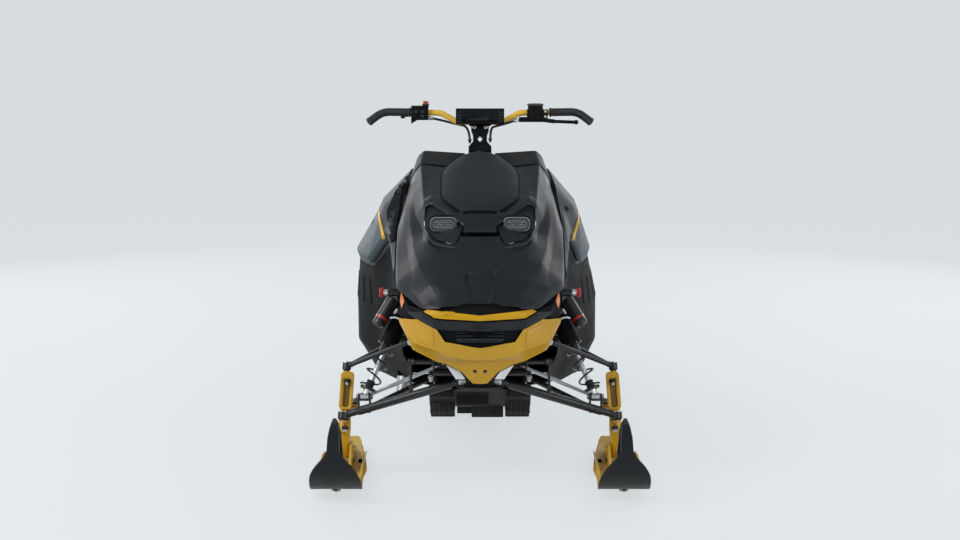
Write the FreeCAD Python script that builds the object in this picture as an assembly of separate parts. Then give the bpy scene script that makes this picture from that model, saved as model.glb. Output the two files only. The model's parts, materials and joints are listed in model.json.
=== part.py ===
"""Crossover snowmobile, full size, in millimetres.

Frame: the machine faces -Y, +Z is up, and the rider's left is +X. The origin lies on the ground under the
middle of the machine, half way between the ski tips and the end of the snow flap.
Body panels are thin walls lofted through a few sections. Each section table names its columns.
"""

import FreeCAD
import Part

import math
import os

from FreeCAD import Vector

# Overall
TIP_Y = -1600.0          # front of the ski tips
FLAP_END_Y = 1600.0      # rear edge of the snow flap
PANEL_WALL = 4.0         # moulded body panels
SHEET_WALL = 3.0         # tunnel and boards

# Front suspension, given for the rider's left side
SKI_X = 510.0            # middle of a ski, half of the ski stance
LOWER_BALL = Vector(500, -1075, 223)
UPPER_BALL = Vector(488, -1010, 394)
LOWER_PIVOT_FRONT = Vector(64, -1186, 372)
LOWER_PIVOT_REAR = Vector(182, -840, 322)
UPPER_PIVOT_FRONT = Vector(250, -1112, 505)
UPPER_PIVOT_REAR = Vector(250, -925, 505)
LOWER_ARM_R = 12.5
UPPER_ARM_R = 8.5
SHOCK_LOW = Vector(422, -1062, 290)
SHOCK_EYE = 16.0             # half length of a shock's eye
EAR_WALL = 7.0               # ears beside the lower eye
SHOCK_TOP = Vector(262, -935, 640)
TIE_OUTER = Vector(462, -965, 256)
TIE_INNER = Vector(112, -965, 405)
TIE_R = 7.5
TIE_PIN_R = 5.0
TIE_HEAD_R = 15.0
TIE_HEAD = 9.0               # half height of the rod's ball head
BALL_CUP_R = 19.0
BALL_CUP_H = 24.0
BALL_STUD_R = 7.0
BOLT_R = 8.0                 # ski bolt
RUN = 0.1                    # radial clearance of a shaft in its bore
SKI_LOCK = 32.5              # degrees that a ski turns each way
SWING = 6.0                  # room between the spindle and the lower arm at full lock
SWAY_R = 8.0
SWAY_POINT = (-1188.0, 442.0)    # Y, Z of the torsion bar

# Skis
SKI_LENGTH = 1000.0
SKI_BASE_Z = 26.0        # underside of the plank above the ground
SKI_THICK = 9.0
SKI_BEND_Y = -1395.0     # where the plank starts to rise
SKI_BEND_R = 225.0
SKI_HALF_IN = 98.0       # half width towards the machine
SKI_HALF_OUT = 84.0
SKI_BOLT = Vector(502, -1050, 92)
KEEL_W = 30.0
CARBIDE_R = 5.0
KEEL_LOW_Z = 2 * CARBIDE_R + 0.3
LOOP_W = 38.0

# Track: one loop round the driver, the rail bend and the rear wheels
TRACK_W = 406.0
BELT = 6.0
LUG_H = 44.0
LUG_ROWS = 52
DRIVER = (-330.0, 375.0)     # Y, Z of the drive axle
DRIVER_R = 92.0
REAR_WHEEL_Y = 1178.0
REAR_WHEEL_R = 101.0
UPPER_WHEEL = (560.0, 378.0)  # Y, Z of the rear arm's shaft, which carries the upper wheels
UPPER_WHEEL_R = 58.0
BEND_Y = 60.0                # rails turn up ahead of this
BEND_R = 330.0
BELT_INNER_Z = LUG_H + BELT
REAR_WHEEL = (REAR_WHEEL_Y, BELT_INNER_Z + REAR_WHEEL_R)

# Chassis
TUNNEL_HALF = 222.0
TUNNEL_TOP = 602.0
TUNNEL_LOW = 356.0
TUNNEL_FRONT_Y = -420.0
TUNNEL_REAR_Y = 1340.0
BOARD_Z = 400.0              # top of the running boards
BOARD_OUT = 430.0
BOARD_FRONT_Y = -200.0
BOARD_REAR_Y = 1090.0
BOARD_BEND_Y = 560.0         # boards narrow behind this
BOARD_REAR_OUT = 352.0
BOARD_WALL = 4.0
BOARD_TUBE_R = 11.0
SLOT_L = 62.0                # snow slots in the boards
SLOT_W = 22.0
SLOT_ROWS = 3
SLOT_COUNT = 14
ANCHOR_DX = 240.0            # cargo anchors in the tunnel's top
ANCHOR_DY = 160.0
ANCHOR_Y = 1020.0
ANCHOR_R = 9.0
RAIL_X = 132.0
RAIL_W = 20.0
RAIL_H = 62.0
SEAT_BASE_Z = TUNNEL_TOP + 0.3

# Steering
STEER_POINT = Vector(0, -400, 1128)
STEER_TILT = 21.8            # degrees the post leans to the rear
POST_R = 16.0
BAR_R = 11.5
GRIP_R = 15.5
GAP = 0.3                    # seat clearance between pieces that touch
PRESS = 0.05                 # radial clearance of a clamped seat


def unit(v):
    return Vector(v) * (1.0 / v.Length)


def rod(p, q, r):
    """Round bar from p to q."""
    return Part.makeCylinder(r, (q - p).Length, p, unit(q - p))


def pipe(p, q, r, bore):
    """Round tube from p to q with a bore."""
    return rod(p, q, r).cut(rod(p - unit(q - p), q + unit(q - p), bore))


def kingpin():
    """Line through both ball joints, which the ski turns about."""
    return unit(UPPER_BALL - LOWER_BALL)


def box(x, y, z):
    """Block from three (low, high) pairs."""
    return Part.makeBox(x[1] - x[0], y[1] - y[0], z[1] - z[0], Vector(x[0], y[0], z[0]))


def polygon(points):
    return Part.makePolygon([Vector(*p) for p in points] + [Vector(*points[0])])


def prism(points, along):
    """Solid swept from a flat outline of 3-D points."""
    return Part.Face(polygon(points)).extrude(Vector(*along))


def prism_x(yz, x0, x1):
    return prism([(x0, y, z) for y, z in yz], (x1 - x0, 0, 0))


def prism_y(xz, y0, y1):
    return prism([(x, y0, z) for x, z in xz], (0, y1 - y0, 0))


def prism_z(xy, z0, z1):
    return prism([(x, y, z0) for x, y in xy], (0, 0, z1 - z0))


def fuse(shapes):
    """One solid from overlapping pieces."""
    return shapes[0].multiFuse(shapes[1:]).removeSplitter() if len(shapes) > 1 else shapes[0]


def mirrored(shape):
    return shape.mirror(Vector(0, 0, 0), Vector(1, 0, 0))


def flip(v):
    return Vector(-v.x, v.y, v.z)


def inset(line, wall):
    """A polyline moved by wall to the right of its travel, with mitred corners."""
    normals = []
    for (a, b), (c, d) in zip(line, line[1:]):
        n = math.hypot(c - a, d - b)
        normals.append(((d - b) / n, -(c - a) / n))
    out = []
    for i, (a, b) in enumerate(line):
        n0 = normals[max(i - 1, 0)]
        n1 = normals[min(i, len(normals) - 1)]
        k = wall / (1 + n0[0] * n1[0] + n0[1] * n1[1])
        out.append((a + (n0[0] + n1[0]) * k, b + (n0[1] + n1[1]) * k))
    return out


def at(axis, place, p):
    """A section point in the plane across an axis."""
    return (p[0], place, p[1]) if axis == "y" else (place, p[0], p[1])


def panel(stations, wall=PANEL_WALL, axis="y"):
    """Thin wall lofted through open section lines, thick to the right of their travel."""
    wires = []
    for place, line in stations:
        closed = list(line) + inset(line, wall)[::-1]
        wires.append(polygon([at(axis, place, p) for p in closed]))
    return Part.makeLoft(wires, True, True)


def block(stations, axis="y"):
    """Solid lofted through closed section outlines."""
    return Part.makeLoft([polygon([at(axis, s, p) for p in line]) for s, line in stations], True, True)


def both_sides(half):
    """A whole section line from its half: from -X over the middle to +X. half starts at the middle."""
    return [(-x, z) for x, z in half[:0:-1]] + list(half)


def swept(points, r, bends):
    """Round bar along points, with a bend radius for each inner point."""
    edges = []
    here = points[0]
    for i in range(1, len(points) - 1):
        p, before, after = points[i], unit(points[i - 1] - points[i]), unit(points[i + 1] - points[i])
        turn = math.pi - before.getAngle(after)
        cut = bends[i - 1] * math.tan(turn / 2)
        a, b = p + before * cut, p + after * cut
        middle = p + unit(before + after) * (bends[i - 1] / math.cos(turn / 2) - bends[i - 1])
        edges += [Part.LineSegment(here, a).toShape(), Part.Arc(a, middle, b).toShape()]
        here = b
    edges.append(Part.LineSegment(here, points[-1]).toShape())
    start = Part.Wire([Part.Circle(points[0], unit(points[1] - points[0]), r).toShape()])
    return Part.Wire(edges).makePipeShell([start], True, True)


# Hood. Columns: Y, then X, Z of middle, panel edge, shoulder, outer crease, wing crease, low edge.
HOOD = [
    (-1372, (0, 684), (40, 683), (80, 680), (105, 676), (120, 672), (130, 666)),
    (-1330, (0, 726), (64, 720), (130, 706), (172, 690), (192, 678), (205, 660)),
    (-1290, (0, 764), (68, 757), (150, 742), (212, 720), (236, 702), (250, 666)),
    (-1180, (0, 838), (76, 830), (168, 812), (238, 788), (278, 757), (298, 712)),
    (-1080, (0, 899), (86, 893), (184, 860), (240, 838), (290, 800), (306, 738)),
    (-1000, (0, 962), (96, 955), (190, 914), (238, 890), (290, 842), (308, 770)),
    (-900, (0, 1008), (143, 1004), (206, 986), (246, 952), (286, 905), (304, 840)),
    (-800, (0, 1048), (146, 1045), (214, 1036), (250, 1000), (278, 960), (292, 915)),
    (-640, (0, 1098), (142, 1096), (222, 1106), (242, 1086), (262, 1044), (270, 1010)),
    (-520, (0, 1126), (118, 1128), (212, 1138), (230, 1124), (246, 1084), (254, 1050)),
]


def hood_line(row):
    return both_sides(list(row[1:]))


def hood_volume():
    """The hood's outer form as a closed block, for cutting and for pieces that follow it."""
    floor = 500.0
    stations = []
    for row in HOOD:
        line = hood_line(row)
        stations.append((row[0], line + [(line[-1][0], floor), (line[0][0], floor)]))
    return block(stations)


# Headlight recess outline in front view, X, Z, for the rider's left lamp.
RECESS = [(198, 972), (176, 982), (56, 918), (88, 858), (164, 868), (204, 906)]
LAMP = (133.0, 922.0)
LAMP_SIZE = (92.0, 42.0)


def shifted(shape, y):
    moved = shape.copy()
    moved.translate(Vector(0, y, 0))
    return moved


def hood():
    shell = panel([(row[0], hood_line(row)) for row in HOOD])
    for side in (1, -1):
        shell = shell.cut(prism_y([(side * x, z) for x, z in RECESS], -1150, -860))
    return shell


def grown(outline, by):
    """Outline moved in or out from its middle by a distance, near enough for small margins."""
    cx = sum(p[0] for p in outline) / len(outline)
    cz = sum(p[1] for p in outline) / len(outline)
    out = []
    for x, z in outline:
        r = math.hypot(x - cx, z - cz)
        out.append((cx + (x - cx) * (r + by) / r, cz + (z - cz) * (r + by) / r))
    return out


def headlight_bezel(volume):
    """Black pocket that lines the recess, sunk below the hood."""
    outline = grown(RECESS, -1.5)
    plug = prism_y(outline, -1150, -860).common(shifted(volume, 14)).cut(shifted(volume, 52))
    well = slot(LAMP, (LAMP_SIZE[0] + 2 * GAP, LAMP_SIZE[1] + 2 * GAP), -1150, -985)
    return plug.cut(well)


def slot(centre, size, y0, y1):
    """Bar with round ends, wide along X, from y0 to y1."""
    r = size[1] / 2
    dx = size[0] / 2 - r
    ends = [rod(Vector(centre[0] + s * dx, y0, centre[1]), Vector(centre[0] + s * dx, y1, centre[1]), r)
            for s in (1, -1)]
    middle = box((centre[0] - dx, centre[0] + dx), (y0, y1), (centre[1] - r, centre[1] + r))
    return fuse([middle] + ends)


def headlight_lens():
    front = slot(LAMP, LAMP_SIZE, -1046, -985)
    groove = slot(LAMP, (LAMP_SIZE[0] - 18, LAMP_SIZE[1] - 18), -1050, -1038)
    bar = slot(LAMP, (LAMP_SIZE[0] - 26, LAMP_SIZE[1] - 26), -1044, -1036)
    return fuse([front.cut(groove), bar])


# Crowned cover in the middle of the hood. Columns: Y, half width, edge Z, crown Z.
COVER = [
    (-1004, 62, 968, 978),
    (-900, 141, 1009, 1030),
    (-760, 143, 1063, 1090),
    (-640, 122, 1099, 1128),
    (-560, 52, 1122, 1144),
]


def hood_cover():
    stations = []
    for y, half, edge, crown in COVER:
        rise = crown - edge
        profile = [(0, crown), (half * 0.55, edge + 0.8 * rise), (half * 0.9, edge + 0.35 * rise)]
        profile.append((half, edge))
        stations.append((y, both_sides(profile) + [(half - 1, edge - 1), (1 - half, edge - 1)]))
    return block(stations)


# Nose mask between hood and bumper. Columns: X, then Y, Z of top, strip top, strip low, fold, low edge.
MASK = [
    (0, (-1364, 677), (-1380, 642), (-1382, 620), (-1352, 592), (-1342, 500)),
    (122, (-1352, 668), (-1366, 640), (-1366, 622), (-1346, 586), (-1336, 510)),
    (158, (-1344, 662), (-1356, 640), (-1354, 622), (-1342, 592), (-1330, 548)),
    (203, (-1320, 652), (-1330, 644), (-1326, 628), (-1311, 614), (-1300, 590)),
    (254, (-1262, 660), (-1276, 650), (-1272, 636), (-1262, 626), (-1252, 606)),
    (288, (-1186, 702), (-1200, 684), (-1206, 660), (-1206, 640), (-1200, 610)),
]
GRILLE_HALF = 86.0
GRILLE_SLOT = 5.5
GRILLE_PITCH = 10.5
GRILLE_LOW_Z = 544.0
GRILLE_SLOTS = 4


def mask_stations():
    rows = [(-row[0], list(row[1:])) for row in MASK[:0:-1]] + [(row[0], list(row[1:])) for row in MASK]
    return rows


def mask_volume():
    back = -1100.0
    return block([(x, line + [(back, line[-1][1]), (back, line[0][1])]) for x, line in mask_stations()], "x")


def nose_mask():
    face = panel([(x, line[::-1]) for x, line in mask_stations()], PANEL_WALL, "x")
    for i in range(GRILLE_SLOTS):
        z = GRILLE_LOW_Z + i * GRILLE_PITCH
        face = face.cut(box((-GRILLE_HALF, GRILLE_HALF), (-1400, -1300), (z, z + GRILLE_SLOT)))
    return face


# Outlines that lie on the mask, in front view: X, Z on the rider's left.
STRIP_HALF = [(0, 641), (183, 657), (200, 648), (160, 628), (0, 622)]
REFLECTOR = [(282, 700), (270, 672), (280, 642), (286, 664)]
PROUD = 7.0


def on_mask(outline, volume, proud=PROUD):
    """Plate that follows the mask and stands proud of it inside a front-view outline."""
    return prism_y(outline, -1420, -1150).common(shifted(volume, -proud)).cut(shifted(volume, -GAP))


def nose_strip(volume):
    half = STRIP_HALF
    outline = half + [(-x, z) for x, z in half[3:0:-1]]
    return on_mask(outline, volume)


# Lower bumper. Columns: X, then Y, Z of top edge, fold, lower fold, bottom edge.
BUMPER = [
    (0, (-1362, 520), (-1350, 476), (-1326, 462), (-1304, 382)),
    (26, (-1361, 523), (-1349, 477), (-1325, 463), (-1304, 384)),
    (66, (-1358, 531), (-1347, 480), (-1323, 466), (-1309, 428)),
    (124, (-1352, 541), (-1344, 490), (-1318, 470), (-1311, 456)),
    (156, (-1352, 590), (-1346, 512), (-1314, 480), (-1308, 464)),
    (224, (-1306, 616), (-1314, 528), (-1284, 504), (-1280, 494)),
    (240, (-1292, 613), (-1304, 532), (-1276, 510), (-1273, 502)),
    (289, (-1232, 608), (-1240, 604), (-1238, 600), (-1236, 596)),
]


def bumper():
    rows = [(-r[0], list(r[1:])[::-1]) for r in BUMPER[:0:-1]] + [(r[0], list(r[1:])[::-1]) for r in BUMPER]
    shell = panel(rows, PANEL_WALL, "x")
    for x in (-18, 18):
        shell = shell.cut(Part.makeCylinder(5.5, 80, Vector(x, -1340, 431), Vector(0, 1, 0)))
    return shell


# Upper side panels. Columns: Y, then X, Z of top edge, knuckle, ridge, outer crease, low edge.
SIDE_RIGHT = [
    (-1040, (311, 758), (314, 744), (314, 734), (312, 722), (306, 708)),
    (-900, (309, 850), (322, 842), (328, 836), (330, 818), (322, 800)),
    (-760, (298, 940), (318, 926), (336, 890), (350, 858), (342, 826)),
    (-650, (280, 1034), (362, 950), (382, 896), (428, 748), (412, 724)),
    (-450, (262, 1064), (372, 950), (396, 890), (474, 756), (458, 716)),
    (-300, (246, 1046), (366, 946), (398, 884), (470, 758), (454, 716)),
    (-150, (232, 1000), (330, 925), (376, 850), (430, 776), (416, 730)),
]
SIDE_LEFT = [
    (-1040, (311, 758), (314, 744), (314, 734), (312, 722), (306, 708)),
    (-900, (309, 850), (320, 842), (325, 836), (327, 818), (320, 800)),
    (-760, (298, 940), (314, 926), (330, 890), (340, 858), (334, 826)),
    (-650, (280, 1034), (356, 944), (372, 890), (384, 752), (374, 730)),
    (-450, (262, 1064), (362, 946), (382, 886), (422, 764), (410, 724)),
    (-300, (246, 1046), (356, 942), (384, 880), (422, 764), (410, 724)),
    (-150, (232, 1000), (322, 920), (364, 850), (402, 780), (392, 738)),
]
# Lower side panels that wrap the toe boxes. Columns: Y, then X, Z of top, side, low corner, bottom.
TOE_RIGHT = [
    (-895, (309, 716), (300, 560), (286, 420), (250, 350)),
    (-780, (334, 806), (328, 560), (312, 380), (262, 302)),
    (-640, (404, 716), (392, 560), (364, 360), (310, 276)),
    (-450, (462, 708), (468, 560), (462, 400), (396, 284)),
    (-340, (466, 712), (476, 560), (474, 384), (440, 372)),
    (-206, (454, 726), (462, 600), (456, 430), (448, 402)),
]
TOE_LEFT = [
    (-895, (309, 716), (300, 560), (286, 420), (250, 350)),
    (-780, (328, 806), (320, 560), (304, 380), (262, 302)),
    (-640, (366, 720), (380, 560), (358, 360), (310, 276)),
    (-450, (416, 714), (438, 560), (436, 400), (388, 284)),
    (-340, (418, 718), (450, 560), (450, 384), (432, 372)),
    (-206, (408, 732), (444, 600), (446, 430), (440, 402)),
]


def side_panel(table):
    """Panel for the rider's left; the right one is its own table mirrored."""
    return panel([(row[0], list(row[1:])) for row in table])


def toe_panel(table, side_table):
    """Lower panel with a clip that reaches up behind the side panel's low edge."""
    wall = panel([(row[0], list(row[1:])) for row in table])
    row = side_table[4]
    x, z = row[5]
    clip = box((x - 12, x + 7), (row[0] + 40, row[0] + 70), (z - 26, z + 16))
    side = side_panel(side_table)
    for away in (Vector(GAP, 0, 0), Vector(-GAP, 0, 0)):
        moved = side.copy()
        moved.translate(away)
        clip = clip.cut(moved)
    return fuse([wall, seated(clip, side, -1)])


VENT_PITCH = 30.0
VENT_COUNT = 5


def vented(shape):
    """Slanted louvre slots behind the hood's edge."""
    for i in range(VENT_COUNT):
        z = 858 + i * VENT_PITCH
        cutter = prism_x([(-735, z - 16), (-700, z), (-700, z + 13), (-735, z - 3)], 288, 420)
        shape = shape.cut(cutter)
    return shape


# Belly pan. Columns: Y, then X, Z of middle, keel edge, knee, rim.
BELLY = [
    (-1262, (0, 360), (34, 360), (60, 362), (70, 366)),
    (-1190, (0, 334), (50, 334), (82, 335), (92, 338)),
    (-1060, (0, 320), (80, 320), (130, 322), (150, 328)),
    (-900, (0, 298), (120, 298), (150, 300), (170, 303)),
    (-760, (0, 282), (150, 282), (236, 283), (246, 288)),
    (-640, (0, 270), (200, 270), (270, 270), (290, 276)),
    (-500, (0, 268), (214, 268), (292, 270), (360, 278)),
    (-480, (0, 268), (214, 268), (292, 271), (366, 283)),
]
EXHAUST = (Vector(-286, -700, 300), Vector(-292, -716, 236))
EXHAUST_R = 27.0


def exhaust_cut(shape):
    low, high = EXHAUST[1], EXHAUST[0]
    along = unit(high - low) * 60
    return shape.cut(rod(low - along, high + along, EXHAUST_R + GAP))


def belly_pan():
    return exhaust_cut(panel([(row[0], both_sides(list(row[1:]))[::-1]) for row in BELLY]))


def seated(foot, base, up=1):
    """The part of a foot that stands clear of the piece it rests on, on its upper or lower side."""
    moved = base.copy()
    moved.translate(Vector(0, 0, up * GAP))
    solids = foot.cut(moved).Solids
    return sorted(solids, key=lambda k: k.CenterOfMass.z)[-1 if up > 0 else 0]


# Frame tubes above the bulkhead, on the rider's left: start, end.
FRAME_TUBES = [
    (Vector(120, -940, 624), Vector(34, -470, 1010)),
    (Vector(34, -458, 1010), Vector(140, -230, 604)),
    (Vector(86, -755, 776), Vector(86, -755, 1200)),
    (Vector(60, -1100, 525), Vector(60, -1100, 1000)),
    (Vector(167, -1120, 520), Vector(160, -1420, 520)),
    (Vector(150, -1100, 525), Vector(150, -1420, 640)),
]
TUBE_R = 11.0
BULKHEAD_X = 170.0
BULKHEAD_WALL = 6.0
CROSS_TUBES = ((-850, 540), (-1100, 525), (-940, 624))       # Y, Z
CROSS_R = 13.0


def stopped(bar, wall):
    """A bar that ends just behind a thin wall it runs into: its longest piece."""
    rest = bar.cut(wall).cut(shifted(wall, GAP))
    return max(rest.Solids, key=lambda k: k.Volume)


def front_frame(belly, hood_form, bumper_shell, mask_shell):
    """Bulkhead plates with a window, cross tubes, shock towers, and tubes to the bearing, hood and bumper."""
    plate = prism_x([(-1215, 392), (-1160, 362), (-1100, 345), (-900, 322), (-830, 322), (-830, 560),
                     (-905, 640), (-970, 640), (-1010, 560), (-1130, 540), (-1215, 470)],
                    BULKHEAD_X - BULKHEAD_WALL, BULKHEAD_X)
    window = prism_x([(-1130, 400), (-1020, 352), (-880, 345), (-880, 470), (-960, 480), (-1100, 470)],
                     BULKHEAD_X - 10, BULKHEAD_X + 10)
    plate = plate.cut(window)
    tower = rod(Vector(150, SHOCK_TOP.y, SHOCK_TOP.z + 4),
                Vector(SHOCK_TOP.x - SHOCK_EYE, SHOCK_TOP.y, SHOCK_TOP.z + 4), 15)
    foot = seated(box((158, 172), (-880, -860), (296, 330)), belly)
    up = [rod(a, b, TUBE_R) for a, b in FRAME_TUBES]
    lid = hood_form.copy()
    lid.translate(Vector(0, 0, -(PANEL_WALL + 2 * GAP)))
    up[2] = up[2].common(lid)
    up[3] = up[3].common(lid)
    up[4] = stopped(up[4], bumper_shell)
    up[5] = stopped(up[5], mask_shell)
    up[1] = fuse([up[1], box((124, 156), (-250, -206), (TUNNEL_TOP + GAP, TUNNEL_TOP + 8))])
    up[1] = up[1].cut(box((60, 220), (-300, -150), (500, TUNNEL_TOP + GAP)))
    left = [plate, tower, foot] + up
    whole = left + [mirrored(s) for s in left]
    whole += [rod(Vector(-BULKHEAD_X, y, z), Vector(BULKHEAD_X, y, z), CROSS_R) for y, z in CROSS_TUBES]
    for y in (LOWER_PIVOT_FRONT.y - 24 - GAP - 6, LOWER_PIVOT_FRONT.y + 24 + GAP):
        whole.append(box((-86, 86), (y, y + 6), (355, 410)))
        whole.append(rod(Vector(-BULKHEAD_X, y + 3, 404), Vector(BULKHEAD_X, y + 3, 404), 8))
    a = steer_axis()
    p = STEER_POINT - a * 150
    whole.append(rod(p, p + a * 60, 44))
    shape = fuse(whole)
    sway = rod(Vector(-200, *SWAY_POINT), Vector(200, *SWAY_POINT), SWAY_R + GAP)
    return shape.cut(sway).cut(rod(p - a * 20, p + a * 90, POST_R + RUN))


def ball_bore(ball):
    """Bore for a ball joint's stud, open below."""
    axis = kingpin()
    return rod(ball - axis * BALL_CUP_H, ball + axis * (BALL_CUP_H / 2 - 5), BALL_STUD_R + RUN)


def lower_arm():
    """Lower wishbone: front leg to the nose, rear leg to the bulkhead, and a bracket for the shock."""
    axis = kingpin()
    cup = rod(LOWER_BALL - axis * (BALL_CUP_H / 2), LOWER_BALL + axis * (BALL_CUP_H / 2), BALL_CUP_R)
    front = rod(LOWER_PIVOT_FRONT, LOWER_BALL, LOWER_ARM_R)
    along = unit(LOWER_PIVOT_FRONT - LOWER_BALL)
    elbow = LOWER_BALL + along * 100
    rear = rod(elbow, LOWER_PIVOT_REAR, LOWER_ARM_R - 2)
    pivots = [rod(LOWER_PIVOT_FRONT + Vector(0, -24, 0), LOWER_PIVOT_FRONT + Vector(0, 24, 0), 17),
              rod(LOWER_PIVOT_REAR + Vector(0, -20, 0), LOWER_PIVOT_REAR + Vector(0, 20, 0), 12 - GAP)]
    x, y, z = SHOCK_LOW.x, SHOCK_LOW.y, SHOCK_LOW.z
    inner, outer = x - SHOCK_EYE - 1, x + SHOCK_EYE + 1
    gusset = prism_z([(outer, y - 23), (x - 34, y - 36), (x - 70, y + 38), (x - 40, y + 46),
                      (outer - 12, y + 10)], z - 46, z - 36)
    ear = [(y - 32, z - 46), (y + 12, z - 46), (y + 11, z + 12), (y - 14, z + 12)]
    ears = [prism_x(ear, x0, x0 + EAR_WALL) for x0 in (inner - EAR_WALL, outer)]
    step = prism_z([(inner - EAR_WALL, y - 32), (outer + EAR_WALL, y - 24), (outer + EAR_WALL, y + 12),
                    (inner - EAR_WALL, y + 20)], z - 54, z - 40)
    link_ear = box((242, 258), (SWAY_POINT[0] + 38, SWAY_POINT[0] + 54), (306, 333))
    shape = fuse([cup, front, rear, gusset, step, link_ear] + ears + pivots)
    return shape.cut(ball_bore(LOWER_BALL))


def upper_arm():
    axis = kingpin()
    cup = rod(UPPER_BALL - axis * (BALL_CUP_H / 2), UPPER_BALL + axis * (BALL_CUP_H / 2), BALL_CUP_R - 3)
    legs = [rod(p, UPPER_BALL, UPPER_ARM_R) for p in (UPPER_PIVOT_FRONT, UPPER_PIVOT_REAR)]
    ends = (UPPER_PIVOT_FRONT, UPPER_PIVOT_REAR)
    pivots = [rod(p + Vector(0, -18, 0), p + Vector(0, 18, 0), 14) for p in ends]
    brackets = [rod(p, Vector(BULKHEAD_X + GAP, p.y, p.z), 9) for p in ends]
    shape = fuse([cup] + legs + pivots + brackets)
    return shape.cut(ball_bore(UPPER_BALL))


# Spindle casting on the rider's left. Columns: Z, middle X, middle Y, size X, size Y.
SPINDLE = [
    (366, 484, -1013, 38, 34),
    (330, 484, -1006, 36, 46),
    (250, 493, -1026, 36, 46),
    (200, 495, -1042, 42, 56),
    (172, 496, -1058, 46, 74),
    (120, 500, -1054, 45, 66),
    (66, 502, -1050, 44, 70),
]
SPINDLE_CHAMFER = 7.0


def spindle():
    """Cast post behind the lower ball joint: a deep front groove, a foot on the ski bolt, a steering arm."""
    wires = []
    c = SPINDLE_CHAMFER
    for z, cx, cy, sx, sy in SPINDLE:
        hx, hy = sx / 2, sy / 2
        corners = [(hx - c, -hy), (hx, c - hy), (hx, hy - c), (hx - c, hy)]
        corners += [(-x, y) for x, y in corners[::-1]]
        wires.append(polygon([(cx + x, cy + y, z) for x, y in corners]))
    post = Part.makeLoft(wires, True, True)
    axis = kingpin()
    reach = BALL_CUP_H / 2 + 5
    room = rod(LOWER_BALL - axis * reach, LOWER_BALL + axis * (reach + 3), BALL_CUP_R + 5)
    top_room = rod(UPPER_BALL - axis * reach, UPPER_BALL + axis * 40, BALL_CUP_R + 4)
    leg = FreeCAD.Rotation(axis, -SKI_LOCK).multVec(unit(LOWER_PIVOT_FRONT - LOWER_BALL))
    pocket = rod(LOWER_BALL, LOWER_BALL + leg * 120, LOWER_ARM_R + SWING)
    groove = prism_x([(-1080, 246), (-1036, 246), (-1012, 348), (-1080, 348)], 479, 497)
    low_stud = rod(LOWER_BALL - axis * 62, LOWER_BALL + axis * 4, BALL_STUD_R)
    top_stud = rod(UPPER_BALL - axis * 46, UPPER_BALL + axis * 4, BALL_STUD_R)
    low = TIE_HEAD + 5
    arm = rod(Vector(492, -1028, 236), TIE_OUTER - axis * (low + 9), 9)
    eye = rod(TIE_OUTER - axis * (low + 18), TIE_OUTER - axis * low, 12)
    pin = rod(TIE_OUTER - axis * (low + 2), TIE_OUTER + axis * 4, TIE_PIN_R)
    shape = fuse([post, arm]).cut(room).cut(top_room).cut(groove).cut(pocket)
    shape = fuse([shape, low_stud, top_stud, eye, pin])
    return shape.cut(rod(SKI_BOLT + Vector(-60, 0, 0), SKI_BOLT + Vector(60, 0, 0), BOLT_R + RUN))


def tie_rod():
    """Steering tube with a ball head over the spindle's pin, whose axis is parallel to the kingpin line."""
    along, axis = unit(TIE_INNER - TIE_OUTER), kingpin()
    tube = rod(TIE_OUTER + along * 14, TIE_INNER, TIE_R)
    head = rod(TIE_OUTER - axis * TIE_HEAD, TIE_OUTER + axis * TIE_HEAD, TIE_HEAD_R)
    sleeve = rod(TIE_OUTER + along * 10, TIE_OUTER + along * 60, TIE_R + 2)
    tip = rod(TIE_INNER - along * 30, TIE_INNER + along * 6, TIE_R + 3)
    shape = fuse([tube, head, sleeve, tip])
    return shape.cut(rod(TIE_OUTER - axis * 2 * TIE_HEAD, TIE_OUTER + axis * 5, TIE_PIN_R + RUN))


def ski_side_profile(thick):
    """Y, Z edges of the plank: straight base, an arc up to the tip, and a lifted tail."""
    base, bend, r = SKI_BASE_Z, SKI_BEND_Y, SKI_BEND_R
    tail_y = TIP_Y + SKI_LENGTH
    turn = math.asin((bend - TIP_Y - 2) / r)

    def arc_point(a, radius):
        return Vector(0, bend - radius * math.sin(a), base + r - radius * math.cos(a))

    low = [Vector(0, tail_y, base + 16), Vector(0, tail_y + -70, base), Vector(0, bend, base)]
    high = [Vector(0, bend, base + thick), Vector(0, tail_y - 70, base + thick),
            Vector(0, tail_y, base + 16 + thick)]
    edges = [
        Part.LineSegment(low[0], low[1]).toShape(),
        Part.LineSegment(low[1], low[2]).toShape(),
        Part.Arc(low[2], arc_point(turn / 2, r), arc_point(turn, r)).toShape(),
        Part.LineSegment(arc_point(turn, r), arc_point(turn, r - thick)).toShape(),
        Part.Arc(arc_point(turn, r - thick), arc_point(turn / 2, r - thick), high[0]).toShape(),
        Part.LineSegment(high[0], high[1]).toShape(),
        Part.LineSegment(high[1], high[2]).toShape(),
        Part.LineSegment(high[2], low[0]).toShape(),
    ]
    return Part.Face(Part.Wire(edges))


# Ski outline in plan. Columns: Y, half width towards the machine, half width away from it.
SKI_PLAN = [
    (-1600, 16, 16),
    (-1585, 34, 34),
    (-1545, 68, 66),
    (-1490, 90, 86),
    (-1420, 94, 88),
    (-1250, 90, 84),
    (-1120, SKI_HALF_IN, SKI_HALF_OUT),
    (-900, 84, 74),
    (-640, 58, 56),
    (-600, 46, 46),
]
NOSE_SPLIT_Y = -1420.0


def ski_plank():
    face = ski_side_profile(SKI_THICK)
    face.translate(Vector(SKI_X - 130, 0, 0))
    slab = face.extrude(Vector(260, 0, 0))
    outline = [(SKI_X - a, y) for y, a, b in SKI_PLAN] + [(SKI_X + b, y) for y, a, b in SKI_PLAN[::-1]]
    return slab.common(prism_z(outline, -10, 400))


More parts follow.
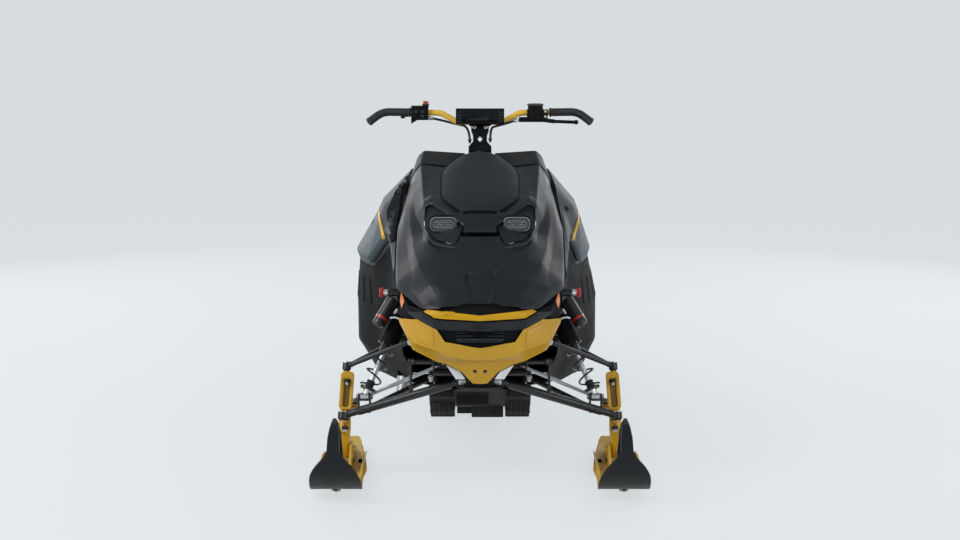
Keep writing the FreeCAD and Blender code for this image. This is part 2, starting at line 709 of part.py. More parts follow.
def ski(plank):
    """Plank with two saddle walls, rolled flanks and a keel."""
    rear = plank.cut(box((SKI_X - 200, SKI_X + 200), (-1700, NOSE_SPLIT_Y), (-20, 500)))
    top = SKI_BASE_Z + SKI_THICK - 2
    wall = [(-1290, top), (-1180, 66), (-1095, 118), (-1005, 118), (-900, 70), (-740, top)]
    walls = [prism_x(wall, SKI_X + x0, SKI_X + x1) for x0, x1 in ((-42, -34), (20, 28))]
    keel = prism_x([(-1416, SKI_BASE_Z + 2), (-1380, KEEL_LOW_Z), (-760, KEEL_LOW_Z), (-700, SKI_BASE_Z + 2)],
                   SKI_X - KEEL_W / 2, SKI_X + KEEL_W / 2)
    flanks = []
    for side, half in ((-1, 82), (1, 72)):
        x0 = SKI_X + side * half
        flanks.append(prism_x([(-1380, top), (-1250, 54), (-960, 54), (-800, top)], x0 - 3, x0 + 3))
    shape = fuse([rear, keel] + walls + flanks)
    bolt = rod(SKI_BOLT + Vector(-60, 0, 0), SKI_BOLT + Vector(60, 0, 0), BOLT_R + RUN)
    return shape.cut(bolt)


def ski_bolt():
    """Cross bolt that holds the spindle's foot between the ski's walls, with its two heads."""
    inner = SKI_X - 42 - GAP
    outer = SKI_X + 28 + GAP
    y, z = SKI_BOLT.y, SKI_BOLT.z
    return fuse([rod(Vector(inner - 10, y, z), Vector(outer + 10, y, z), BOLT_R),
                 rod(Vector(inner - 12, y, z), Vector(inner, y, z), 15),
                 rod(Vector(outer, y, z), Vector(outer + 12, y, z), 15)])


def ski_nose(plank):
    """Black tip with the carrying loop that rises from it."""
    front = plank.common(box((SKI_X - 200, SKI_X + 200), (-1700, NOSE_SPLIT_Y - GAP), (-20, 500)))
    rail = [(-1588, 140), (-1578, 176), (-1512, 262), (-1452, 276), (-1330, 96)]
    inner = [(-1556, 97), (-1546, 158), (-1500, 240), (-1462, 252), (-1352, 88)]
    loop = prism_x(rail + inner[::-1], SKI_X - LOOP_W / 2, SKI_X + LOOP_W / 2)
    foot = box((SKI_X - LOOP_W / 2, SKI_X + LOOP_W / 2), (-1372, -1316),
               (SKI_BASE_Z + SKI_THICK + GAP, 96))
    return fuse([front, loop, foot])


def ski_runner():
    """Hardened round bar along the keel."""
    return rod(Vector(SKI_X, -1300, CARBIDE_R), Vector(SKI_X, -820, CARBIDE_R), CARBIDE_R)


def along_shock(t):
    """Point on the shock's line from its low eye, t in mm."""
    return SHOCK_LOW + unit(SHOCK_TOP - SHOCK_LOW) * t


def shock():
    """Damper body, polished shaft, eyes and the piggyback reservoir with its adjuster."""
    length = (SHOCK_TOP - SHOCK_LOW).Length
    side = Vector(SHOCK_EYE, 0, 0)
    eyes = [rod(p - side, p + side, 15) for p in (SHOCK_LOW, SHOCK_TOP)]
    shaft = rod(along_shock(8), along_shock(190), 8)
    body = rod(along_shock(178), along_shock(length - 8), 22)
    seat = rod(along_shock(28), along_shock(38), 30)
    collar = rod(along_shock(length - 76), along_shock(length - 62), 31)
    bump = rod(along_shock(38), along_shock(66), 16)
    return fuse([shaft, body, seat, collar, bump] + eyes)


RES_TOP = Vector(316, -1000, 640)
RES_LOW = Vector(372, -1040, 552)
KNOB = Vector(352, -1008, 668)


def reservoir():
    bottle = rod(RES_LOW, RES_TOP, 25)
    bridge = rod(along_shock((SHOCK_TOP - SHOCK_LOW).Length - 40), RES_TOP + unit(RES_LOW - RES_TOP) * 16, 15)
    valve = rod(Vector(296, KNOB.y, KNOB.z), Vector(KNOB.x - 14, KNOB.y, KNOB.z), 15)
    stem = rod(Vector(KNOB.x - 16, KNOB.y, KNOB.z), KNOB, 10)
    length = (SHOCK_TOP - SHOCK_LOW).Length
    shape = fuse([bottle, bridge, valve, stem]).cut(rod(along_shock(178), along_shock(400), 22))
    return shape.cut(rod(along_shock(length - 80), along_shock(length - 58), 32))


def adjuster_knob():
    return rod(KNOB + Vector(GAP, 0, 0), KNOB + Vector(16, 0, 0), 17)


SPRING_R = 27.0
SPRING_WIRE = 3.6
SPRING_TURNS = 7
SPRING_STEPS = 12        # straight runs in one turn
WIRE_SIDES = 6


def spring():
    """Coil between the shock's lower seat and its collar, as a wire of few flats carried round a helix."""
    low, high = 38 + SPRING_WIRE + GAP, (SHOCK_TOP - SHOCK_LOW).Length - 76 - SPRING_WIRE - GAP
    count = SPRING_TURNS * SPRING_STEPS
    rings = []
    for k in range(count + 1):
        a = 2 * math.pi * k / SPRING_STEPS
        z = (high - low) * k / count
        rings.append([])
        for i in range(WIRE_SIDES):
            b = 2 * math.pi * i / WIRE_SIDES
            r = SPRING_R + SPRING_WIRE * math.cos(b)
            rings[-1].append(Vector(r * math.cos(a), r * math.sin(a), z + SPRING_WIRE * math.sin(b)))
    faces = [Part.Face(Part.makePolygon(ring + ring[:1])) for ring in (rings[0], rings[-1])]
    for one, two in zip(rings, rings[1:]):
        for i in range(WIRE_SIDES):
            j = (i + 1) % WIRE_SIDES
            for corners in ((one[i], one[j], two[j]), (one[i], two[j], two[i])):
                faces.append(Part.Face(Part.makePolygon(list(corners) + [corners[0]])))
    coil = Part.makeSolid(Part.makeShell(faces))
    if coil.Volume < 0:
        coil.reverse()
    axis = unit(SHOCK_TOP - SHOCK_LOW)
    coil.Placement = FreeCAD.Placement(along_shock(low), FreeCAD.Rotation(Vector(0, 0, 1), axis))
    return coil


def sway_bar():
    """Torsion bar behind the bumper with an arm and a drop link on each side."""
    y, z = SWAY_POINT
    pieces = [rod(Vector(-232, y, z), Vector(232, y, z), SWAY_R)]
    for s in (1, -1):
        pieces.append(rod(Vector(s * 232, y, z), Vector(s * 250, y + 46, z - 6), SWAY_R))
        pieces.append(rod(Vector(s * 250, y + 46, z), Vector(s * 250, y + 46, 322 + 11 + GAP), 5))
        pieces.append(rod(Vector(s * 240, y + 46, z - 6), Vector(s * 260, y + 46, z - 6), 10))
    return fuse(pieces)


def tangent_angle(c0, r0, c1, r1, side):
    """Angle of the outward normal shared by two circles on one side of their line."""
    dy, dz = c1[0] - c0[0], c1[1] - c0[1]
    return math.atan2(dz, dy) + side * math.acos((r0 - r1) / math.hypot(dy, dz))


def track_path(offset):
    """Closed loop of lines and arcs in the YZ plane, offset outwards from the belt's inner face."""
    bend = (BEND_Y, BELT_INNER_Z + BEND_R)
    rear = tangent_angle(UPPER_WHEEL, UPPER_WHEEL_R, REAR_WHEEL, REAR_WHEEL_R, 1)
    top = tangent_angle(DRIVER, DRIVER_R, UPPER_WHEEL, UPPER_WHEEL_R, 1)
    front = tangent_angle(DRIVER, DRIVER_R, bend, BEND_R, -1)
    spans = [  # centre, radius, first angle, last angle, going round with the angle rising
        (REAR_WHEEL, REAR_WHEEL_R, -math.pi / 2, rear),
        (UPPER_WHEEL, UPPER_WHEEL_R, rear, top),
        (DRIVER, DRIVER_R, top, front + 2 * math.pi),
        (bend, BEND_R, front + 2 * math.pi, 1.5 * math.pi),
    ]
    edges, last, first = [], None, None
    for centre, r, a0, a1 in spans:
        rr = r + offset
        pts = [Vector(0, centre[0] + rr * math.cos(a), centre[1] + rr * math.sin(a))
               for a in (a0, (a0 + a1) / 2, a1)]
        if last is not None:
            edges.append(Part.LineSegment(last, pts[0]).toShape())
        else:
            first = pts[0]
        edges.append(Part.Arc(*pts).toShape())
        last = pts[2]
    edges.append(Part.LineSegment(last, first).toShape())
    return Part.Wire(edges)


# Paddles of one row. Columns: low X, high X. Rows repeat in this order round the belt.
LUG_ROW = [
    ((-200, -102), (102, 200)),
    ((-94, 34),),
    ((-200, -102), (102, 200)),
    ((-34, 94),),
]
LUG_BASE = 20.0
LUG_TIP = 9.0


def track():
    outer, inner = Part.Face(track_path(BELT)), Part.Face(track_path(0))
    ring = outer.cut(inner)
    ring.translate(Vector(-TRACK_W / 2, 0, 0))
    belt = ring.extrude(Vector(TRACK_W, 0, 0))
    path = track_path(BELT)
    places = path.discretize(Number=LUG_ROWS * 4 + 1)
    paddles = []
    for i in range(LUG_ROWS):
        p, q = places[4 * i + 1], places[4 * i + 2]
        t = unit(q - p)
        n = Vector(0, t.z, -t.y)
        root, tip = p - n * 2.0, p + n * LUG_H
        low, high = t * (LUG_BASE / 2), t * (LUG_TIP / 2)
        section = [root - low, tip - high, tip + high, root + low]
        for x0, x1 in LUG_ROW[i % len(LUG_ROW)]:
            paddles.append(prism([(x0, v.y, v.z) for v in section], (x1 - x0, 0, 0)))
    return belt.multiFuse(paddles)


def sprocket(x):
    """Drive wheel with eight teeth that stay inside the belt."""
    hub = Part.makeCylinder(DRIVER_R - 22, 30, Vector(x - 15, *DRIVER), Vector(1, 0, 0))
    teeth = []
    for i in range(8):
        a = 2 * math.pi * i / 8
        reach = DRIVER_R - GAP - 1
        c, s = math.cos(a), math.sin(a)
        pts = [(60, -13), (reach, -7), (reach, 7), (60, 13)]
        turned = [(x - 15, DRIVER[0] + u * c - v * s, DRIVER[1] + u * s + v * c) for u, v in pts]
        teeth.append(prism(turned, (30, 0, 0)))
    return fuse([hub] + teeth)


def drive_axle():
    shaft = Part.makeCylinder(14, 2 * TUNNEL_HALF - 8, Vector(4 - TUNNEL_HALF, *DRIVER), Vector(1, 0, 0))
    return fuse([shaft] + [sprocket(x) for x in (-150, -50, 50, 150)])


def wheel(centre, x0, x1, r, bore):
    """Idler wheel: tyre, dished web and hub, turned about X."""
    mid = (x0 + x1) / 2
    half = (x1 - x0) / 2
    profile = [(bore, -half), (bore + 11, -half), (bore + 11, -3), (r - 14, -3), (r - 14, -half), (r, -half),
               (r, half), (r - 14, half), (r - 14, 3), (bore + 11, 3), (bore + 11, half), (bore, half)]
    face = Part.Face(polygon([(mid + x, centre[0], centre[1] + rad) for rad, x in profile]))
    return face.revolve(Vector(mid, centre[0], centre[1]), Vector(1, 0, 0), 360)


CARRIER_R = 64.0
ARM_TUBE_R = 13.0
LINK_R = 10.0
REAR_SHAFT_R = 12.0
CARRIER_AT = (0.2415, 0.519, 0.778)      # along the straight rail, 0 at the bend and 1 at the rear wheels
RAIL_WINDOWS = [(0.098, 0.188), (0.304, 0.447), (0.581, 0.707), (0.841, 0.930)]


def rail_y(share):
    return BEND_Y + share * (REAR_WHEEL_Y - BEND_Y)


def idler_wheels():
    """Rear, carrier and upper wheels, which touch nothing but their axles and the belt."""
    out = []
    for s in (1, -1):
        for x in (84, 172):
            out.append(wheel(REAR_WHEEL, s * x - 14, s * x + 14, REAR_WHEEL_R - GAP, REAR_SHAFT_R + RUN))
        for y in map(rail_y, CARRIER_AT):
            at_y = (y, BELT_INNER_Z + CARRIER_R + 4)
            out.append(wheel(at_y, s * 170 - 13, s * 170 + 13, CARRIER_R, LINK_R + RUN))
        out.append(wheel(UPPER_WHEEL, s * 92 - 13, s * 92 + 13, UPPER_WHEEL_R - GAP, ARM_TUBE_R + RUN))
    return out


def skid_axles():
    """Cross shafts of the rear suspension's wheels."""
    out = [rod(Vector(-190, *REAR_WHEEL), Vector(190, *REAR_WHEEL), REAR_SHAFT_R)]
    for y in map(rail_y, CARRIER_AT):
        z = BELT_INNER_Z + CARRIER_R + 4
        for s in (1, -1):
            out.append(rod(Vector(s * (RAIL_X + RAIL_W / 2 + GAP), y, z), Vector(s * 188, y, z), LINK_R))
    return out


def rail(x):
    """Slide rail with a turned-up front, windows and holes for the shafts."""
    z0 = BELT_INNER_Z + 12
    z1 = z0 + RAIL_H
    bend = (BEND_Y, BELT_INNER_Z + BEND_R)

    def on_bend(depth, a):
        r = BEND_R - depth
        return Vector(0, bend[0] + r * math.cos(a), bend[1] + r * math.sin(a))

    a0, a1 = -math.pi / 2, -math.pi / 2 - 0.60
    low, high = 12, 12 + RAIL_H
    rear = REAR_WHEEL_Y + 34
    edges = [
        Part.LineSegment(Vector(0, rear, z0), Vector(0, bend[0], z0)).toShape(),
        Part.Arc(on_bend(low, a0), on_bend(low, (a0 + a1) / 2), on_bend(low, a1)).toShape(),
        Part.LineSegment(on_bend(low, a1), on_bend(high - 22, a1)).toShape(),
        Part.Arc(on_bend(high - 22, a1), on_bend(high - 8, (a0 + a1) / 2), on_bend(high, a0)).toShape(),
        Part.LineSegment(Vector(0, bend[0], z1), Vector(0, rear - 30, z1)).toShape(),
        Part.LineSegment(Vector(0, rear - 30, z1), Vector(0, rear, z1 + 14)).toShape(),
        Part.LineSegment(Vector(0, rear, z1 + 14), Vector(0, rear, z0)).toShape(),
    ]
    face = Part.Face(Part.Wire(edges))
    face.translate(Vector(x - RAIL_W / 2, 0, 0))
    solid = face.extrude(Vector(RAIL_W, 0, 0))
    for start, end in RAIL_WINDOWS:
        solid = solid.cut(box((x - 20, x + 20), (rail_y(start), rail_y(end)), (z0 + 18, z1 - 14)))
    return solid.cut(rod(Vector(x - 20, *REAR_WHEEL), Vector(x + 20, *REAR_WHEEL), REAR_SHAFT_R + RUN))


def slide_shoe(x):
    """Plastic wear strip under a rail, on the belt's inner face."""
    z0 = BELT_INNER_Z + GAP
    z1 = BELT_INNER_Z + 12 - GAP
    return box((x - 15, x + 15), (BEND_Y, REAR_WHEEL_Y - 40), (z0, z1))


INNER_REACH = RAIL_X - RAIL_W / 2 - GAP
SHAFT_Z = 98.0               # cross shafts between the rails
FRONT_ARM = (Vector(0, -130, 412), Vector(0, rail_y(0.215), SHAFT_Z))
REAR_ARM = (Vector(0, *UPPER_WHEEL), Vector(0, rail_y(0.756), SHAFT_Z))
SKID_SHOCKS = [(FRONT_ARM[0], Vector(0, rail_y(0.054), SHAFT_Z)),
               (REAR_ARM[0], Vector(0, rail_y(0.255), SHAFT_Z))]


def skid_arm(top, low):
    """Swing arm of the rear suspension: two legs and two cross tubes, in the tunnel and between the rails."""
    reach = TUNNEL_HALF - SHEET_WALL - GAP
    parts = [rod(Vector(-reach, top.y, top.z), Vector(reach, top.y, top.z), ARM_TUBE_R),
             rod(Vector(-INNER_REACH, low.y, low.z), Vector(INNER_REACH, low.y, low.z), ARM_TUBE_R)]
    for s in (1, -1):
        parts.append(rod(Vector(s * 150, top.y, top.z), Vector(s * 96, low.y, low.z), 12))
    return fuse(parts)


def skid_shock(top, low):
    """Coil-over damper of the rear suspension, its spring as a ribbed sleeve, bored for its two shafts."""
    axis = unit(top - low)
    length = (top - low).Length
    profile = [(0, 6), (9, 6), (9, 46), (27, 46)]
    step = 19.0
    z = 50.0
    while z < length - 66:
        profile += [(27, z), (32, z), (32, z + 9), (27, z + 9)]
        z += step
    profile += [(27, z + 2), (20, z + 4), (20, length - 6), (0, length - 6)]
    face = Part.Face(polygon([(r, 0, h) for r, h in profile]))
    body = face.revolve(Vector(0, 0, 0), Vector(0, 0, 1), 360)
    body.Placement = FreeCAD.Placement(low, FreeCAD.Rotation(Vector(0, 0, 1), axis))
    shape = fuse([body] + [rod(p + Vector(-14, 0, 0), p + Vector(14, 0, 0), 21) for p in (low, top)])
    for p, r in ((low, LINK_R), (top, ARM_TUBE_R)):
        shape = shape.cut(rod(p + Vector(-40, 0, 0), p + Vector(40, 0, 0), r + RUN))
    return shape


def skid_link(low):
    return rod(Vector(-INNER_REACH, low.y, low.z), Vector(INNER_REACH, low.y, low.z), LINK_R)


def tunnel():
    half, top = TUNNEL_HALF, TUNNEL_TOP

    def line(low, crown):
        return both_sides([(0, crown), (half - 14, crown), (half, crown - 14), (half, low)])

    rows = [(TUNNEL_FRONT_Y, line(330, top)), (-210, line(330, top)), (-120, line(TUNNEL_LOW, top)),
            (1080, line(TUNNEL_LOW, top)), (TUNNEL_REAR_Y, line(500, top))]
    shape = panel(rows, SHEET_WALL)
    for x in (-ANCHOR_DX / 2, ANCHOR_DX / 2):
        for y in (ANCHOR_Y - ANCHOR_DY / 2, ANCHOR_Y + ANCHOR_DY / 2):
            shape = shape.cut(Part.makeCylinder(ANCHOR_R, 40, Vector(x, y, top - 20)))
    return shape


def running_board():
    """Board on the rider's left: sheet with rows of snow slots, a round outer rail and a stiffening lip."""
    x0 = TUNNEL_HALF + GAP
    rim = [(BOARD_OUT, BOARD_FRONT_Y), (BOARD_OUT, BOARD_BEND_Y), (BOARD_REAR_OUT, BOARD_REAR_Y)]
    sheet = prism_z([(x0, BOARD_FRONT_Y)] + rim + [(x0, BOARD_REAR_Y)], BOARD_Z - BOARD_WALL, BOARD_Z)
    taper = (BOARD_OUT - BOARD_REAR_OUT) / (BOARD_REAR_Y - BOARD_BEND_Y)
    cutters = []
    pitch = (BOARD_REAR_Y - BOARD_FRONT_Y - 90) / SLOT_COUNT
    for i in range(SLOT_COUNT):
        y = BOARD_FRONT_Y + 60 + i * pitch
        width = min(BOARD_OUT, BOARD_OUT - (y + SLOT_L - BOARD_BEND_Y) * taper) - x0
        for k in range(SLOT_ROWS):
            x = x0 + (k + 0.5) * (width - 10) / SLOT_ROWS
            across = (x - SLOT_W / 2, x + SLOT_W / 2)
            cutters.append(box(across, (y, y + SLOT_L), (BOARD_Z - 10, BOARD_Z + 10)))
    sheet = sheet.cut(Part.makeCompound(cutters))
    edge = swept([Vector(x, y, BOARD_Z) for x, y in rim], BOARD_TUBE_R, [300])
    return fuse([sheet, edge])


# Tank and console. Columns: Y, base half width, belly half width and Z, top half width, top Z.
CONSOLE = [
    (-516, 214, 228, 960, 176, 1100),
    (-400, 206, 216, 930, 150, 1112),
    (-300, 186, 198, 880, 120, 1080),
    (-150, 160, 176, 800, 100, 985),
    (20, 150, 164, 720, 96, 880),
    (123.7, 146, 152, 690, 92, 812),
]
CONSOLE_BASE = [900, 760, 640, TUNNEL_TOP + GAP, TUNNEL_TOP + GAP, TUNNEL_TOP + GAP]
CONSOLE_WALL = 6.0


def steer_axis():
    a = math.radians(STEER_TILT)
    return Vector(0, math.sin(a), math.cos(a))


def console():
    """Tank cover between the rider's knees, open below and round the steering post."""
    rows = []
    for (y, base, belly, belly_z, top, top_z), low in zip(CONSOLE, CONSOLE_BASE):
        rows.append((y, [(-base, low), (-belly, belly_z), (-top, top_z - 10), (-top * 0.6, top_z),
                         (top * 0.6, top_z), (top, top_z - 10), (belly, belly_z), (base, low)]))
    a = steer_axis()
    return panel(rows, CONSOLE_WALL).cut(rod(STEER_POINT - a * 330, STEER_POINT + a * 80, 54))


# Seat. Columns: Y, base half width, side half width and Z, crown half width, crown Z.
SEAT = [
    (124, 92, 104, 720, 74, 806),
    (260, 112, 132, 735, 96, 802),
    (460, 126, 150, 750, 116, 810),
    (620, 122, 144, 765, 110, 838),
    (730, 104, 120, 780, 88, 858),
]


def seat():
    rows = []
    for y, base, side, side_z, crown, crown_z in SEAT:
        half = [(0, crown_z), (crown, crown_z - 6), (side - 6, side_z + 30), (side, side_z)]
        rows.append((y, both_sides(half + [(base, SEAT_BASE_Z)])))
    return block(rows)


def engine():
    return box((-172, 172), (-830 + GAP, -560), (342, 672))


def rear_bumper():
    """Grab bar round the tunnel's end."""
    z0, z1 = 470.0, 640.0
    out, end = TUNNEL_HALF + 16, TUNNEL_REAR_Y
    pts = [Vector(out, end - 220, z0), Vector(out, end - 10, z0 + 40), Vector(out - 33, end + 130, z1)]
    line = pts + [flip(p) for p in pts[::-1]]
    bar = swept(line, 11, [90, 60, 60, 90])
    feet = [rod(Vector(s * (TUNNEL_HALF + GAP), end - y, z), Vector(s * out, end - y, z), 9)
            for s in (1, -1) for y, z in ((190, z0 + 6), (50, z0 + 33))]
    return fuse([bar] + feet)


def tail_light():
    end, low = TUNNEL_REAR_Y, TUNNEL_TOP + GAP
    return prism_x([(end - 30, low), (end - 30, low + 26), (end - 4, low + 48), (end + 52, low + 48),
                    (end + 58, low + 4), (end + 10, low)], -92, 92)


def snow_flap():
    """Rubber flap from the tunnel's end down behind the track."""
    top = TUNNEL_TOP - SHEET_WALL - GAP
    start, fold = TUNNEL_REAR_Y - 40, TUNNEL_REAR_Y + 60
    face = [(start, top), (fold, top), (fold + 70, 520), (FLAP_END_Y, 226), (FLAP_END_Y - 8, 222),
            (fold + 62, 515), (fold - 4, top - 8), (start, top - 8)]
    flap = prism_x(face, -198, 198)
    rib = [(y + 4, z) for y, z in face[2:4]] + [(y - 2, z - 2) for y, z in face[3:1:-1]]
    ribs = [prism_x(rib, x - 5, x + 5) for x in (-140, -70, 0, 70, 140)]
    return fuse([flap] + ribs)


def muffler_outlet():
    return pipe(EXHAUST[0], EXHAUST[1], EXHAUST_R, EXHAUST_R - 4)


# Handlebar line on the rider's left, from the hook to the clamp.
BAR_LINE = [Vector(430, -348, 1234), Vector(378, -320, 1272), Vector(152, -336, 1270), Vector(88, -352, 1236)]
BAR_BENDS = [70.0, 60.0, 40.0]
GRIP_END_X = 268.0


def handlebar():
    line = BAR_LINE + [flip(p) for p in BAR_LINE[::-1]]
    return swept(line, BAR_R, BAR_BENDS + BAR_BENDS[::-1])


def grip():
    """Rubber grip over the bar's hook, with a bore on the bar."""
    line = BAR_LINE[:3]
    inner_end = line[1] + (line[2] - line[1]) * ((line[1].x - GRIP_END_X) / (line[1].x - line[2].x))
    start = line[0] + unit(line[0] - line[1]) * 4
    outer = swept([start, line[1], inner_end], GRIP_R, [70.0])
    return outer.cut(swept(line, BAR_R + PRESS, [70.0]))


def on_riser(x, h, out):
    """Point on the riser: across, up along the post, and forwards."""
    a = steer_axis()
    front = Vector(0, -a.z, a.y)
    return STEER_POINT + Vector(x, 0, 0) + a * h + front * (out - 20)


def riser_prism(outline, out0, out1):
    depth = on_riser(0, 0, out1) - on_riser(0, 0, out0)
    return prism([tuple(on_riser(x, h, out0)) for x, h in outline], tuple(depth))


# Half of the riser's front view: X, height along the post. The bar passes through its top.
RISER_HALF = [(44, -4), (44, 14), (27, 34), (27, 66), (34, 84), (34, 134)]
RISER_WINDOW = [(0, 32), (14, 48), (0, 64), (-14, 48)]
BAR_MIDDLE = Vector(0, -352, 1236)


def bar_cut(shape, margin):
    return shape.cut(rod(BAR_MIDDLE + Vector(-80, 0, 0), BAR_MIDDLE + Vector(80, 0, 0), BAR_R + margin))


def riser():
    """Post-top block with a diamond window and the bar clamp."""
    outline = RISER_HALF + [(-x, h) for x, h in RISER_HALF[::-1]]
    solid = riser_prism(outline, -2, 34).cut(riser_prism(RISER_WINDOW, -20, 60))
    return bar_cut(solid, PRESS)


def steering_post():
    a = steer_axis()
    return rod(STEER_POINT - a * 290, STEER_POINT - a * (4 + GAP), POST_R)


def display():
    """Instrument panel with a sloped screen, on a foot against the riser's front."""
    y0 = -380.0
    side = [(y0 - 26, 1232), (y0 - 30, 1288), (y0 - 16, 1292), (y0, 1284), (y0 + 4, 1236), (y0 - 4, 1230)]
    shape = prism_x(side, -93, 93)
    foot = box((-24, 24), (y0 - 10, y0 + 24), (1238, 1256))
    room = riser_prism([(-60, -20), (-60, 160), (60, 160), (60, -20)], -30, 34 + GAP)
    return fuse([shape, foot]).cut(room)


def control_right():
    """Throttle housing with its thumb lever; the stop button is on top."""
    x0, x1 = -266.0, -200.0
    y = -331.0
    shell = box((x0, x1), (y - 26, y + 22), (1243, 1296))
    foot = prism_y([(x0, 1246), (x0, 1228), (x0 + 26, 1244)], y - 20, y + 10)
    tip = Vector(-300, y + 47, 1254)
    paddle = rod(tip + Vector(0, 0, -10), tip + Vector(0, 0, 12), 8)
    lever = fuse([rod(Vector(-254, y + 23, 1260), tip, 6), paddle])
    pod = rod(Vector(-210, y, 1290), Vector(-210, y, 1304), 12)
    shape = fuse([shell, foot, lever, pod])
    return shape.cut(swept(BAR_LINE_RIGHT, BAR_R + PRESS, BAR_BENDS))


BAR_LINE_RIGHT = [flip(p) for p in BAR_LINE]


def stop_button():
    return rod(Vector(-210, -331, 1304 + GAP), Vector(-210, -331, 1314), 10)


def control_left():
    """Brake master cylinder drum, clamp, and the lever ahead of the grip."""
    y = -333.0
    drum = Part.makeCone(32, 29, 54, Vector(214, y - 8, 1246), Vector(0, 0, 1))
    clamp = box((182, 262), (y - 22, y + 18), (1250, 1282))
    arm = box((150, 250), (y - 30, y - 8), (1236, 1254))
    lever = fuse([rod(Vector(242, y - 24, 1244), Vector(286, y - 46, 1240), 8),
                  rod(Vector(284, y - 45, 1240), Vector(368, y - 58, 1238), 6.5),
                  Part.makeSphere(9, Vector(370, y - 58, 1238))])
    shape = fuse([drum, clamp, arm, lever])
    return shape.cut(swept(BAR_LINE, BAR_R + PRESS, BAR_BENDS))


# Cable routes on the steering: from a control to the console, clear of the riser.
CABLE_AT_RISER = 34 + 5 + GAP
THROTTLE_CABLE = [Vector(-199, -322, 1250), Vector(-150, -316, 1240), Vector(-96, -330, 1226),
                  on_riser(-CABLE_AT_RISER, 100, 12), on_riser(-CABLE_AT_RISER, 34, 12)]
BRAKE_HOSE = [Vector(144, -352, 1244), Vector(104, -376, 1232), Vector(62, -378, 1222),
              on_riser(CABLE_AT_RISER, 90, 24), on_riser(CABLE_AT_RISER, 34, 24)]
CABLE_R = 5.0


def cable(points):
    radii = []
    for a, b, c in zip(points, points[1:], points[2:]):
        turn = math.pi - (a - b).getAngle(c - b)
        radii.append(0.45 * min((a - b).Length, (c - b).Length) / math.tan(turn / 2))
    return swept(points, CABLE_R, radii)


def build():
    nodes = {}
    volume = hood_volume()
    mask = mask_volume()
    nodes["hood"] = hood()
    nodes["hood_cover"] = hood_cover().cut(volume)
    bezel = headlight_bezel(volume)
    nodes["headlight_bezels"] = Part.makeCompound([bezel, mirrored(bezel)])
    lens = headlight_lens()
    nodes["headlight_lenses"] = Part.makeCompound([lens, mirrored(lens)])
    nodes["nose_mask"] = nose_mask()
    nodes["nose_strip"] = nose_strip(mask)
    marker = on_mask(REFLECTOR, mask, 5.0)
    nodes["side_reflectors"] = Part.makeCompound([marker, mirrored(marker)])
    nodes["front_bumper"] = bumper()
    nodes["side_panel_left"] = side_panel(SIDE_LEFT)
    nodes["side_panel_right"] = mirrored(vented(side_panel(SIDE_RIGHT)))
    nodes["toe_panel_left"] = toe_panel(TOE_LEFT, SIDE_LEFT)
    nodes["toe_panel_right"] = exhaust_cut(mirrored(toe_panel(TOE_RIGHT, SIDE_RIGHT)))
    nodes["belly_pan"] = belly_pan()
    nodes["front_frame"] = front_frame(nodes["belly_pan"], volume, nodes["front_bumper"],
                                       nodes["nose_mask"])
    nodes["engine"] = engine()
    nodes["console"] = console()
    nodes["seat"] = seat()
    nodes["tunnel"] = tunnel()
    board = running_board()
    nodes["running_board_left"] = board
    nodes["running_board_right"] = mirrored(board)
    nodes["rear_bumper"] = rear_bumper()
    nodes["tail_light"] = tail_light()
    nodes["snow_flap"] = snow_flap()
    nodes["muffler_outlet"] = muffler_outlet()
    for side, turn in (("left", lambda s: s), ("right", mirrored)):
        nodes["lower_arm_" + side] = turn(lower_arm())
        nodes["upper_arm_" + side] = turn(upper_arm())
        nodes["shock_" + side] = turn(Part.makeCompound([shock(), reservoir(), adjuster_knob()]))
        nodes["spring_" + side] = turn(spring())
        nodes["spindle_" + side] = turn(spindle())
        nodes["tie_rod_" + side] = turn(tie_rod())
        plank = ski_plank()
        nodes["ski_" + side] = turn(Part.makeCompound([ski(plank), ski_runner(), ski_bolt()]))
        nodes["ski_nose_" + side] = turn(ski_nose(plank))
    nodes["sway_bar"] = sway_bar()
    nodes["track"] = track()
    nodes["drive_axle"] = drive_axle()
    nodes["idler_wheels"] = Part.makeCompound(idler_wheels() + skid_axles())
    nodes["slide_rails"] = Part.makeCompound([f(x) for f in (rail, slide_shoe) for x in (RAIL_X, -RAIL_X)])
    links = [skid_link(low) for top, low in SKID_SHOCKS]
    nodes["skid_arms"] = Part.makeCompound([skid_arm(*ends) for ends in (FRONT_ARM, REAR_ARM)] + links)
    nodes["skid_shocks"] = Part.makeCompound([skid_shock(*ends) for ends in SKID_SHOCKS])
    nodes["steering_post"] = steering_post()
    nodes["riser"] = riser()
    nodes["handlebar"] = handlebar()
    left_grip = grip()
    nodes["grips"] = Part.makeCompound([left_grip, mirrored(left_grip)])
    nodes["display"] = display()
    nodes["throttle_block"] = Part.makeCompound([control_right(), stop_button()])
    nodes["brake_cylinder"] = control_left()
    nodes["bar_cables"] = Part.makeCompound([cable(THROTTLE_CABLE), cable(BRAKE_HOSE)])
    return nodes


if __name__ == "__main__":
    os.makedirs("parts", exist_ok=True)
    for name, shape in build().items():
        ok = shape.isValid()
        size = f"faces {len(shape.Faces):4d} volume {shape.Volume / 1e6:9.3f} litres"
        print(f"{name:22s} solids {len(shape.Solids):3d} valid {ok} {size}")
        shape.exportStep(f"parts/{name}.step")
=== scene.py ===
"""Crossover snowmobile: panels, trim and finishes over the CAD frame, for Blender.

Row frame in metres: the machine faces -Y, +Z is up, the rider's left is +X.
Panel tables are in millimetres, as a drawing gives them, and are scaled once in table().
"""

import json
import math

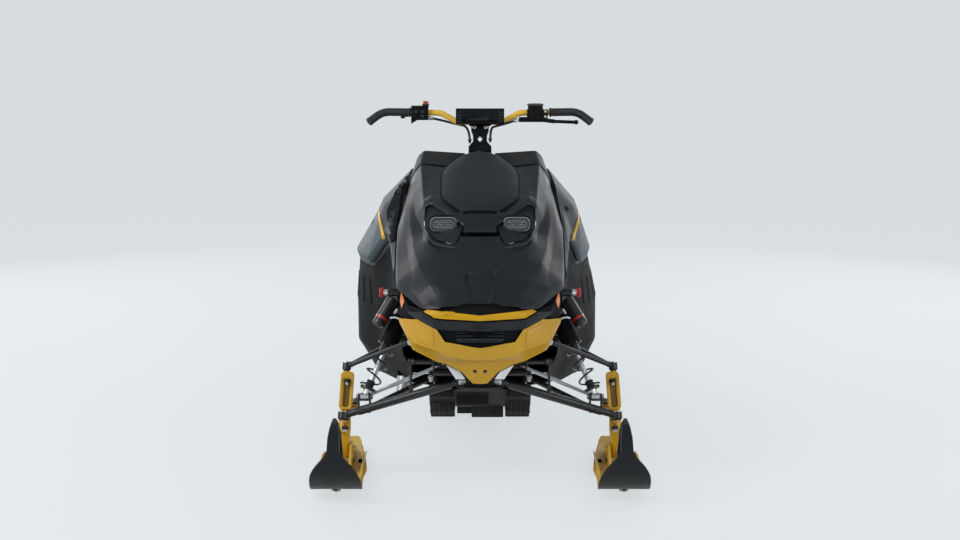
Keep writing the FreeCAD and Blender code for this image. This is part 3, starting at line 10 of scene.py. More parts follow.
import bmesh
import bpy
import numpy as np
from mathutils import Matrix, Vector


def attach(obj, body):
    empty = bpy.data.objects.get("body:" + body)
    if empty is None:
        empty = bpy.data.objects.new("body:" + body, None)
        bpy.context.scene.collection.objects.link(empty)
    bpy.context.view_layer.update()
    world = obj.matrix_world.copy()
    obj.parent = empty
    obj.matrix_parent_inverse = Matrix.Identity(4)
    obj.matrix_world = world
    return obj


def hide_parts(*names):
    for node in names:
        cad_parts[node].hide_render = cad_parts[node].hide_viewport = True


bl_info = {
    "name": "Crossover Snowmobile",
    "version": (1, 0, 0),
    "blender": (4, 5, 0),
    "location": "View3D > Sidebar > Snowmobile",
    "description": "Builds the visible panels, trim and finishes of a snowmobile",
    "category": "Object",
}

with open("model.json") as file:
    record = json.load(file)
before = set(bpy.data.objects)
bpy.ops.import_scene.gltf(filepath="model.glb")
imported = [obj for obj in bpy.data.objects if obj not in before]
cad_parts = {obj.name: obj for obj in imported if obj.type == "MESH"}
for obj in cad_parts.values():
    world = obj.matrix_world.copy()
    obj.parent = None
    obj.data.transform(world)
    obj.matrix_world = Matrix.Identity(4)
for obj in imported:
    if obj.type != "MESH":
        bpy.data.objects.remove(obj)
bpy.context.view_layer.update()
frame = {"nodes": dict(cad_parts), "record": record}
NODES = frame["nodes"]
MM = 0.001
SIDES = (("left", 1), ("right", -1))
FLIP = np.array([-1.0, 1, 1])


# Meshes

FINISH = {}      # every material, by its plain name


def table(rows):
    """Rows of a drawing's numbers in millimetres as an array in metres."""
    return np.array(rows, float) * MM


def unit(v):
    """The vector at length 1."""
    v = np.asarray(v, float)
    return v / np.linalg.norm(v)


def shown(mesh, finish, smooth):
    """A mesh as an object at the origin, in one finish. Edges sharper than smooth, in degrees, stay sharp."""
    obj = linked(mesh.name, mesh)
    mesh.materials.clear()
    mesh.materials.append(FINISH[finish])
    mesh.polygons.foreach_set("use_smooth", [True] * len(mesh.polygons))
    mesh.set_sharp_from_angle(angle=math.radians(smooth))
    return obj


def linked(name, data):
    """A new object in the scene."""
    obj = bpy.data.objects.new(name, data)
    bpy.context.scene.collection.objects.link(obj)
    return obj


def rounded_edges(obj, width, segments=2, limit=32.0):
    """Live bevel on the edges sharper than limit, in degrees."""
    edge = obj.modifiers.new("Edge", "BEVEL")
    edge.width = width
    edge.segments = segments
    edge.limit_method = "ANGLE"
    edge.angle_limit = math.radians(limit)
    edge.harden_normals = True


def make(name, part, finish, body="chassis", stands_for=(), smooth=35.0, wall=0.0, bevel=0.0, segments=2):
    """A piece from one (verts, faces) mesh or a list of them, riding on a body and standing for frame nodes. It
    may get live modifiers: Solidify inwards by wall, then a Bevel."""
    verts, faces = joined(part) if isinstance(part, list) else part
    mesh = bpy.data.meshes.new(name)
    places = np.asarray(verts, float).reshape(-1, 3).tolist()
    mesh.from_pydata(places, [], [tuple(map(int, f)) for f in faces])
    mesh.validate()
    mesh.update()
    obj = shown(mesh, finish, smooth)
    if wall:
        thick = obj.modifiers.new("Wall", "SOLIDIFY")
        thick.thickness = wall
        thick.offset = -1.0
    if bevel:
        rounded_edges(obj, bevel, segments)
    if stands_for:
        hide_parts(*stands_for)
    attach(obj, body)
    return obj


def pair(name, part, finish, body="chassis", stands_for=(), **rest):
    """A piece for the rider's left and its mirror image for the right, each riding on its own side's body."""
    for side, s in SIDES:
        home = body if body == "chassis" else f"{body}_{side}"
        make(f"{name}_{side}", handed(part, s), finish, home, [f"{n}_{side}" for n in stands_for], **rest)


def grid_quads(rows, columns, around=False):
    """Quads of a rows by columns grid; around joins the last column to the first."""
    i, j = np.meshgrid(np.arange(rows - 1), np.arange(columns if around else columns - 1), indexing="ij")
    a, b = i * columns + j, i * columns + (j + 1) % columns
    return np.stack([a, b, b + columns, a + columns], -1).reshape(-1, 4)


def slopes(x, y):
    """Slopes at the knots of a monotone cubic through y over x: the weighted harmonic mean of the two chords
    beside a knot, and 0 where they turn."""
    h = np.diff(x)[:, None]
    d = np.diff(y, axis=0) / h
    m = np.zeros_like(y)
    m[0], m[-1] = d[0], d[-1]
    w1, w2 = 2 * h[1:] + h[:-1], h[1:] + 2 * h[:-1]
    same = d[:-1] * d[1:] > 0
    safe0, safe1 = np.where(same, d[:-1], 1.0), np.where(same, d[1:], 1.0)
    m[1:-1] = np.where(same, (w1 + w2) / (w1 / safe0 + w2 / safe1), 0.0)
    return m


def flow(x, y, at, ease=1.0):
    """Columns y over knots x read at new places: a cubic Hermite curve with slopes(), mixed with straight runs
    by 1 - ease."""
    x, y, at = np.asarray(x, float), np.asarray(y, float), np.asarray(at, float)
    shape = y.shape
    y = y.reshape(len(x), -1)
    m = slopes(x, y)
    k = np.clip(np.searchsorted(x, at, side="right") - 1, 0, len(x) - 2)
    h = (x[k + 1] - x[k])[:, None]
    t = ((at - x[k]) / h[:, 0])[:, None]
    cubic = ((1 + 2 * t) * (1 - t) ** 2 * y[k] + t * (1 - t) ** 2 * h * m[k]
             + t * t * (3 - 2 * t) * y[k + 1] + t * t * (t - 1) * h * m[k + 1])
    straight = (1 - t) * y[k] + t * y[k + 1]
    return (ease * cubic + (1 - ease) * straight).reshape((len(at),) + shape[1:])


def rounded(lines, radius, steps=4):
    """Section lines, shape (..., points, 2), with each inner corner swapped for a quadratic curve that starts
    and ends radius from it, or 0.42 of a shorter run."""
    p = np.asarray(lines, float)
    out = [p[..., :1, :]]
    for i in range(1, p.shape[-2] - 1):
        c = p[..., i, :]
        before, after = p[..., i - 1, :] - c, p[..., i + 1, :] - c
        nb = np.linalg.norm(before, axis=-1, keepdims=True)
        na = np.linalg.norm(after, axis=-1, keepdims=True)
        a = c + before * np.minimum(radius / np.maximum(nb, 1e-9), 0.42)
        b = c + after * np.minimum(radius / np.maximum(na, 1e-9), 0.42)
        for t in np.linspace(0, 1, steps + 1):
            out.append(((1 - t) ** 2 * a + 2 * t * (1 - t) * c + t * t * b)[..., None, :])
    out.append(p[..., -1:, :])
    return np.concatenate(out, axis=-2)


def split_runs(lines, longest):
    """Adds evenly spaced points to runs of a section that are longer than longest at any station."""
    p = np.asarray(lines, float)
    out = [p[..., :1, :]]
    for i in range(p.shape[-2] - 1):
        a, b = p[..., i, :], p[..., i + 1, :]
        n = max(1, int(math.ceil(np.linalg.norm(b - a, axis=-1).max() / longest)))
        for t in np.linspace(0, 1, n + 1)[1:]:
            out.append(((1 - t) * a + t * b)[..., None, :])
    return np.concatenate(out, axis=-2)


def full_width(half):
    """Half sections from the middle outwards, made whole from -X over the middle to +X."""
    half = np.asarray(half, float)
    other = half[..., :0:-1, :].copy()
    other[..., 0] *= -1
    return np.concatenate([other, half], axis=-2)


def skin(stations, sections, radius, count, ease=1.0, longest=0.03):
    """Grid of (place, a, b): sections rounded at their corners and carried smoothly from station to station."""
    x = np.asarray(stations, float)
    lines = flow(x, np.asarray(sections, float), np.linspace(x[0], x[-1], count), ease)
    lines = split_runs(rounded(lines, radius), longest)
    place = np.broadcast_to(np.linspace(x[0], x[-1], count)[:, None, None], lines.shape[:2] + (1,))
    return np.concatenate([place, lines], axis=-1)


def on_side(grid, s):
    """A grid made for the rider's left: itself where s is 1, its mirror image where s is -1."""
    return grid if s > 0 else (grid * FLIP)[:, ::-1]


def along_y(grid):
    """(place, a, b) to (X, Y, Z) for sections across Y."""
    return grid[..., [1, 0, 2]]


def surface(grid):
    """An open grid of points as a mesh."""
    return grid.reshape(-1, 3), grid_quads(*grid.shape[:2])


def skin_piece(name, grid, finish, wall, **rest):
    """Open skin as a walled panel. The grid's normal points out where its columns run from -X to +X along +Y."""
    return make(name, surface(grid), finish, wall=wall, **rest)


def ring_faces(rows, n):
    """Faces of rows rings of n points each, closed round and capped at both ends."""
    caps = [tuple(range(n - 1, -1, -1)), tuple(range((rows - 1) * n, rows * n))]
    return [tuple(q) for q in grid_quads(rows, n, True)] + caps


def flipped(faces):
    """The faces turned round."""
    return [tuple(face)[::-1] for face in faces]


def square_to(d):
    """An axis that is well away from a direction: Z, or Y where the direction is near Z."""
    return np.array([0.0, 0, 1]) if abs(d[2]) < 0.9 else np.array([0.0, 1, 0])


def frames_along(path):
    """Unit tangent, side and up vectors at each point of a path, carried without twist."""
    p = np.asarray(path, float)
    t = np.gradient(p, axis=0)
    t /= np.linalg.norm(t, axis=1, keepdims=True)
    side = [unit(np.cross(t[0], square_to(t[0])))]
    for k in range(1, len(p)):
        side.append(unit(side[-1] - t[k] * np.dot(side[-1], t[k])))
    side = np.array(side)
    return t, side, np.cross(side, t)


def run_length(points):
    """Length along a polyline at each of its points."""
    return np.r_[0, np.cumsum(np.linalg.norm(np.diff(points, axis=0), axis=1))]


def read_at(at, length, points):
    """Points read at lengths along their polyline."""
    return np.stack([np.interp(at, length, column) for column in np.transpose(points)], 1)


def smooth_line(points, step):
    """Evenly spaced points along a polyline."""
    length = run_length(points)
    return read_at(np.linspace(0, length[-1], max(2, int(length[-1] / step))), length, points)


def smooth_path(points, count=48):
    """Path through control points: its corners are quadratic curves over nearly half of each run."""
    p = np.asarray(points, float)
    out = [p[0]]
    for i in range(1, len(p) - 1):
        a = p[i] + (p[i - 1] - p[i]) * 0.48
        b = p[i] + (p[i + 1] - p[i]) * 0.48
        for t in np.linspace(0, 1, 10):
            out.append((1 - t) ** 2 * a + 2 * t * (1 - t) * p[i] + t * t * b)
    out.append(p[-1])
    length = run_length(out)
    return read_at(np.linspace(0, length[-1], count), length, out)


def tube_mesh(path, radius, sides=16):
    """Flat-ended tube: a circle carried along the path, its radius one value or one for each point."""
    p = np.asarray(path, float)
    _, side, up = frames_along(p)
    a = np.linspace(0, 2 * math.pi, sides, endpoint=False)
    r = np.broadcast_to(np.asarray(radius, float), (len(p),))[:, None, None]
    ring = side[:, None] * np.cos(a)[None, :, None] + up[:, None] * np.sin(a)[None, :, None]
    return (p[:, None] + ring * r).reshape(-1, 3), flipped(ring_faces(len(p), sides))


def turned_mesh(profile, origin, axis, sides=28):
    """Lathe form: (distance along the axis, radius) pairs turned about an axis line, closed at both ends."""
    profile = np.asarray(profile, float)
    d = unit(axis)
    u = unit(np.cross(square_to(d), d))
    v = np.cross(d, u)
    a = np.linspace(0, 2 * math.pi, sides, endpoint=False)
    ring = u * np.cos(a)[:, None] + v * np.sin(a)[:, None]
    verts = (np.asarray(origin, float) + d * profile[:, :1, None].reshape(-1, 1, 1)
             + ring[None] * profile[:, 1].reshape(-1, 1, 1)).reshape(-1, 3)
    return verts, ring_faces(len(profile), sides)


def even(profile):
    """A lathe profile of equal ends, from its first half."""
    return list(profile) + [(-z, r) for z, r in reversed(profile)]


def slab_mesh(outline, low, high, edge=0.0, steps=2):
    """Plate from a flat outline of (u, v) points, given anticlockwise, between heights low and high. The rim is
    rounded by a quarter circle of radius edge: ring k is the outline moved in by edge * (1 - cos) at height
    edge * (1 - sin) below the face. Points are (u, v, height)."""
    o = np.asarray(outline, float)
    before, after = np.roll(o, 1, axis=0), np.roll(o, -1, axis=0)
    t0 = (o - before) / np.maximum(np.linalg.norm(o - before, axis=1, keepdims=True), 1e-9)
    t1 = (after - o) / np.maximum(np.linalg.norm(after - o, axis=1, keepdims=True), 1e-9)
    n0, n1 = np.stack([t0[:, 1], -t0[:, 0]], 1), np.stack([t1[:, 1], -t1[:, 0]], 1)
    outwards = (n0 + n1) / np.maximum(1 + np.sum(n0 * n1, axis=1, keepdims=True), 0.35)
    rings = []
    for a in np.linspace(0, math.pi / 2, steps + 1) if edge else [0.0]:
        height = np.full(len(o), high - edge * (1 - math.sin(a)))
        rings.append(np.c_[o - outwards * edge * (1 - math.cos(a)), height])
    rings = [np.c_[r[:, :2], low + high - r[:, 2]] for r in rings[::-1]] + rings
    return np.concatenate(rings), ring_faces(len(rings), len(o))


def rect(u0, v0, u1, v1):
    """Rectangle between two corners, anticlockwise."""
    return np.array([(u0, v0), (u1, v0), (u1, v1), (u0, v1)])


def rounded_plate(outline, radius, low, high, edge=0.0, steps=4):
    """Slab of an outline whose corners are rounded by radius."""
    return slab_mesh(round_outline(outline, radius, steps), low, high, edge)


def joined(parts):
    """One mesh from several (verts, faces) pairs."""
    verts, faces, start = [], [], 0
    for v, f in parts:
        verts.append(np.asarray(v, float))
        faces += [tuple(int(i) + start for i in face) for face in f]
        start += len(v)
    return np.concatenate(verts), faces


def mirrored(part):
    """The mesh on the other side of X = 0, with its faces turned back outwards."""
    v, f = joined(part) if isinstance(part, list) else part
    return np.asarray(v, float) * FLIP, flipped(f)


def handed(part, s):
    """A mesh made for the rider's left: itself where s is 1, its mirror image where s is -1."""
    return part if s > 0 else mirrored(part)


def both(part):
    """A mesh and its mirror image."""
    return (part if isinstance(part, list) else [part]) + [mirrored(part)]


def placed(part, columns, shift=(0, 0, 0)):
    """(u, v, height) points put on the row's axes: columns names the source of X, Y and Z as (index, sign)."""
    v, f = part
    v = np.stack([v[:, i] * s for i, s in columns], 1) + np.asarray(shift, float)
    odd = np.linalg.det(np.array([[s if i == k else 0 for k in range(3)] for i, s in columns])) < 0
    return v, flipped(f) if odd else f


UP = ((0, 1), (1, 1), (2, 1))            # a slab lying flat, its face up
FRONT = ((0, 1), (2, -1), (1, 1))        # a slab facing -Y, u to +X and v up
SIDE = ((2, 1), (0, 1), (1, 1))          # a slab facing +X, u to +Y and v up


def round_outline(points, radius, steps=4):
    """Closed outline with its corners rounded by quadratic curves."""
    p = np.asarray(points, float)
    out = []
    for i in range(len(p)):
        c, before, after = p[i], p[i - 1] - p[i], p[(i + 1) % len(p)] - p[i]
        a = c + before * min(radius / np.linalg.norm(before), 0.46)
        b = c + after * min(radius / np.linalg.norm(after), 0.46)
        for t in np.linspace(0, 1, steps + 1):
            out.append((1 - t) ** 2 * a + 2 * t * (1 - t) * c + t * t * b)
    return np.array(out)


def hex_head(centre, axis, across=0.013, height=0.006, washer=True):
    """Bolt head: a six-sided crown with a domed rim on a round flange."""
    r = across / math.sqrt(3)
    head = turned_mesh([(0, r), (height * 0.8, r), (height, r * 0.84)], centre, axis, 6)
    if not washer:
        return head
    flange = [(-0.0004, across * 0.78), (0.0012, across * 0.78), (0.002, across * 0.62)]
    return joined([turned_mesh(flange, centre, axis, 20), head])


def rivet(centre, axis, radius=0.004):
    """Domed rivet head: radius falls with the square root over its height."""
    return turned_mesh([(-0.0003, radius), (radius * 0.25, radius * 0.86), (radius * 0.42, radius * 0.5),
                        (radius * 0.5, radius * 0.12)], centre, axis, 12)


# Finishes

class Value:
    """A shader value. Adding and multiplying it in Python adds Math nodes."""

    def __init__(self, home, socket):
        self.home, self.socket = home, socket

    def _math(self, operation, a, b=0.0, clamp=False):
        made = self.home.node("Math", (a, b), operation=operation, use_clamp=clamp)
        return Value(self.home, made.outputs[0])

    def __add__(self, other):
        return self._math("ADD", self, other)

    def __radd__(self, other):
        return self._math("ADD", other, self)

    def __mul__(self, other):
        return self._math("MULTIPLY", self, other)

    def __rmul__(self, other):
        return self._math("MULTIPLY", other, self)

    def limited(self):
        """The value held between 0 and 1."""
        return self._math("ADD", self, 0.0, clamp=True)


class Nodes:
    """A node tree with short ways to add to it."""

    def __init__(self, tree):
        self.tree = tree

    def node(self, kind, inputs=(), **settings):
        """A node of a type, its settings first, then its sockets' values or links by position or by name."""
        made = self.tree.nodes.new("ShaderNode" + kind)
        for key, value in settings.items():
            setattr(made, key, value)
        pairs = inputs.items() if isinstance(inputs, dict) else enumerate(inputs)
        for key, value in pairs:
            self.plug(made.inputs[key], value)
        return made

    def plug(self, socket, value):
        """Links a value to a socket, or sets a plain number or colour on it."""
        if isinstance(value, Value):
            value = value.socket
        if isinstance(value, bpy.types.NodeSocket):
            self.tree.links.new(value, socket)
        else:
            socket.default_value = value

    def span(self, value, low, high, to_low=0.0, to_high=1.0):
        """value mapped from low..high onto to_low..to_high, held at the ends."""
        return Value(self, self.node("MapRange", (value, low, high, to_low, to_high)).outputs[0])

    def rays(self, *kinds):
        """1 on rays of the kinds named, 0 on others."""
        paths = self.node("LightPath").outputs
        return sum(Value(self, paths[f"Is {kind} Ray"]) for kind in kinds).limited()


class Finish(Nodes):
    """One material: a Principled shader with helpers for its procedural inputs on Object coordinates."""

    def __init__(self, name, colour, roughness=0.4, metallic=0.0, **sockets):
        self.material = bpy.data.materials.new(name)
        self.material.use_nodes = True
        super().__init__(self.material.node_tree)
        self.shader = self.tree.nodes["Principled BSDF"]
        self.set("Base Color", shade(colour))
        self.set("Roughness", roughness)
        self.set("Metallic", metallic)
        for key, value in sockets.items():
            self.set(key.replace("_", " "), value)
        self.material.diffuse_color = shade(colour)
        self.place = self.node("TexCoord").outputs["Object"]

    def set(self, name, value):
        self.plug(self.shader.inputs[name], value)

    def noise(self, scale, detail=3.0, roughness=0.5):
        sockets = {"Vector": self.place, "Scale": scale, "Detail": detail, "Roughness": roughness}
        return Value(self, self.node("TexNoise", sockets).outputs["Fac"])

    def cells(self, scale, feature="F1"):
        sockets = {"Vector": self.place, "Scale": scale}
        return Value(self, self.node("TexVoronoi", sockets, feature=feature).outputs["Distance"])

    def mix(self, factor, one, two):
        made = self.node("Mix", {"Factor": factor}, data_type="RGBA")
        self.plug(made.inputs[6], one)
        self.plug(made.inputs[7], two)
        return made.outputs[2]

    def bump(self, height, depth, strength=1.0):
        """Bump of a height value, depth in metres."""
        made = self.node("Bump", {"Height": height, "Distance": depth, "Strength": strength})
        self.set("Normal", made.outputs[0])


def srgb(r, g, b):
    """Colour as a screen shows it, 0 to 255, as linear light."""
    return tuple(((c / 255 + 0.055) / 1.055) ** 2.4 if c > 10 else c / 255 / 12.92 for c in (r, g, b))


def shade(colour, k=1.0, lift=0.0):
    """A colour with its light scaled by k and raised by lift, opaque."""
    return tuple(c * k + lift for c in colour[:3]) + (1.0,)


def moulded(name, colour, roughness, grain=0.0, grain_scale=900.0, dust=0.25, coat=0.0, gloss=0.35):
    """Moulded plastic: leather grain from cells, wide soft colour drift, and dust that gathers as speckle."""
    f = Finish(name, colour, roughness, Specular_IOR_Level=gloss)
    drift = f.noise(5.0, 4.0)
    speck = f.span(f.noise(160.0, 5.0, roughness=0.7), 0.56, 0.78)
    tone = f.mix(f.span(drift, 0.3, 0.7), shade(colour, 0.90), shade(colour, 1.12))
    f.set("Base Color", f.mix(speck * dust * 0.3, tone, shade(colour, 0.7, 0.05)))
    wear = f.noise(24.0, 5.0, roughness=0.65)
    f.set("Roughness", f.span(wear, 0.25, 0.75, roughness - 0.06, roughness + 0.09))
    if coat:
        f.set("Coat Weight", coat)
        f.set("Coat Roughness", 0.08)
    if grain:
        f.bump(f.cells(grain_scale) + 0.4 * f.noise(grain_scale * 0.7, 2.0), grain)
    else:
        f.bump(f.noise(260.0, 2.0), 0.00006, 0.35)
    return f.material


def painted(name, colour, roughness=0.3, coat=0.4, peel=0.00010):
    """Paint or powder coat: orange-peel bump, faint fading, and small dull chips."""
    f = Finish(name, colour, roughness)
    chips = f.span(f.noise(120.0, 6.0, roughness=0.75), 0.66, 0.72)
    faded = f.mix(f.span(f.noise(7.0, 3.0), 0.3, 0.7), shade(colour, 0.92), shade(colour, 1.08))
    f.set("Base Color", f.mix(chips * 0.35, faded, shade(colour, 0.55)))
    f.set("Roughness", f.span(f.noise(40.0, 4.0), 0.3, 0.7, roughness - 0.05, roughness + 0.08))
    f.set("Coat Weight", coat)
    f.set("Coat Roughness", 0.12)
    f.bump(f.noise(420.0, 2.0), peel, 0.5)
    return f.material


def bare_metal(name, colour, roughness):
    """Bare metal: fine scratches and cloudy oxide in the roughness, and the oxide's darker tone."""
    f = Finish(name, colour, roughness, 1.0)
    scratches = f.noise(500.0, 3.0)
    cloud = f.noise(18.0, 5.0, roughness=0.6)
    f.set("Base Color", f.mix(f.span(cloud, 0.35, 0.75), shade(colour, 1.03), shade(colour, 0.80)))
    dulled = f.span(cloud, 0.3, 0.8, roughness - 0.07, roughness + 0.12)
    f.set("Roughness", (dulled + 0.05 * scratches).limited())
    return f.material


def rubber(name, colour, roughness=0.75):
    """Rubber: fine pores and pale bloom in patches."""
    f = Finish(name, colour, roughness)
    bloom = f.span(f.noise(30.0, 5.0, roughness=0.7), 0.45, 0.8)
    f.set("Base Color", f.mix(bloom * 0.5, shade(colour, 0.9), shade(colour, 1.6, 0.012)))
    f.set("Roughness", f.span(f.noise(60.0, 3.0), 0.3, 0.7, roughness - 0.1, roughness + 0.1))
    f.bump(f.noise(700.0, 3.0), 0.00015, 0.7)
    return f.material


def vinyl(name, colour):
    """Gripper seat cover: small cells in relief over a soft drift."""
    f = Finish(name, colour, 0.62, Sheen_Weight=0.15)
    f.set("Base Color", f.mix(f.span(f.noise(12.0, 4.0), 0.3, 0.7), shade(colour, 0.85), shade(colour, 1.25)))
    f.bump(f.cells(420.0, "SMOOTH_F1") + 0.3 * f.noise(900.0, 2.0), 0.0006, 0.8)
    return f.material


def clear(name, tint):
    """Clear lens: transmission with a slight tint."""
    f = Finish(name, tint, 0.05, Transmission_Weight=1.0, IOR=1.45)
    f.bump(f.noise(200.0, 2.0), 0.00003, 0.3)
    return f.material


YELLOW = srgb(208, 158, 24)
HOOD_BLUE = srgb(17, 23, 30)
PANEL_GREY = srgb(44, 54, 61)
# Painted highlight: the grey that the dark panels show where they catch the light, used on the side panels' pale
# fields and the hood's lip lines.
PAINTED_LIT_GREY = srgb(68, 80, 84)
BLACK = srgb(13, 15, 17)


def mix_finishes(look):
    """All the finishes of the machine, by name."""
    FINISH.update(
        hood=moulded("Hood satin", look.hood, 0.42, dust=0.15, gloss=0.4),
        panel=moulded("Side panel grey", look.panel, 0.5, dust=0.2, gloss=0.25),
        # painted highlight: a pale grey that stands in for light on the faces that catch it
        facet=moulded("Pale grey facet", PAINTED_LIT_GREY, 0.5, dust=0.2, gloss=0.25),
        cover=moulded("Cover black", srgb(36, 40, 45), 0.55, 0.00003, 1400.0, dust=0.1, gloss=0.18),
        cap=moulded("Cap black", srgb(20, 23, 26), 0.5, 0.00006, 1400.0, gloss=0.25),
        plate_black=painted("Frame black", srgb(20, 21, 23), 0.5, 0.1),
        black=moulded("Textured black", BLACK, 0.62, 0.00010, 1400.0, dust=0.05, gloss=0.12),
        gloss_black=moulded("Gloss black", srgb(20, 22, 24), 0.22, dust=0.5, coat=0.6),
        yellow=moulded("Yellow moulding", look.yellow, 0.42, dust=0.05, gloss=0.25),
        yellow_paint=painted("Yellow powder coat", look.yellow, 0.38, 0.25),
        # painted light: a brighter copy of the yellow powder coat, standing in for the light on the handlebar
        bar_yellow=painted("Handlebar yellow", srgb(240, 194, 62), 0.38, 0.25),
        ski_yellow=moulded("Ski yellow", srgb(208, 170, 66), 0.5, dust=0.1),
        ski_black=moulded("Ski black", srgb(25, 28, 30), 0.45, 0.00005, 1200.0, dust=0.15, gloss=0.25),
        black_paint=painted("Black powder coat", srgb(22, 24, 26), 0.4, 0.15),
        spring=painted("Spring black", srgb(22, 23, 25), 0.30, 0.4, 0.00005),
        # painted shade: a darker copy of the yellow, used under the ski's plank and in the spindle's slot
        keel=moulded("Keel ochre", srgb(120, 92, 22), 0.55, dust=0.2),
        aluminium=bare_metal("Aluminium", (0.78, 0.79, 0.80), 0.30),
        polished=bare_metal("Polished tube", (0.52, 0.54, 0.57), 0.38),
        steel=bare_metal("Zinc steel", (0.62, 0.62, 0.60), 0.32),
        chrome=bare_metal("Damper chrome", (0.60, 0.62, 0.66), 0.34),
        cast=bare_metal("Cast metal", (0.33, 0.33, 0.34), 0.55),
        red=painted("Red anodised", srgb(196, 24, 30), 0.25, 0.6, 0.00003),
        amber=painted("Amber reflector", srgb(235, 120, 20), 0.15, 0.9, 0.00002),
        tail=painted("Tail red", srgb(150, 12, 16), 0.15, 0.9, 0.00002),
        rubber=rubber("Rubber", srgb(30, 31, 32)),
        track=rubber("Track rubber", srgb(38, 39, 40), 0.7),
        grip=rubber("Grip rubber", srgb(26, 28, 30), 0.6),
        vinyl=vinyl("Saddle cover", srgb(28, 30, 33)),
        vinyl_grey=vinyl("Saddle side", srgb(60, 64, 68)),
        lens=clear("Lamp lens", (0.93, 0.95, 0.97)),
        silver=moulded("Lamp ring", srgb(118, 122, 125), 0.35),
        lamp=moulded("Lamp element", srgb(134, 138, 142), 0.35),
        screen=moulded("Screen glass", srgb(6, 7, 9), 0.25, gloss=0.2),
    )


# Pieces taken over from the frame

BODY = {node: body for body, members in frame["record"]["behaviour"]["bodies"].items() for node in members}


def applied(obj):
    """Bakes a piece's modifiers into its mesh."""
    seen = obj.evaluated_get(bpy.context.evaluated_depsgraph_get())
    mesh = bpy.data.meshes.new_from_object(seen)
    obj.modifiers.clear()
    obj.data = mesh


def refined(node, finish, width=0.0015, segments=2):
    """A frame node as a finished piece: a copy with points closer than 0.03 mm merged and neighbours level
    within 0.6 degrees joined, its edges rounded by a live Bevel."""
    bm = bmesh.new()
    bm.from_mesh(NODES[node].data)
    bmesh.ops.remove_doubles(bm, verts=bm.verts, dist=3e-5)
    bmesh.ops.dissolve_limit(bm, angle_limit=math.radians(0.6), verts=bm.verts, edges=bm.edges)
    mesh = bpy.data.meshes.new(node + "_form")
    bm.to_mesh(mesh)
    bm.free()
    obj = shown(mesh, finish, 30)
    rounded_edges(obj, width, segments)
    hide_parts(node)
    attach(obj, BODY[node])


def carved(obj, *parts, keep="DIFFERENCE"):
    """Cuts closed meshes out of a piece, or keeps only what lies in one (INTERSECT)."""
    cutters = [make("cutter", part, "black", smooth=0) for part in parts]
    for cutter in cutters:
        cut = obj.modifiers.new("Cut", "BOOLEAN")
        cut.operation = keep
        cut.solver = "EXACT"
        cut.object = cutter
    applied(obj)
    for cutter in cutters:
        bpy.data.objects.remove(cutter)


def sections(rows):
    """Stations and section points of a panel table."""
    return table([row[0] for row in rows]), table([row[1:] for row in rows])


def out_normals(points):
    """Unit normals of a grid of points: the cross product of its two directions."""
    n = np.cross(np.gradient(points, axis=1), np.gradient(points, axis=0))
    return n / np.maximum(np.linalg.norm(n, axis=-1, keepdims=True), 1e-12)


def ease(t):
    """Smooth step: 3t^2 - 2t^3 between 0 and 1."""
    t = np.clip(t, 0.0, 1.0)
    return t * t * (3 - 2 * t)


def prism_mesh(outline, y0, y1):
    """Front-view outline (X, Z) in metres as a closed block between two Y."""
    return placed(slab_mesh(outline, -y1, -y0), FRONT)


def inlay(name, grid, outline, y0, y1, finish, lift):
    """Thin coloured field on a panel: the panel's own skin, lifted, kept only inside a front-view outline."""
    obj = skin_piece(name, grid + out_normals(grid) * lift, finish, 0.0016, smooth=28)
    carved(obj, prism_mesh(outline, y0, y1), keep="INTERSECT")


# Stage

FLOOR_R = 150.0
FLOOR_MATT = 0.72        # share of the floor's own shading that the camera sees; the rest glows
# Area lamps: name, place, size, and power as a share of the key lamp's.
LAMPS = (("key", (-4.8, -3.4, 4.3), 3.6, 1.0), ("fill", (4.6, -4.2, 2.6), 3.6, 0.38),
         ("rim_left", (3.0, 3.4, 2.5), 3.8, 0.35), ("rim_right", (-3.0, 3.4, 2.5), 3.8, 0.35))
LAMPS_AIM = Vector((0.0, -0.7, 0.55))
CAMERA_PLACE, CAMERA_TILT, CAMERA_LENS = (0.0, -10.7309, 2.1167), 82.0, 100.95


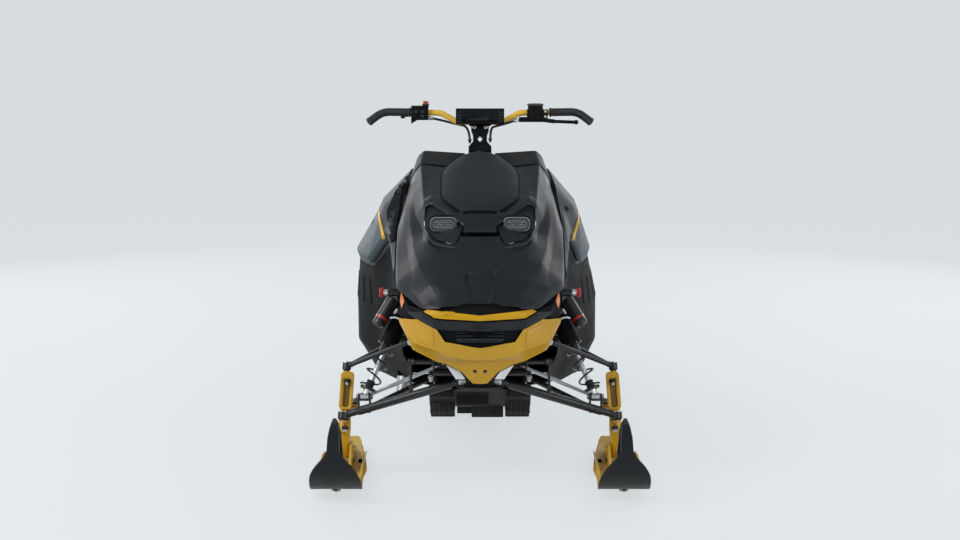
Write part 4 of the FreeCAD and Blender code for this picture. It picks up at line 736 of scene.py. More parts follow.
def stage(look):
    """Pale floor, white surroundings, soft lamps and the camera at the photograph's angle."""
    floor = bpy.data.meshes.new("floor")
    floor.from_pydata([(x, y, 0) for x, y in rect(-FLOOR_R, -FLOOR_R, FLOOR_R, FLOOR_R)], [], [(0, 1, 2, 3)])
    obj = linked("floor", floor)
    f = Finish("Pale floor", srgb(192, 198, 202), 0.6)
    glow = f.node("Emission", {"Color": shade(srgb(238, 243, 246)), "Strength": 1.0})
    seen = f.rays("Camera", "Glossy", "Transmission")
    blend = f.node("MixShader", (seen * FLOOR_MATT, f.shader.outputs[0], glow.outputs[0]))
    f.plug(f.tree.nodes["Material Output"].inputs["Surface"], blend.outputs[0])
    floor.materials.append(f.material)

    scene = bpy.context.scene
    scene.world = bpy.data.worlds.new("Studio")
    scene.world.use_nodes = True
    sky = Nodes(scene.world.node_tree)
    light = sky.tree.nodes["Background"]
    sky.plug(light.inputs["Color"], shade(srgb(236, 241, 246)))
    # brighter near the horizon than overhead, as under an open sky over snow
    height = sky.node("SeparateXYZ", (sky.node("TexCoord").outputs["Generated"],)).outputs["Z"]
    strength = sky.span(height, 0.0, 0.8, look.world_light * 1.15, look.world_light * 0.6)
    sky.plug(light.inputs["Strength"], strength)
    backdrop = sky.node("Background", {"Color": shade(srgb(232, 238, 242))})
    seen = sky.rays("Camera", "Transmission")
    blend = sky.node("MixShader", (seen, light.outputs[0], backdrop.outputs[0]))
    sky.plug(sky.tree.nodes["World Output"].inputs["Surface"], blend.outputs[0])

    for name, place, size, power in LAMPS:
        data = bpy.data.lights.new(name, "AREA")
        data.size = size
        data.energy = look.key_light * power
        lamp = linked(name, data)
        lamp.location = place
        lamp.rotation_euler = (LAMPS_AIM - lamp.location).to_track_quat("-Z", "Y").to_euler()

    data = bpy.data.cameras.new("Camera")
    data.lens = CAMERA_LENS
    scene.camera = linked("Camera", data)
    scene.camera.location = CAMERA_PLACE
    scene.camera.rotation_euler = (math.radians(CAMERA_TILT), 0.0, 0.0)
    scene.view_settings.view_transform = "Standard"


# Hood

# Columns in mm: Y, then X, Z of middle, channel edge, shoulder, shell edge, face crease, wing crease, rim, low
# edge.
HOOD = [
    (-1372, (0, 684), (36, 683), (96, 679), (114, 677), (130, 674), (137, 671), (142, 668), (146, 664)),
    (-1330, (0, 726), (54, 722), (118, 711), (134, 707), (150, 700), (186, 677), (197, 668), (203, 657)),
    (-1290, (0, 764), (58, 758), (140, 747), (160, 743), (178, 737), (218, 704), (229, 690), (230, 668)),
    (-1250, (0, 792), (64, 786), (152, 771), (174, 766), (196, 758), (243, 726), (255, 716), (256, 684)),
    (-1180, (0, 838), (76, 832), (168, 815), (194, 808), (222, 798), (246, 770), (297, 736), (297, 706)),
    (-1080, (0, 899), (86, 893), (184, 868), (206, 856), (242, 838), (258, 812), (303, 780), (306, 738)),
    (-1000, (0, 962), (96, 955), (190, 914), (206, 888), (248, 874), (268, 852), (304, 826), (308, 770)),
    (-900, (0, 1008), (143, 1004), (208, 985), (236, 936), (258, 926), (282, 908), (304, 880), (306, 840)),
    (-800, (0, 1048), (146, 1045), (214, 1037), (248, 996), (257, 984), (274, 966), (286, 945), (292, 915)),
    (-640, (0, 1098), (142, 1096), (222, 1106), (243, 1080), (249, 1068), (259, 1046), (265, 1030), (270, 1010)),
    (-520, (0, 1126), (118, 1128), (212, 1138), (232, 1120), (238, 1106), (245, 1085), (250, 1070), (254, 1050)),
]
# Lamp recess in front view, X, Z, and the brow's low edge above it.
RECESS = table([(200, 972), (178, 982), (54, 918), (86, 856), (164, 866), (206, 906)])
BROW_EDGE = table([(0, 897), (56, 897), (62, 914), (178, 982), (202, 974), (240, 960)])
BROW_SLOT = table([(-72, 898), (-66, 884), (66, 884), (72, 898)])
SCOOP_LIP_Z = 0.782
VALLEY = table([(56, 782), (188, 862)])      # half width and Z of the valley over the scoop, low and high end


def hood_grid(count=190, longest=0.0066):
    """The hood's plain surface, without its brow and scoop."""
    y, half = sections(HOOD)
    return along_y(skin(y, full_width(half), 0.004, count, 0.6, longest))


def brow(x, z):
    """How far the brow stands proud: full above its low edge and over the middle, then a ridge that follows the
    lamps' upper edges and fades over 60 mm."""
    edge = np.interp(np.abs(x), BROW_EDGE[:, 0], BROW_EDGE[:, 1])
    above = z - edge
    reach = np.interp(np.abs(x), (0.066, 0.185, 0.215), (0.012, 0.007, 0.0))
    crest = np.interp(np.abs(x), (0.05, 0.09), (0.050, 0.016))
    fall = 0.65 * ease((above - crest) / 0.010) + 0.35 * ease((above - crest) / 0.055)
    return reach * ease((above + 0.002) / 0.004) * (1 - fall)


def scoop(x, z):
    """Depth of the middle channel below the scoop's lip, and of the shallow valley above it, whose half width
    grows towards the lamps. Both have steep edges of a few millimetres."""
    half = np.interp(z, (0.684, 0.75, SCOOP_LIP_Z), (0.034, 0.054, 0.056))
    below = ease((SCOOP_LIP_Z - z) / 0.005)
    channel = below * ease((half - np.abs(x)) / 0.005) * np.interp(z, (0.69, SCOOP_LIP_Z), (0.003, 0.013))
    side = np.interp(z, VALLEY[:, 1], VALLEY[:, 0])
    valley = (1 - below) * ease((side - np.abs(x)) / 0.010) * (1 - ease((z - 0.870) / 0.02))
    return channel + 0.006 * valley


def build_hood(look):
    """Hood skin with its brow and scoop, lamp recesses and slot, and a black sheet behind the slot that stands in
    for the shade under the brow.
    """
    p = hood_grid()
    n = out_normals(p)
    rise = brow(p[..., 0], p[..., 2]) - scoop(p[..., 0], p[..., 2])
    p = p + n * rise[..., None]
    obj = skin_piece("hood_shell", p, "hood", look.panel_wall, stands_for=("hood",), smooth=50)
    hole = prism_mesh(round_outline(RECESS, 0.012), -1.16, -0.86)
    carved(obj, hole, mirrored(hole), prism_mesh(BROW_SLOT, -1.2, -1.02))
    obj.data.set_sharp_from_angle(angle=math.radians(40))
    rounded_edges(obj, 0.0010, 2, 50)
    # A black sheet 20 mm behind the slot: painted shade under the brow.
    q = hood_grid(120, 0.012)
    q = q - out_normals(q) * 0.020
    middle = q[:, q.shape[1] // 2, 2]
    rows = np.where((middle > 0.84) & (middle < 0.93))[0]
    strip = q[rows[0]:rows[-1] + 1]
    keep = np.where(np.abs(strip[0, :, 0]) < 0.09)[0]
    skin_piece("brow_shade_sheet", strip[:, keep[0]:keep[-1] + 1], "black", 0.003)


def on_hood(points, lift=0.0):
    """Front-view points (X, Z) put on the hood's surface, lift in front of it."""
    flat = hood_grid(160, 0.01).reshape(-1, 3)
    near = [int(np.argmin((flat[:, 0] - x) ** 2 + (flat[:, 2] - z) ** 2)) for x, z in points]
    return np.array([(x, flat[k, 1] - lift, z) for (x, z), k in zip(points, near)])


def build_hood_lines():
    """Fine raised lip lines below the lamp recesses, in pale grey as a painted highlight along the edges that
    catch the light.
    """
    path = on_hood(smooth_line(table([(206, 894), (172, 862), (150, 857), (88, 849)]), 0.008), 0.0006)
    make("lip_lines", both(tube_mesh(path, 0.0016, 8)), "facet")


# Crowned cover. Columns in mm: Y, half width, edge Z, crown Z.
COVER = [
    (-1004, 70, 966, 976),
    (-985, 88, 976, 990),
    (-905, 142, 1007, 1030),
    (-830, 145, 1038, 1062),
    (-730, 143, 1073, 1101),
    (-690, 134, 1085, 1114),
    (-640, 116, 1099, 1128),
    (-600, 92, 1111, 1138),
    (-560, 54, 1122, 1144),
]


def build_cover():
    """Cover as a crowned cap: height falls from the crown to the edge as u^3.2, u the share of the half width,
    and both ends sink over their last 12 mm. A dark seal runs under the rim."""
    t = table(COVER)
    y = np.linspace(t[0, 0], t[-1, 0], 70)
    half, edge, crown = (flow(t[:, 0], t[:, k], y, 0.6)[:, None] for k in (1, 2, 3))
    u = np.sin(np.linspace(-math.pi / 2, math.pi / 2, 61))[None]
    rise = (1 - np.abs(u) ** 3.2) * (crown - edge)
    ends = np.minimum(1, np.sqrt(np.clip(np.minimum(y - y[0], y[-1] - y) / 0.012, 0, 1)))[:, None]
    z = edge + rise * (0.55 + 0.45 * ends) - 0.004 * (1 - ends)
    p = np.stack([u * half, np.broadcast_to(y[:, None], z.shape), z], -1)
    obj = skin_piece("cover_shell", p, "cover", 0.008, stands_for=("hood_cover",), smooth=35)
    rounded_edges(obj, 0.002, 3)
    rim = np.concatenate([p[:, 0], p[-1, 1:], p[::-1, -1], p[0, ::-1]])[::2]
    ring = smooth_path(np.concatenate([rim, rim[:1]]), 240) - np.array([0, 0, 0.003])
    make("cover_seal", tube_mesh(ring, 0.0048, 8), "black")


def build_caps():
    """Black caps on the hood's shoulders: the shoulder's own skin lifted 3 mm, from the cover's rim outwards."""
    y, half = sections(HOOD)
    at = np.linspace(-0.648, y[-1] + 0.001, 12)
    part = flow(y, half, at, 0.6)[:, 1:-2]
    t = table(COVER)
    part[:, 0, 0] = np.interp(at, t[:, 0], t[:, 1]) + 0.004
    grid = along_y(skin(at, part, 0.009, 40, 1.0, 0.008))
    grid = grid + out_normals(grid) * 0.0030
    for side, s in SIDES:
        obj = skin_piece(f"shoulder_cap_{side}", on_side(grid, s), "cap", 0.0035, smooth=30)
        rounded_edges(obj, 0.001, 2, 40)


# Lamps

LAMP = table((133, 922))


def ring_outline(half_x, half_z, corner, centre=LAMP, steps=6):
    """Rounded rectangle in front view about a centre, anticlockwise."""
    return round_outline(rect(-half_x, -half_z, half_x, half_z) + centre, corner, steps)


def front_ring(outline, y, radius, sides=10):
    """Bead along a closed front-view outline at a depth y."""
    path = np.insert(outline, 1, y, axis=1)
    return tube_mesh(np.concatenate([path, path[:1]]), radius, sides)


def build_lamps():
    """Each lamp: a dark housing block, an outer and an inner ring, two shallow cups with a bridge between them,
    bars, and a clear cover."""
    y0 = -1.040
    refined("headlight_bezels", "cover", 0.0025, 3)
    shell = placed(slab_mesh(ring_outline(0.052, 0.031, 0.020), 1.0, 1.024, 0.003), FRONT)
    skirt = placed(slab_mesh(ring_outline(0.047, 0.0245, 0.019), 1.02, 1.036, 0.002), FRONT)
    rim = front_ring(ring_outline(0.0455, 0.0235, 0.019), y0 + 0.002, 0.0030)
    inner = front_ring(ring_outline(0.0345, 0.0130, 0.012), y0 + 0.001, 0.0020)
    rings, dark, bars = [rim, inner], [shell, skirt], []
    for k in (-1, 1):
        centre = LAMP + np.array([k * 0.0165, 0])
        cup = [(0.0, 0.0100), (0.004, 0.0118), (0.0042, 0.0106), (0.001, 0.0050), (0.0008, 0.0004)]
        dark.append(turned_mesh(cup, (centre[0], -1.0355, centre[1]), (0, -1, 0), 24))
        for j in (-1, 0, 1):
            outline = ring_outline(0.0120, 0.0013, 0.0012, centre + np.array([0, j * 0.0066]), 3)
            bars.append(placed(slab_mesh(outline, 1.0365, 1.0400, 0.0004), FRONT))
    bars.append(placed(slab_mesh(ring_outline(0.0010, 0.0120, 0.001, LAMP, 3), 1.036, 1.0405, 0.0004), FRONT))
    cover = placed(slab_mesh(ring_outline(0.044, 0.022, 0.018), 1.0415, 1.0450, 0.0016, 3), FRONT)
    make("lamp_housings", both(dark), "black", bevel=0.0004)
    make("lamp_rings", both(rings), "silver")
    make("lamp_bars", both(bars), "lamp")
    make("lamp_covers", both(cover), "lens", stands_for=("headlight_lenses",))


# Nose: mask, strips, grille and bumper

GRILLE_Z = [0.544 + 0.0105 * k for k in range(4)]
# Grey strip under the yellow one, in front view.
GREY_STRIP = table([(0, 618), (160, 624), (204, 647), (252, 642), (250, 634), (206, 612), (156, 590), (0, 582)])
# Nose mask, as in the frame. Columns in mm: X, then Y, Z of top, strip top, strip low, fold, low edge.
MASK = [
    (0, (-1364, 677), (-1380, 642), (-1382, 620), (-1352, 592), (-1342, 500)),
    (122, (-1352, 668), (-1366, 640), (-1366, 622), (-1346, 586), (-1336, 510)),
    (158, (-1344, 662), (-1356, 640), (-1354, 622), (-1342, 592), (-1330, 548)),
    (203, (-1320, 652), (-1330, 644), (-1326, 628), (-1311, 614), (-1300, 590)),
    (254, (-1262, 660), (-1276, 650), (-1272, 636), (-1262, 626), (-1252, 606)),
    (288, (-1186, 702), (-1200, 684), (-1206, 660), (-1206, 640), (-1200, 610)),
]


# Lower bumper, as in the frame. Columns in mm: X, then Y, Z of top edge, fold, lower fold, bottom edge.
BUMPER = [
    (0, (-1362, 520), (-1350, 476), (-1326, 462), (-1304, 382)),
    (66, (-1358, 531), (-1347, 480), (-1323, 466), (-1309, 428)),
    (124, (-1352, 541), (-1344, 490), (-1318, 470), (-1311, 456)),
    (156, (-1352, 590), (-1346, 512), (-1314, 480), (-1308, 464)),
    (224, (-1306, 616), (-1314, 528), (-1284, 504), (-1280, 494)),
    (240, (-1292, 613), (-1304, 532), (-1276, 510), (-1273, 502)),
    (289, (-1232, 608), (-1240, 604), (-1238, 600), (-1236, 596)),
]
# Raised field in the bumper's wing in front view, X, Z.
WING_FIELD = table([(166, 578), (160, 521), (217, 534), (250, 580), (227, 603)])


def plate_depth(rows, x, z):
    """Y of a plate's face at a front-view place: straight runs between its stations and lines."""
    line = flow(*sections(rows), np.array([abs(x)]), 0.0)[0]
    return float(np.interp(z, line[::-1, 1], line[::-1, 0]))


def build_grey_strip(wall=0.006):
    """Plate over the mask. Rows run along X inside the front-view outline, their points moved out of the mask's
    face by the wall."""
    tip = int(np.argmax(GREY_STRIP[:, 0]))
    top, bottom = GREY_STRIP[:tip + 1], GREY_STRIP[tip:][::-1]
    x = np.linspace(0.0, GREY_STRIP[tip, 0], 46)
    v = np.linspace(0, 1, 9)
    z = np.interp(x, *top.T)[:, None] * (1 - v) + np.interp(x, *bottom.T)[:, None] * v
    y = np.array([[plate_depth(MASK, a, b) for b in row] for a, row in zip(x, z)])
    half = np.stack([np.broadcast_to(x[:, None], z.shape), y - wall, z], -1)
    obj = skin_piece("grey_strip", np.concatenate([(half * FLIP)[:0:-1], half])[:, ::-1], "hood", wall)
    rounded_edges(obj, 0.001, 2, 40)


def build_nose():
    """Mask, strips, reflectors, grille slats, corner fillers and a plain raised tab on the yellow strip."""
    refined("nose_mask", "black", 0.002)
    refined("nose_strip", "yellow")
    refined("side_reflectors", "amber", 0.001)
    build_grey_strip()
    slats = []
    for k, z in enumerate(GRILLE_Z):
        half = 0.088 - 0.003 * (3 - k)
        slat = rounded_plate(rect(-half, z - 0.0046, half, z - 0.0012), 0.0012, 1.338, 1.3475, 0.0008, 2)
        slats.append(placed(slat, FRONT))
    make("grille_slats", slats, "panel")
    corner = table([(190, 640), (285, 640), (289, 694), (262, 704), (190, 690)])
    make("corner_fillers", both(placed(rounded_plate(corner, 0.004, 1.188, 1.190), FRONT)), "plate_black")
    tab = table([(-132, 641), (-84, 639), (-88, 652), (-126, 654)])
    make("strip_tab", placed(rounded_plate(tab, 0.002, 1.350, 1.376, 0.0008), FRONT), "yellow")


def build_bumper():
    """Lower bumper: the frame's plate with rounded edges, two bolts, and a pressed field in each wing."""
    refined("front_bumper", "yellow_paint", 0.0018, 3)
    x, z = 0.018, 0.431
    bolt = hex_head((x, plate_depth(BUMPER, x, z) - 0.0004, z), (0, -1, 0), 0.009, 0.004)
    make("bumper_bolts", both(bolt), "black_paint")
    field, faces = rounded_plate(WING_FIELD, 0.004, 0.0, 0.0024, 0.0016)
    depth = np.array([plate_depth(BUMPER, u, v) for u, v, _ in field])
    field = np.stack([field[:, 0], depth - field[:, 2], field[:, 1]], 1)
    make("bumper_fields", both((field, faces)), "yellow_paint")


# Side panels, toe panels and belly

# Columns in mm: Y, then X, Z of top edge, knuckle, ridge, outer crease, low edge.
SIDE_RIGHT = [
    (-1040, (311, 758), (314, 744), (314, 734), (312, 722), (306, 708)),
    (-900, (309, 850), (322, 842), (328, 836), (330, 818), (322, 800)),
    (-760, (298, 940), (318, 926), (336, 890), (350, 858), (342, 826)),
    (-650, (280, 1034), (362, 950), (382, 896), (428, 748), (412, 724)),
    (-450, (262, 1064), (372, 950), (396, 890), (474, 756), (458, 716)),
    (-300, (246, 1046), (366, 946), (398, 884), (470, 758), (454, 716)),
    (-150, (232, 1000), (330, 925), (376, 850), (430, 776), (416, 730)),
]
SIDE_LEFT = [
    (-1040, (311, 758), (314, 744), (314, 734), (312, 722), (306, 708)),
    (-900, (309, 850), (320, 842), (325, 836), (327, 818), (320, 800)),
    (-760, (298, 940), (314, 926), (330, 890), (340, 858), (334, 826)),
    (-650, (280, 1034), (356, 944), (372, 890), (384, 752), (374, 730)),
    (-450, (262, 1064), (362, 946), (382, 886), (422, 764), (410, 724)),
    (-300, (246, 1046), (356, 942), (384, 880), (422, 764), (410, 724)),
    (-150, (232, 1000), (322, 920), (364, 850), (402, 780), (392, 738)),
]
# Columns in mm: Y, then X, Z of top, side, low corner, bottom.
TOE_RIGHT = [
    (-895, (309, 716), (300, 560), (286, 420), (250, 350)),
    (-780, (334, 806), (328, 560), (312, 380), (262, 302)),
    (-640, (404, 716), (392, 560), (364, 360), (310, 276)),
    (-450, (462, 708), (468, 560), (462, 400), (396, 284)),
    (-340, (466, 712), (476, 560), (474, 384), (440, 372)),
    (-206, (454, 726), (462, 600), (456, 430), (448, 402)),
]
TOE_LEFT = [
    (-895, (309, 716), (300, 560), (286, 420), (250, 350)),
    (-780, (328, 806), (320, 560), (304, 380), (262, 302)),
    (-640, (366, 720), (380, 560), (358, 360), (310, 276)),
    (-450, (416, 714), (438, 560), (436, 400), (388, 284)),
    (-340, (418, 718), (450, 560), (450, 384), (432, 372)),
    (-206, (408, 732), (444, 600), (446, 430), (440, 402)),
]
# Columns in mm: Y, then X, Z of middle, keel edge, knee, rim.
BELLY = [
    (-1262, (0, 360), (34, 360), (60, 362), (70, 366)),
    (-1190, (0, 334), (50, 334), (82, 335), (92, 338)),
    (-1060, (0, 320), (80, 320), (130, 322), (150, 328)),
    (-900, (0, 298), (120, 298), (150, 300), (170, 303)),
    (-760, (0, 282), (150, 282), (236, 283), (246, 288)),
    (-640, (0, 270), (200, 270), (270, 270), (290, 276)),
    (-500, (0, 268), (214, 268), (292, 270), (360, 278)),
    (-480, (0, 268), (214, 268), (292, 271), (366, 283)),
]
FOLD_PITCH, FOLD_RISE = 0.026, 0.010
# Fields on the side panels in front view for +X, X, Z: pale lower field, a painted highlight where the panel
# catches the light, and the stripe along its upper edge.
PAINTED_LIGHT_FIELDS = {"right": [(378, 920), (352, 830), (408, 736), (440, 700), (520, 700), (520, 930)],
        "left": [(372, 915), (340, 824), (374, 745), (400, 700), (480, 700), (480, 925)]}
STRIPE = {"right": [(379, 914), (389, 912), (366, 826), (353, 832)],
          "left": [(372, 908), (382, 906), (354, 820), (341, 826)]}
FOLD_FIELD = [(200, 826), (344, 826), (350, 931), (318, 1004), (276, 1052), (200, 1060)]
FOOTWELL_Y = -0.500
PANELS = (("left", 1, SIDE_LEFT, TOE_LEFT), ("right", -1, SIDE_RIGHT, TOE_RIGHT))
PIPE_LOW, PIPE_HIGH, PIPE_R = table((-292, -716, 236)), table((-286, -700, 300)), 0.027
PIPE_AXIS = unit(PIPE_HIGH - PIPE_LOW)
PIPE_HOLE = turned_mesh([(-0.03, PIPE_R + 0.001), (0.15, PIPE_R + 0.001)], PIPE_LOW, PIPE_AXIS, 40)


def wall_grid(rows, s, radius=0.008, count=110, ease=0.75):
    """A side panel's grid; s is 1 for the rider's left and -1 for the right."""
    y, line = sections(rows)
    return on_side(along_y(skin(y, line, radius, count, ease, 0.012)), s)


def patch(grid, y0, y1, low, high, lift, s=1):
    """Part of a panel's grid between two Y and two shares of its section, top 0 and low edge 1, moved out."""
    rows = np.where((grid[:, 0, 1] >= y0) & (grid[:, 0, 1] <= y1))[0]
    first, last = (int(round(share * (grid.shape[1] - 1))) for share in (low, high))
    part = (grid + out_normals(grid) * lift)[rows[0]:rows[-1] + 1, ::s]
    return part[:, first:last + 1][:, ::s]


def anticlockwise(outline):
    """A closed outline made to run anticlockwise, so that its shoelace sum is positive."""
    (u0, v0), (u1, v1) = outline.T, np.roll(outline, -1, axis=0).T
    return outline if np.sum(u0 * v1 - u1 * v0) > 0 else outline[::-1]


def edge_line(rows, column, at):
    """A panel table's edge read at new Y: X and Z."""
    y, line = sections(rows)
    return flow(y, line[:, column], at, 0.75)


def ruled(a, b, across=5):
    """Ruled strip between two lines of points with equal counts."""
    v = np.linspace(0, 1, across)[None, :, None]
    return a[:, None] * (1 - v) + b[:, None] * v


def build_gap_liners():
    """Dark liners that close the gaps between hood, side panels and toe panels."""
    for side, s, panel_rows, toe_rows in PANELS:
        y = np.linspace(-1.036, -0.522, 60)
        hood_y, half = sections(HOOD)
        a, b = flow(hood_y, half[:, -1], y, 0.85), edge_line(panel_rows, 0, y)
        upper = ruled(np.c_[a[:, 0] - 0.006, y, a[:, 1] + 0.004], np.c_[b[:, 0] + 0.002, y, b[:, 1] - 0.008])
        y = np.linspace(-0.892, -0.210, 70)
        a, b = edge_line(panel_rows, -1, y), edge_line(toe_rows, 0, y)
        lower = ruled(np.c_[a[:, 0] - 0.005, y, a[:, 1] + 0.012], np.c_[b[:, 0] - 0.005, y, b[:, 1] - 0.012])
        make(f"gap_liner_{side}", handed([surface(upper), surface(lower)], s), "plate_black", wall=0.0015)


def build_side_panels(look):
    """Upper side panels: grey skins, pale grey fields at the front and below that are painted highlight, a yellow
    stripe, quarter-turn screws; and on the rider's right black folds along the upper edge: a wave of FOLD_PITCH
    and FOLD_RISE."""
    screw = [(-0.0004, 0.011), (0.0012, 0.011), (0.0022, 0.0095), (0.0022, 0.005), (0.0012, 0.004)]
    for side, s, rows, _ in PANELS:
        grid = wall_grid(rows, s)
        obj = skin_piece(f"side_skin_{side}", grid, "panel", look.panel_wall, stands_for=(f"side_panel_{side}",),
                         smooth=28)
        rounded_edges(obj, 0.0012, 2, 40)
        # The front strip in pale grey is painted highlight.
        facet = patch(grid, -1.036, -0.905, 0.04, 0.96, 0.0012, s)
        skin_piece(f"side_facet_{side}", facet, "facet", 0.0012, smooth=28)
        fine = wall_grid(rows, s, count=220)
        # The pale field is painted highlight; the stripe is the panel's own yellow.
        fields = (("pale", PAINTED_LIGHT_FIELDS, "facet", 0.0008), ("stripe", STRIPE, "yellow", 0.0016))
        for label, outlines, finish, lift in fields:
            outline = anticlockwise(table(outlines[side]) * [s, 1])
            inlay(f"side_{label}_{side}", fine, outline, -0.80, -0.43, finish, lift)
        if s < 0:
            folds = patch(wall_grid(rows, s, count=420), -0.905, -0.560, 0.0, 0.5, 0.0, s)
            wave = 0.002 + FOLD_RISE * (folds[..., 2] / FOLD_PITCH % 1.0)
            folds = folds + out_normals(folds) * wave[..., None]
            obj = skin_piece("side_folds", folds, "black", 0.002, smooth=20)
            carved(obj, prism_mesh((table(FOLD_FIELD) * [-1, 1])[::-1], -0.92, -0.55), keep="INTERSECT")
        screws = []
        n = out_normals(grid)[:, ::s]
        for i, share in ((40, 0.30), (66, 0.62), (96, 0.30), (104, 0.75)):
            k = int(share * (grid.shape[1] - 1))
            screws.append(turned_mesh(screw, grid[i, ::s][k], n[i, k], 18))
        make(f"side_screws_{side}", screws, "black")


def build_toe_panels(look):
    """Lower panels round the toe boxes, ribbed where boots rub; the outlet's hole is in the right one."""
    for side, s, _, rows in PANELS:
        grid = wall_grid(rows, s, 0.014, 90, 0.6)
        obj = skin_piece(f"toe_skin_{side}", grid, "black", look.panel_wall, stands_for=(f"toe_panel_{side}",),
                         smooth=30)
        if s < 0:
            carved(obj, PIPE_HOLE)
        rounded_edges(obj, 0.0012, 2, 40)
        ribs = [patch(grid, -0.60 + 0.075 * k, -0.56 + 0.075 * k, 0.16, 0.42, 0.0022, s) for k in range(5)]
        make(f"toe_ribs_{side}", [surface(g) for g in ribs], "black", wall=0.0022, bevel=0.0008)


def build_footwells():
    """Footwells: a moulded wall across the front, fitted to the toe panel's section, with three raised bars, and
    a floor that follows the toe panel's bottom edge back to the running board."""
    for side, s, _, rows in PANELS:
        top, middle, low, bottom = (edge_line(rows, k, np.array([FOOTWELL_Y]))[0] - [0.002, 0] for k in range(4))
        outline = np.array([(0.185, bottom[1]), bottom, low, middle, top, (top[0] - 0.03, 0.80), (0.185, 0.80)])
        plates = [rounded_plate(outline, 0.012, -FOOTWELL_Y, -FOOTWELL_Y + 0.003, 0.001)]
        for z in (0.36, 0.42, 0.48):
            bar = rect(0.215, z, low[0] - 0.03, z + 0.02)
            plates.append(rounded_plate(bar, 0.008, -FOOTWELL_Y - 0.006, -FOOTWELL_Y + 0.001, 0.002))
        make(f"footwell_wall_{side}", handed([placed(plate, FRONT) for plate in plates], s), "black")
        y = np.linspace(FOOTWELL_Y, -0.196, 40)
        x, z = edge_line(rows, 3, y).T
        floor = ruled(np.c_[np.full(40, 0.188), y, z], np.c_[x - 0.002, y, z])
        make(f"footwell_floor_{side}", handed(surface(floor), s), "black", wall=0.0025)


def build_belly(look):
    """Belly pan and the muffler's outlet pipe through it."""
    y, half = sections(BELLY)
    grid = along_y(skin(y, full_width(half)[:, ::-1], 0.010, 70, 0.6, 0.02))
    obj = skin_piece("belly_skin", grid, "black", look.panel_wall, stands_for=("belly_pan",), smooth=30)
    carved(obj, PIPE_HOLE)
    rounded_edges(obj, 0.0012, 2, 40)
    length = math.dist(PIPE_HIGH, PIPE_LOW)
    pipe = [(0.0, PIPE_R - 0.003), (0.0, PIPE_R - 0.0006), (0.001, PIPE_R), (0.006, PIPE_R), (length, PIPE_R),
            (length, PIPE_R - 0.003), (0.004, PIPE_R - 0.004)]
    make("outlet_pipe", turned_mesh(pipe, PIPE_LOW, PIPE_AXIS, 40), "steel", stands_for=("muffler_outlet",))


# Front suspension, on the rider's left; the right side is its mirror image

LOWER_BALL, UPPER_BALL = table((500, -1075, 223)), table((488, -1010, 394))
ARM_PIVOTS = table([(64, -1186, 372), (182, -840, 322), (250, -1112, 505), (250, -925, 505)])
SHOCK_LOW, SHOCK_TOP = table((422, -1062, 290)), table((262, -935, 640))
SHOCK_LENGTH = math.dist(SHOCK_TOP, SHOCK_LOW)
SHOCK_AXIS = unit(SHOCK_TOP - SHOCK_LOW)
RES_TOP, RES_LOW, KNOB = table((316, -1000, 640)), table((372, -1040, 552)), table((352, -1008, 668))
TIE_OUTER, TIE_INNER = table((462, -965, 256)), table((112, -965, 405))
SWAY_Y, SWAY_Z = -1.188, 0.442
SKI_X = 0.510
SKI_BOLT = table((502, -1050, 92))
KINGPIN = unit(UPPER_BALL - LOWER_BALL)


def spool(p, axis, half, radius, lip=0.0015, sides=28):
    """Pivot barrel centred on p, with a lip at each end."""
    profile = [(-half, radius * 0.5), (-half, radius), (-half + 0.003, radius + lip), (-half + 0.006, radius)]
    return turned_mesh(even(profile), p, axis, sides)


def bellows(p, axis, length, low, high, folds=3, sides=28):
    """Rubber boot: radius runs from low to high with a cosine fold."""
    d = np.linspace(0, length, folds * 8 + 1)
    r = low + (high - low) * d / length + 0.0016 * np.cos(2 * math.pi * folds * d / length)
    return turned_mesh(np.c_[d, r], p, axis, sides)


def build_arms():
    """Wishbones with their frame forms' edges rounded, weld beads at the tube joints, bolts and boots."""
    for side, _ in SIDES:
        refined(f"lower_arm_{side}", "black_paint", 0.0015)
        refined(f"upper_arm_{side}", "black_paint", 0.0012)
    bolts = []
    for p, half in zip(ARM_PIVOTS, (0.030, 0.0235, 0.021, 0.021)):
        bolts += [hex_head(p + (0, half * k, 0), (0, k, 0), 0.017, 0.008) for k in (-1, 1)]
    pair("arm_bolts", bolts, "steel")
    lower_cap = [(0, 0.0185), (0.002, 0.0185), (0.0045, 0.014), (0.006, 0.004)]
    upper_cap = [(0, 0.0155), (0.002, 0.0155), (0.0045, 0.012), (0.006, 0.003)]
    caps, boots = [], []
    for ball, cap, low, high in ((LOWER_BALL, lower_cap, 0.0165, 0.011), (UPPER_BALL, upper_cap, 0.0135, 0.010)):
        caps.append(turned_mesh(cap, ball + KINGPIN * 0.012, KINGPIN, 30))
        boots.append(bellows(ball - KINGPIN * 0.0118, -KINGPIN, 0.005, low, high, 1))
    pair("ball_caps", caps, "steel")
    pair("ball_boots", boots, "rubber")
    beads = []
    lower_front, _, upper_front, upper_rear = ARM_PIVOTS
    tubes = ((LOWER_BALL, lower_front, 0.0125, 0.020), (UPPER_BALL, upper_front, 0.0085, 0.017),
             (UPPER_BALL, upper_rear, 0.0085, 0.017))
    for ball, pivot, r, back in tubes:
        end = math.dist(pivot, ball)
        for bead in ([(back, r), (back + 0.002, r + 0.0016), (back + 0.005, r + 0.0014), (back + 0.007, r)],
                     [(end - 0.024, r), (end - 0.020, r + 0.0016), (end - 0.016, r)]):
            beads.append(turned_mesh(bead, ball, unit(pivot - ball), 24))
    pair("arm_welds", beads, "black_paint")
    end = math.dist(lower_front, LOWER_BALL)
    sleeve = [(0.058, 0.0125), (0.064, 0.0158), (end - 0.045, 0.0158), (end - 0.038, 0.0125)]
    pair("arm_sleeve", turned_mesh(sleeve, LOWER_BALL, unit(lower_front - LOWER_BALL), 28), "black_paint")


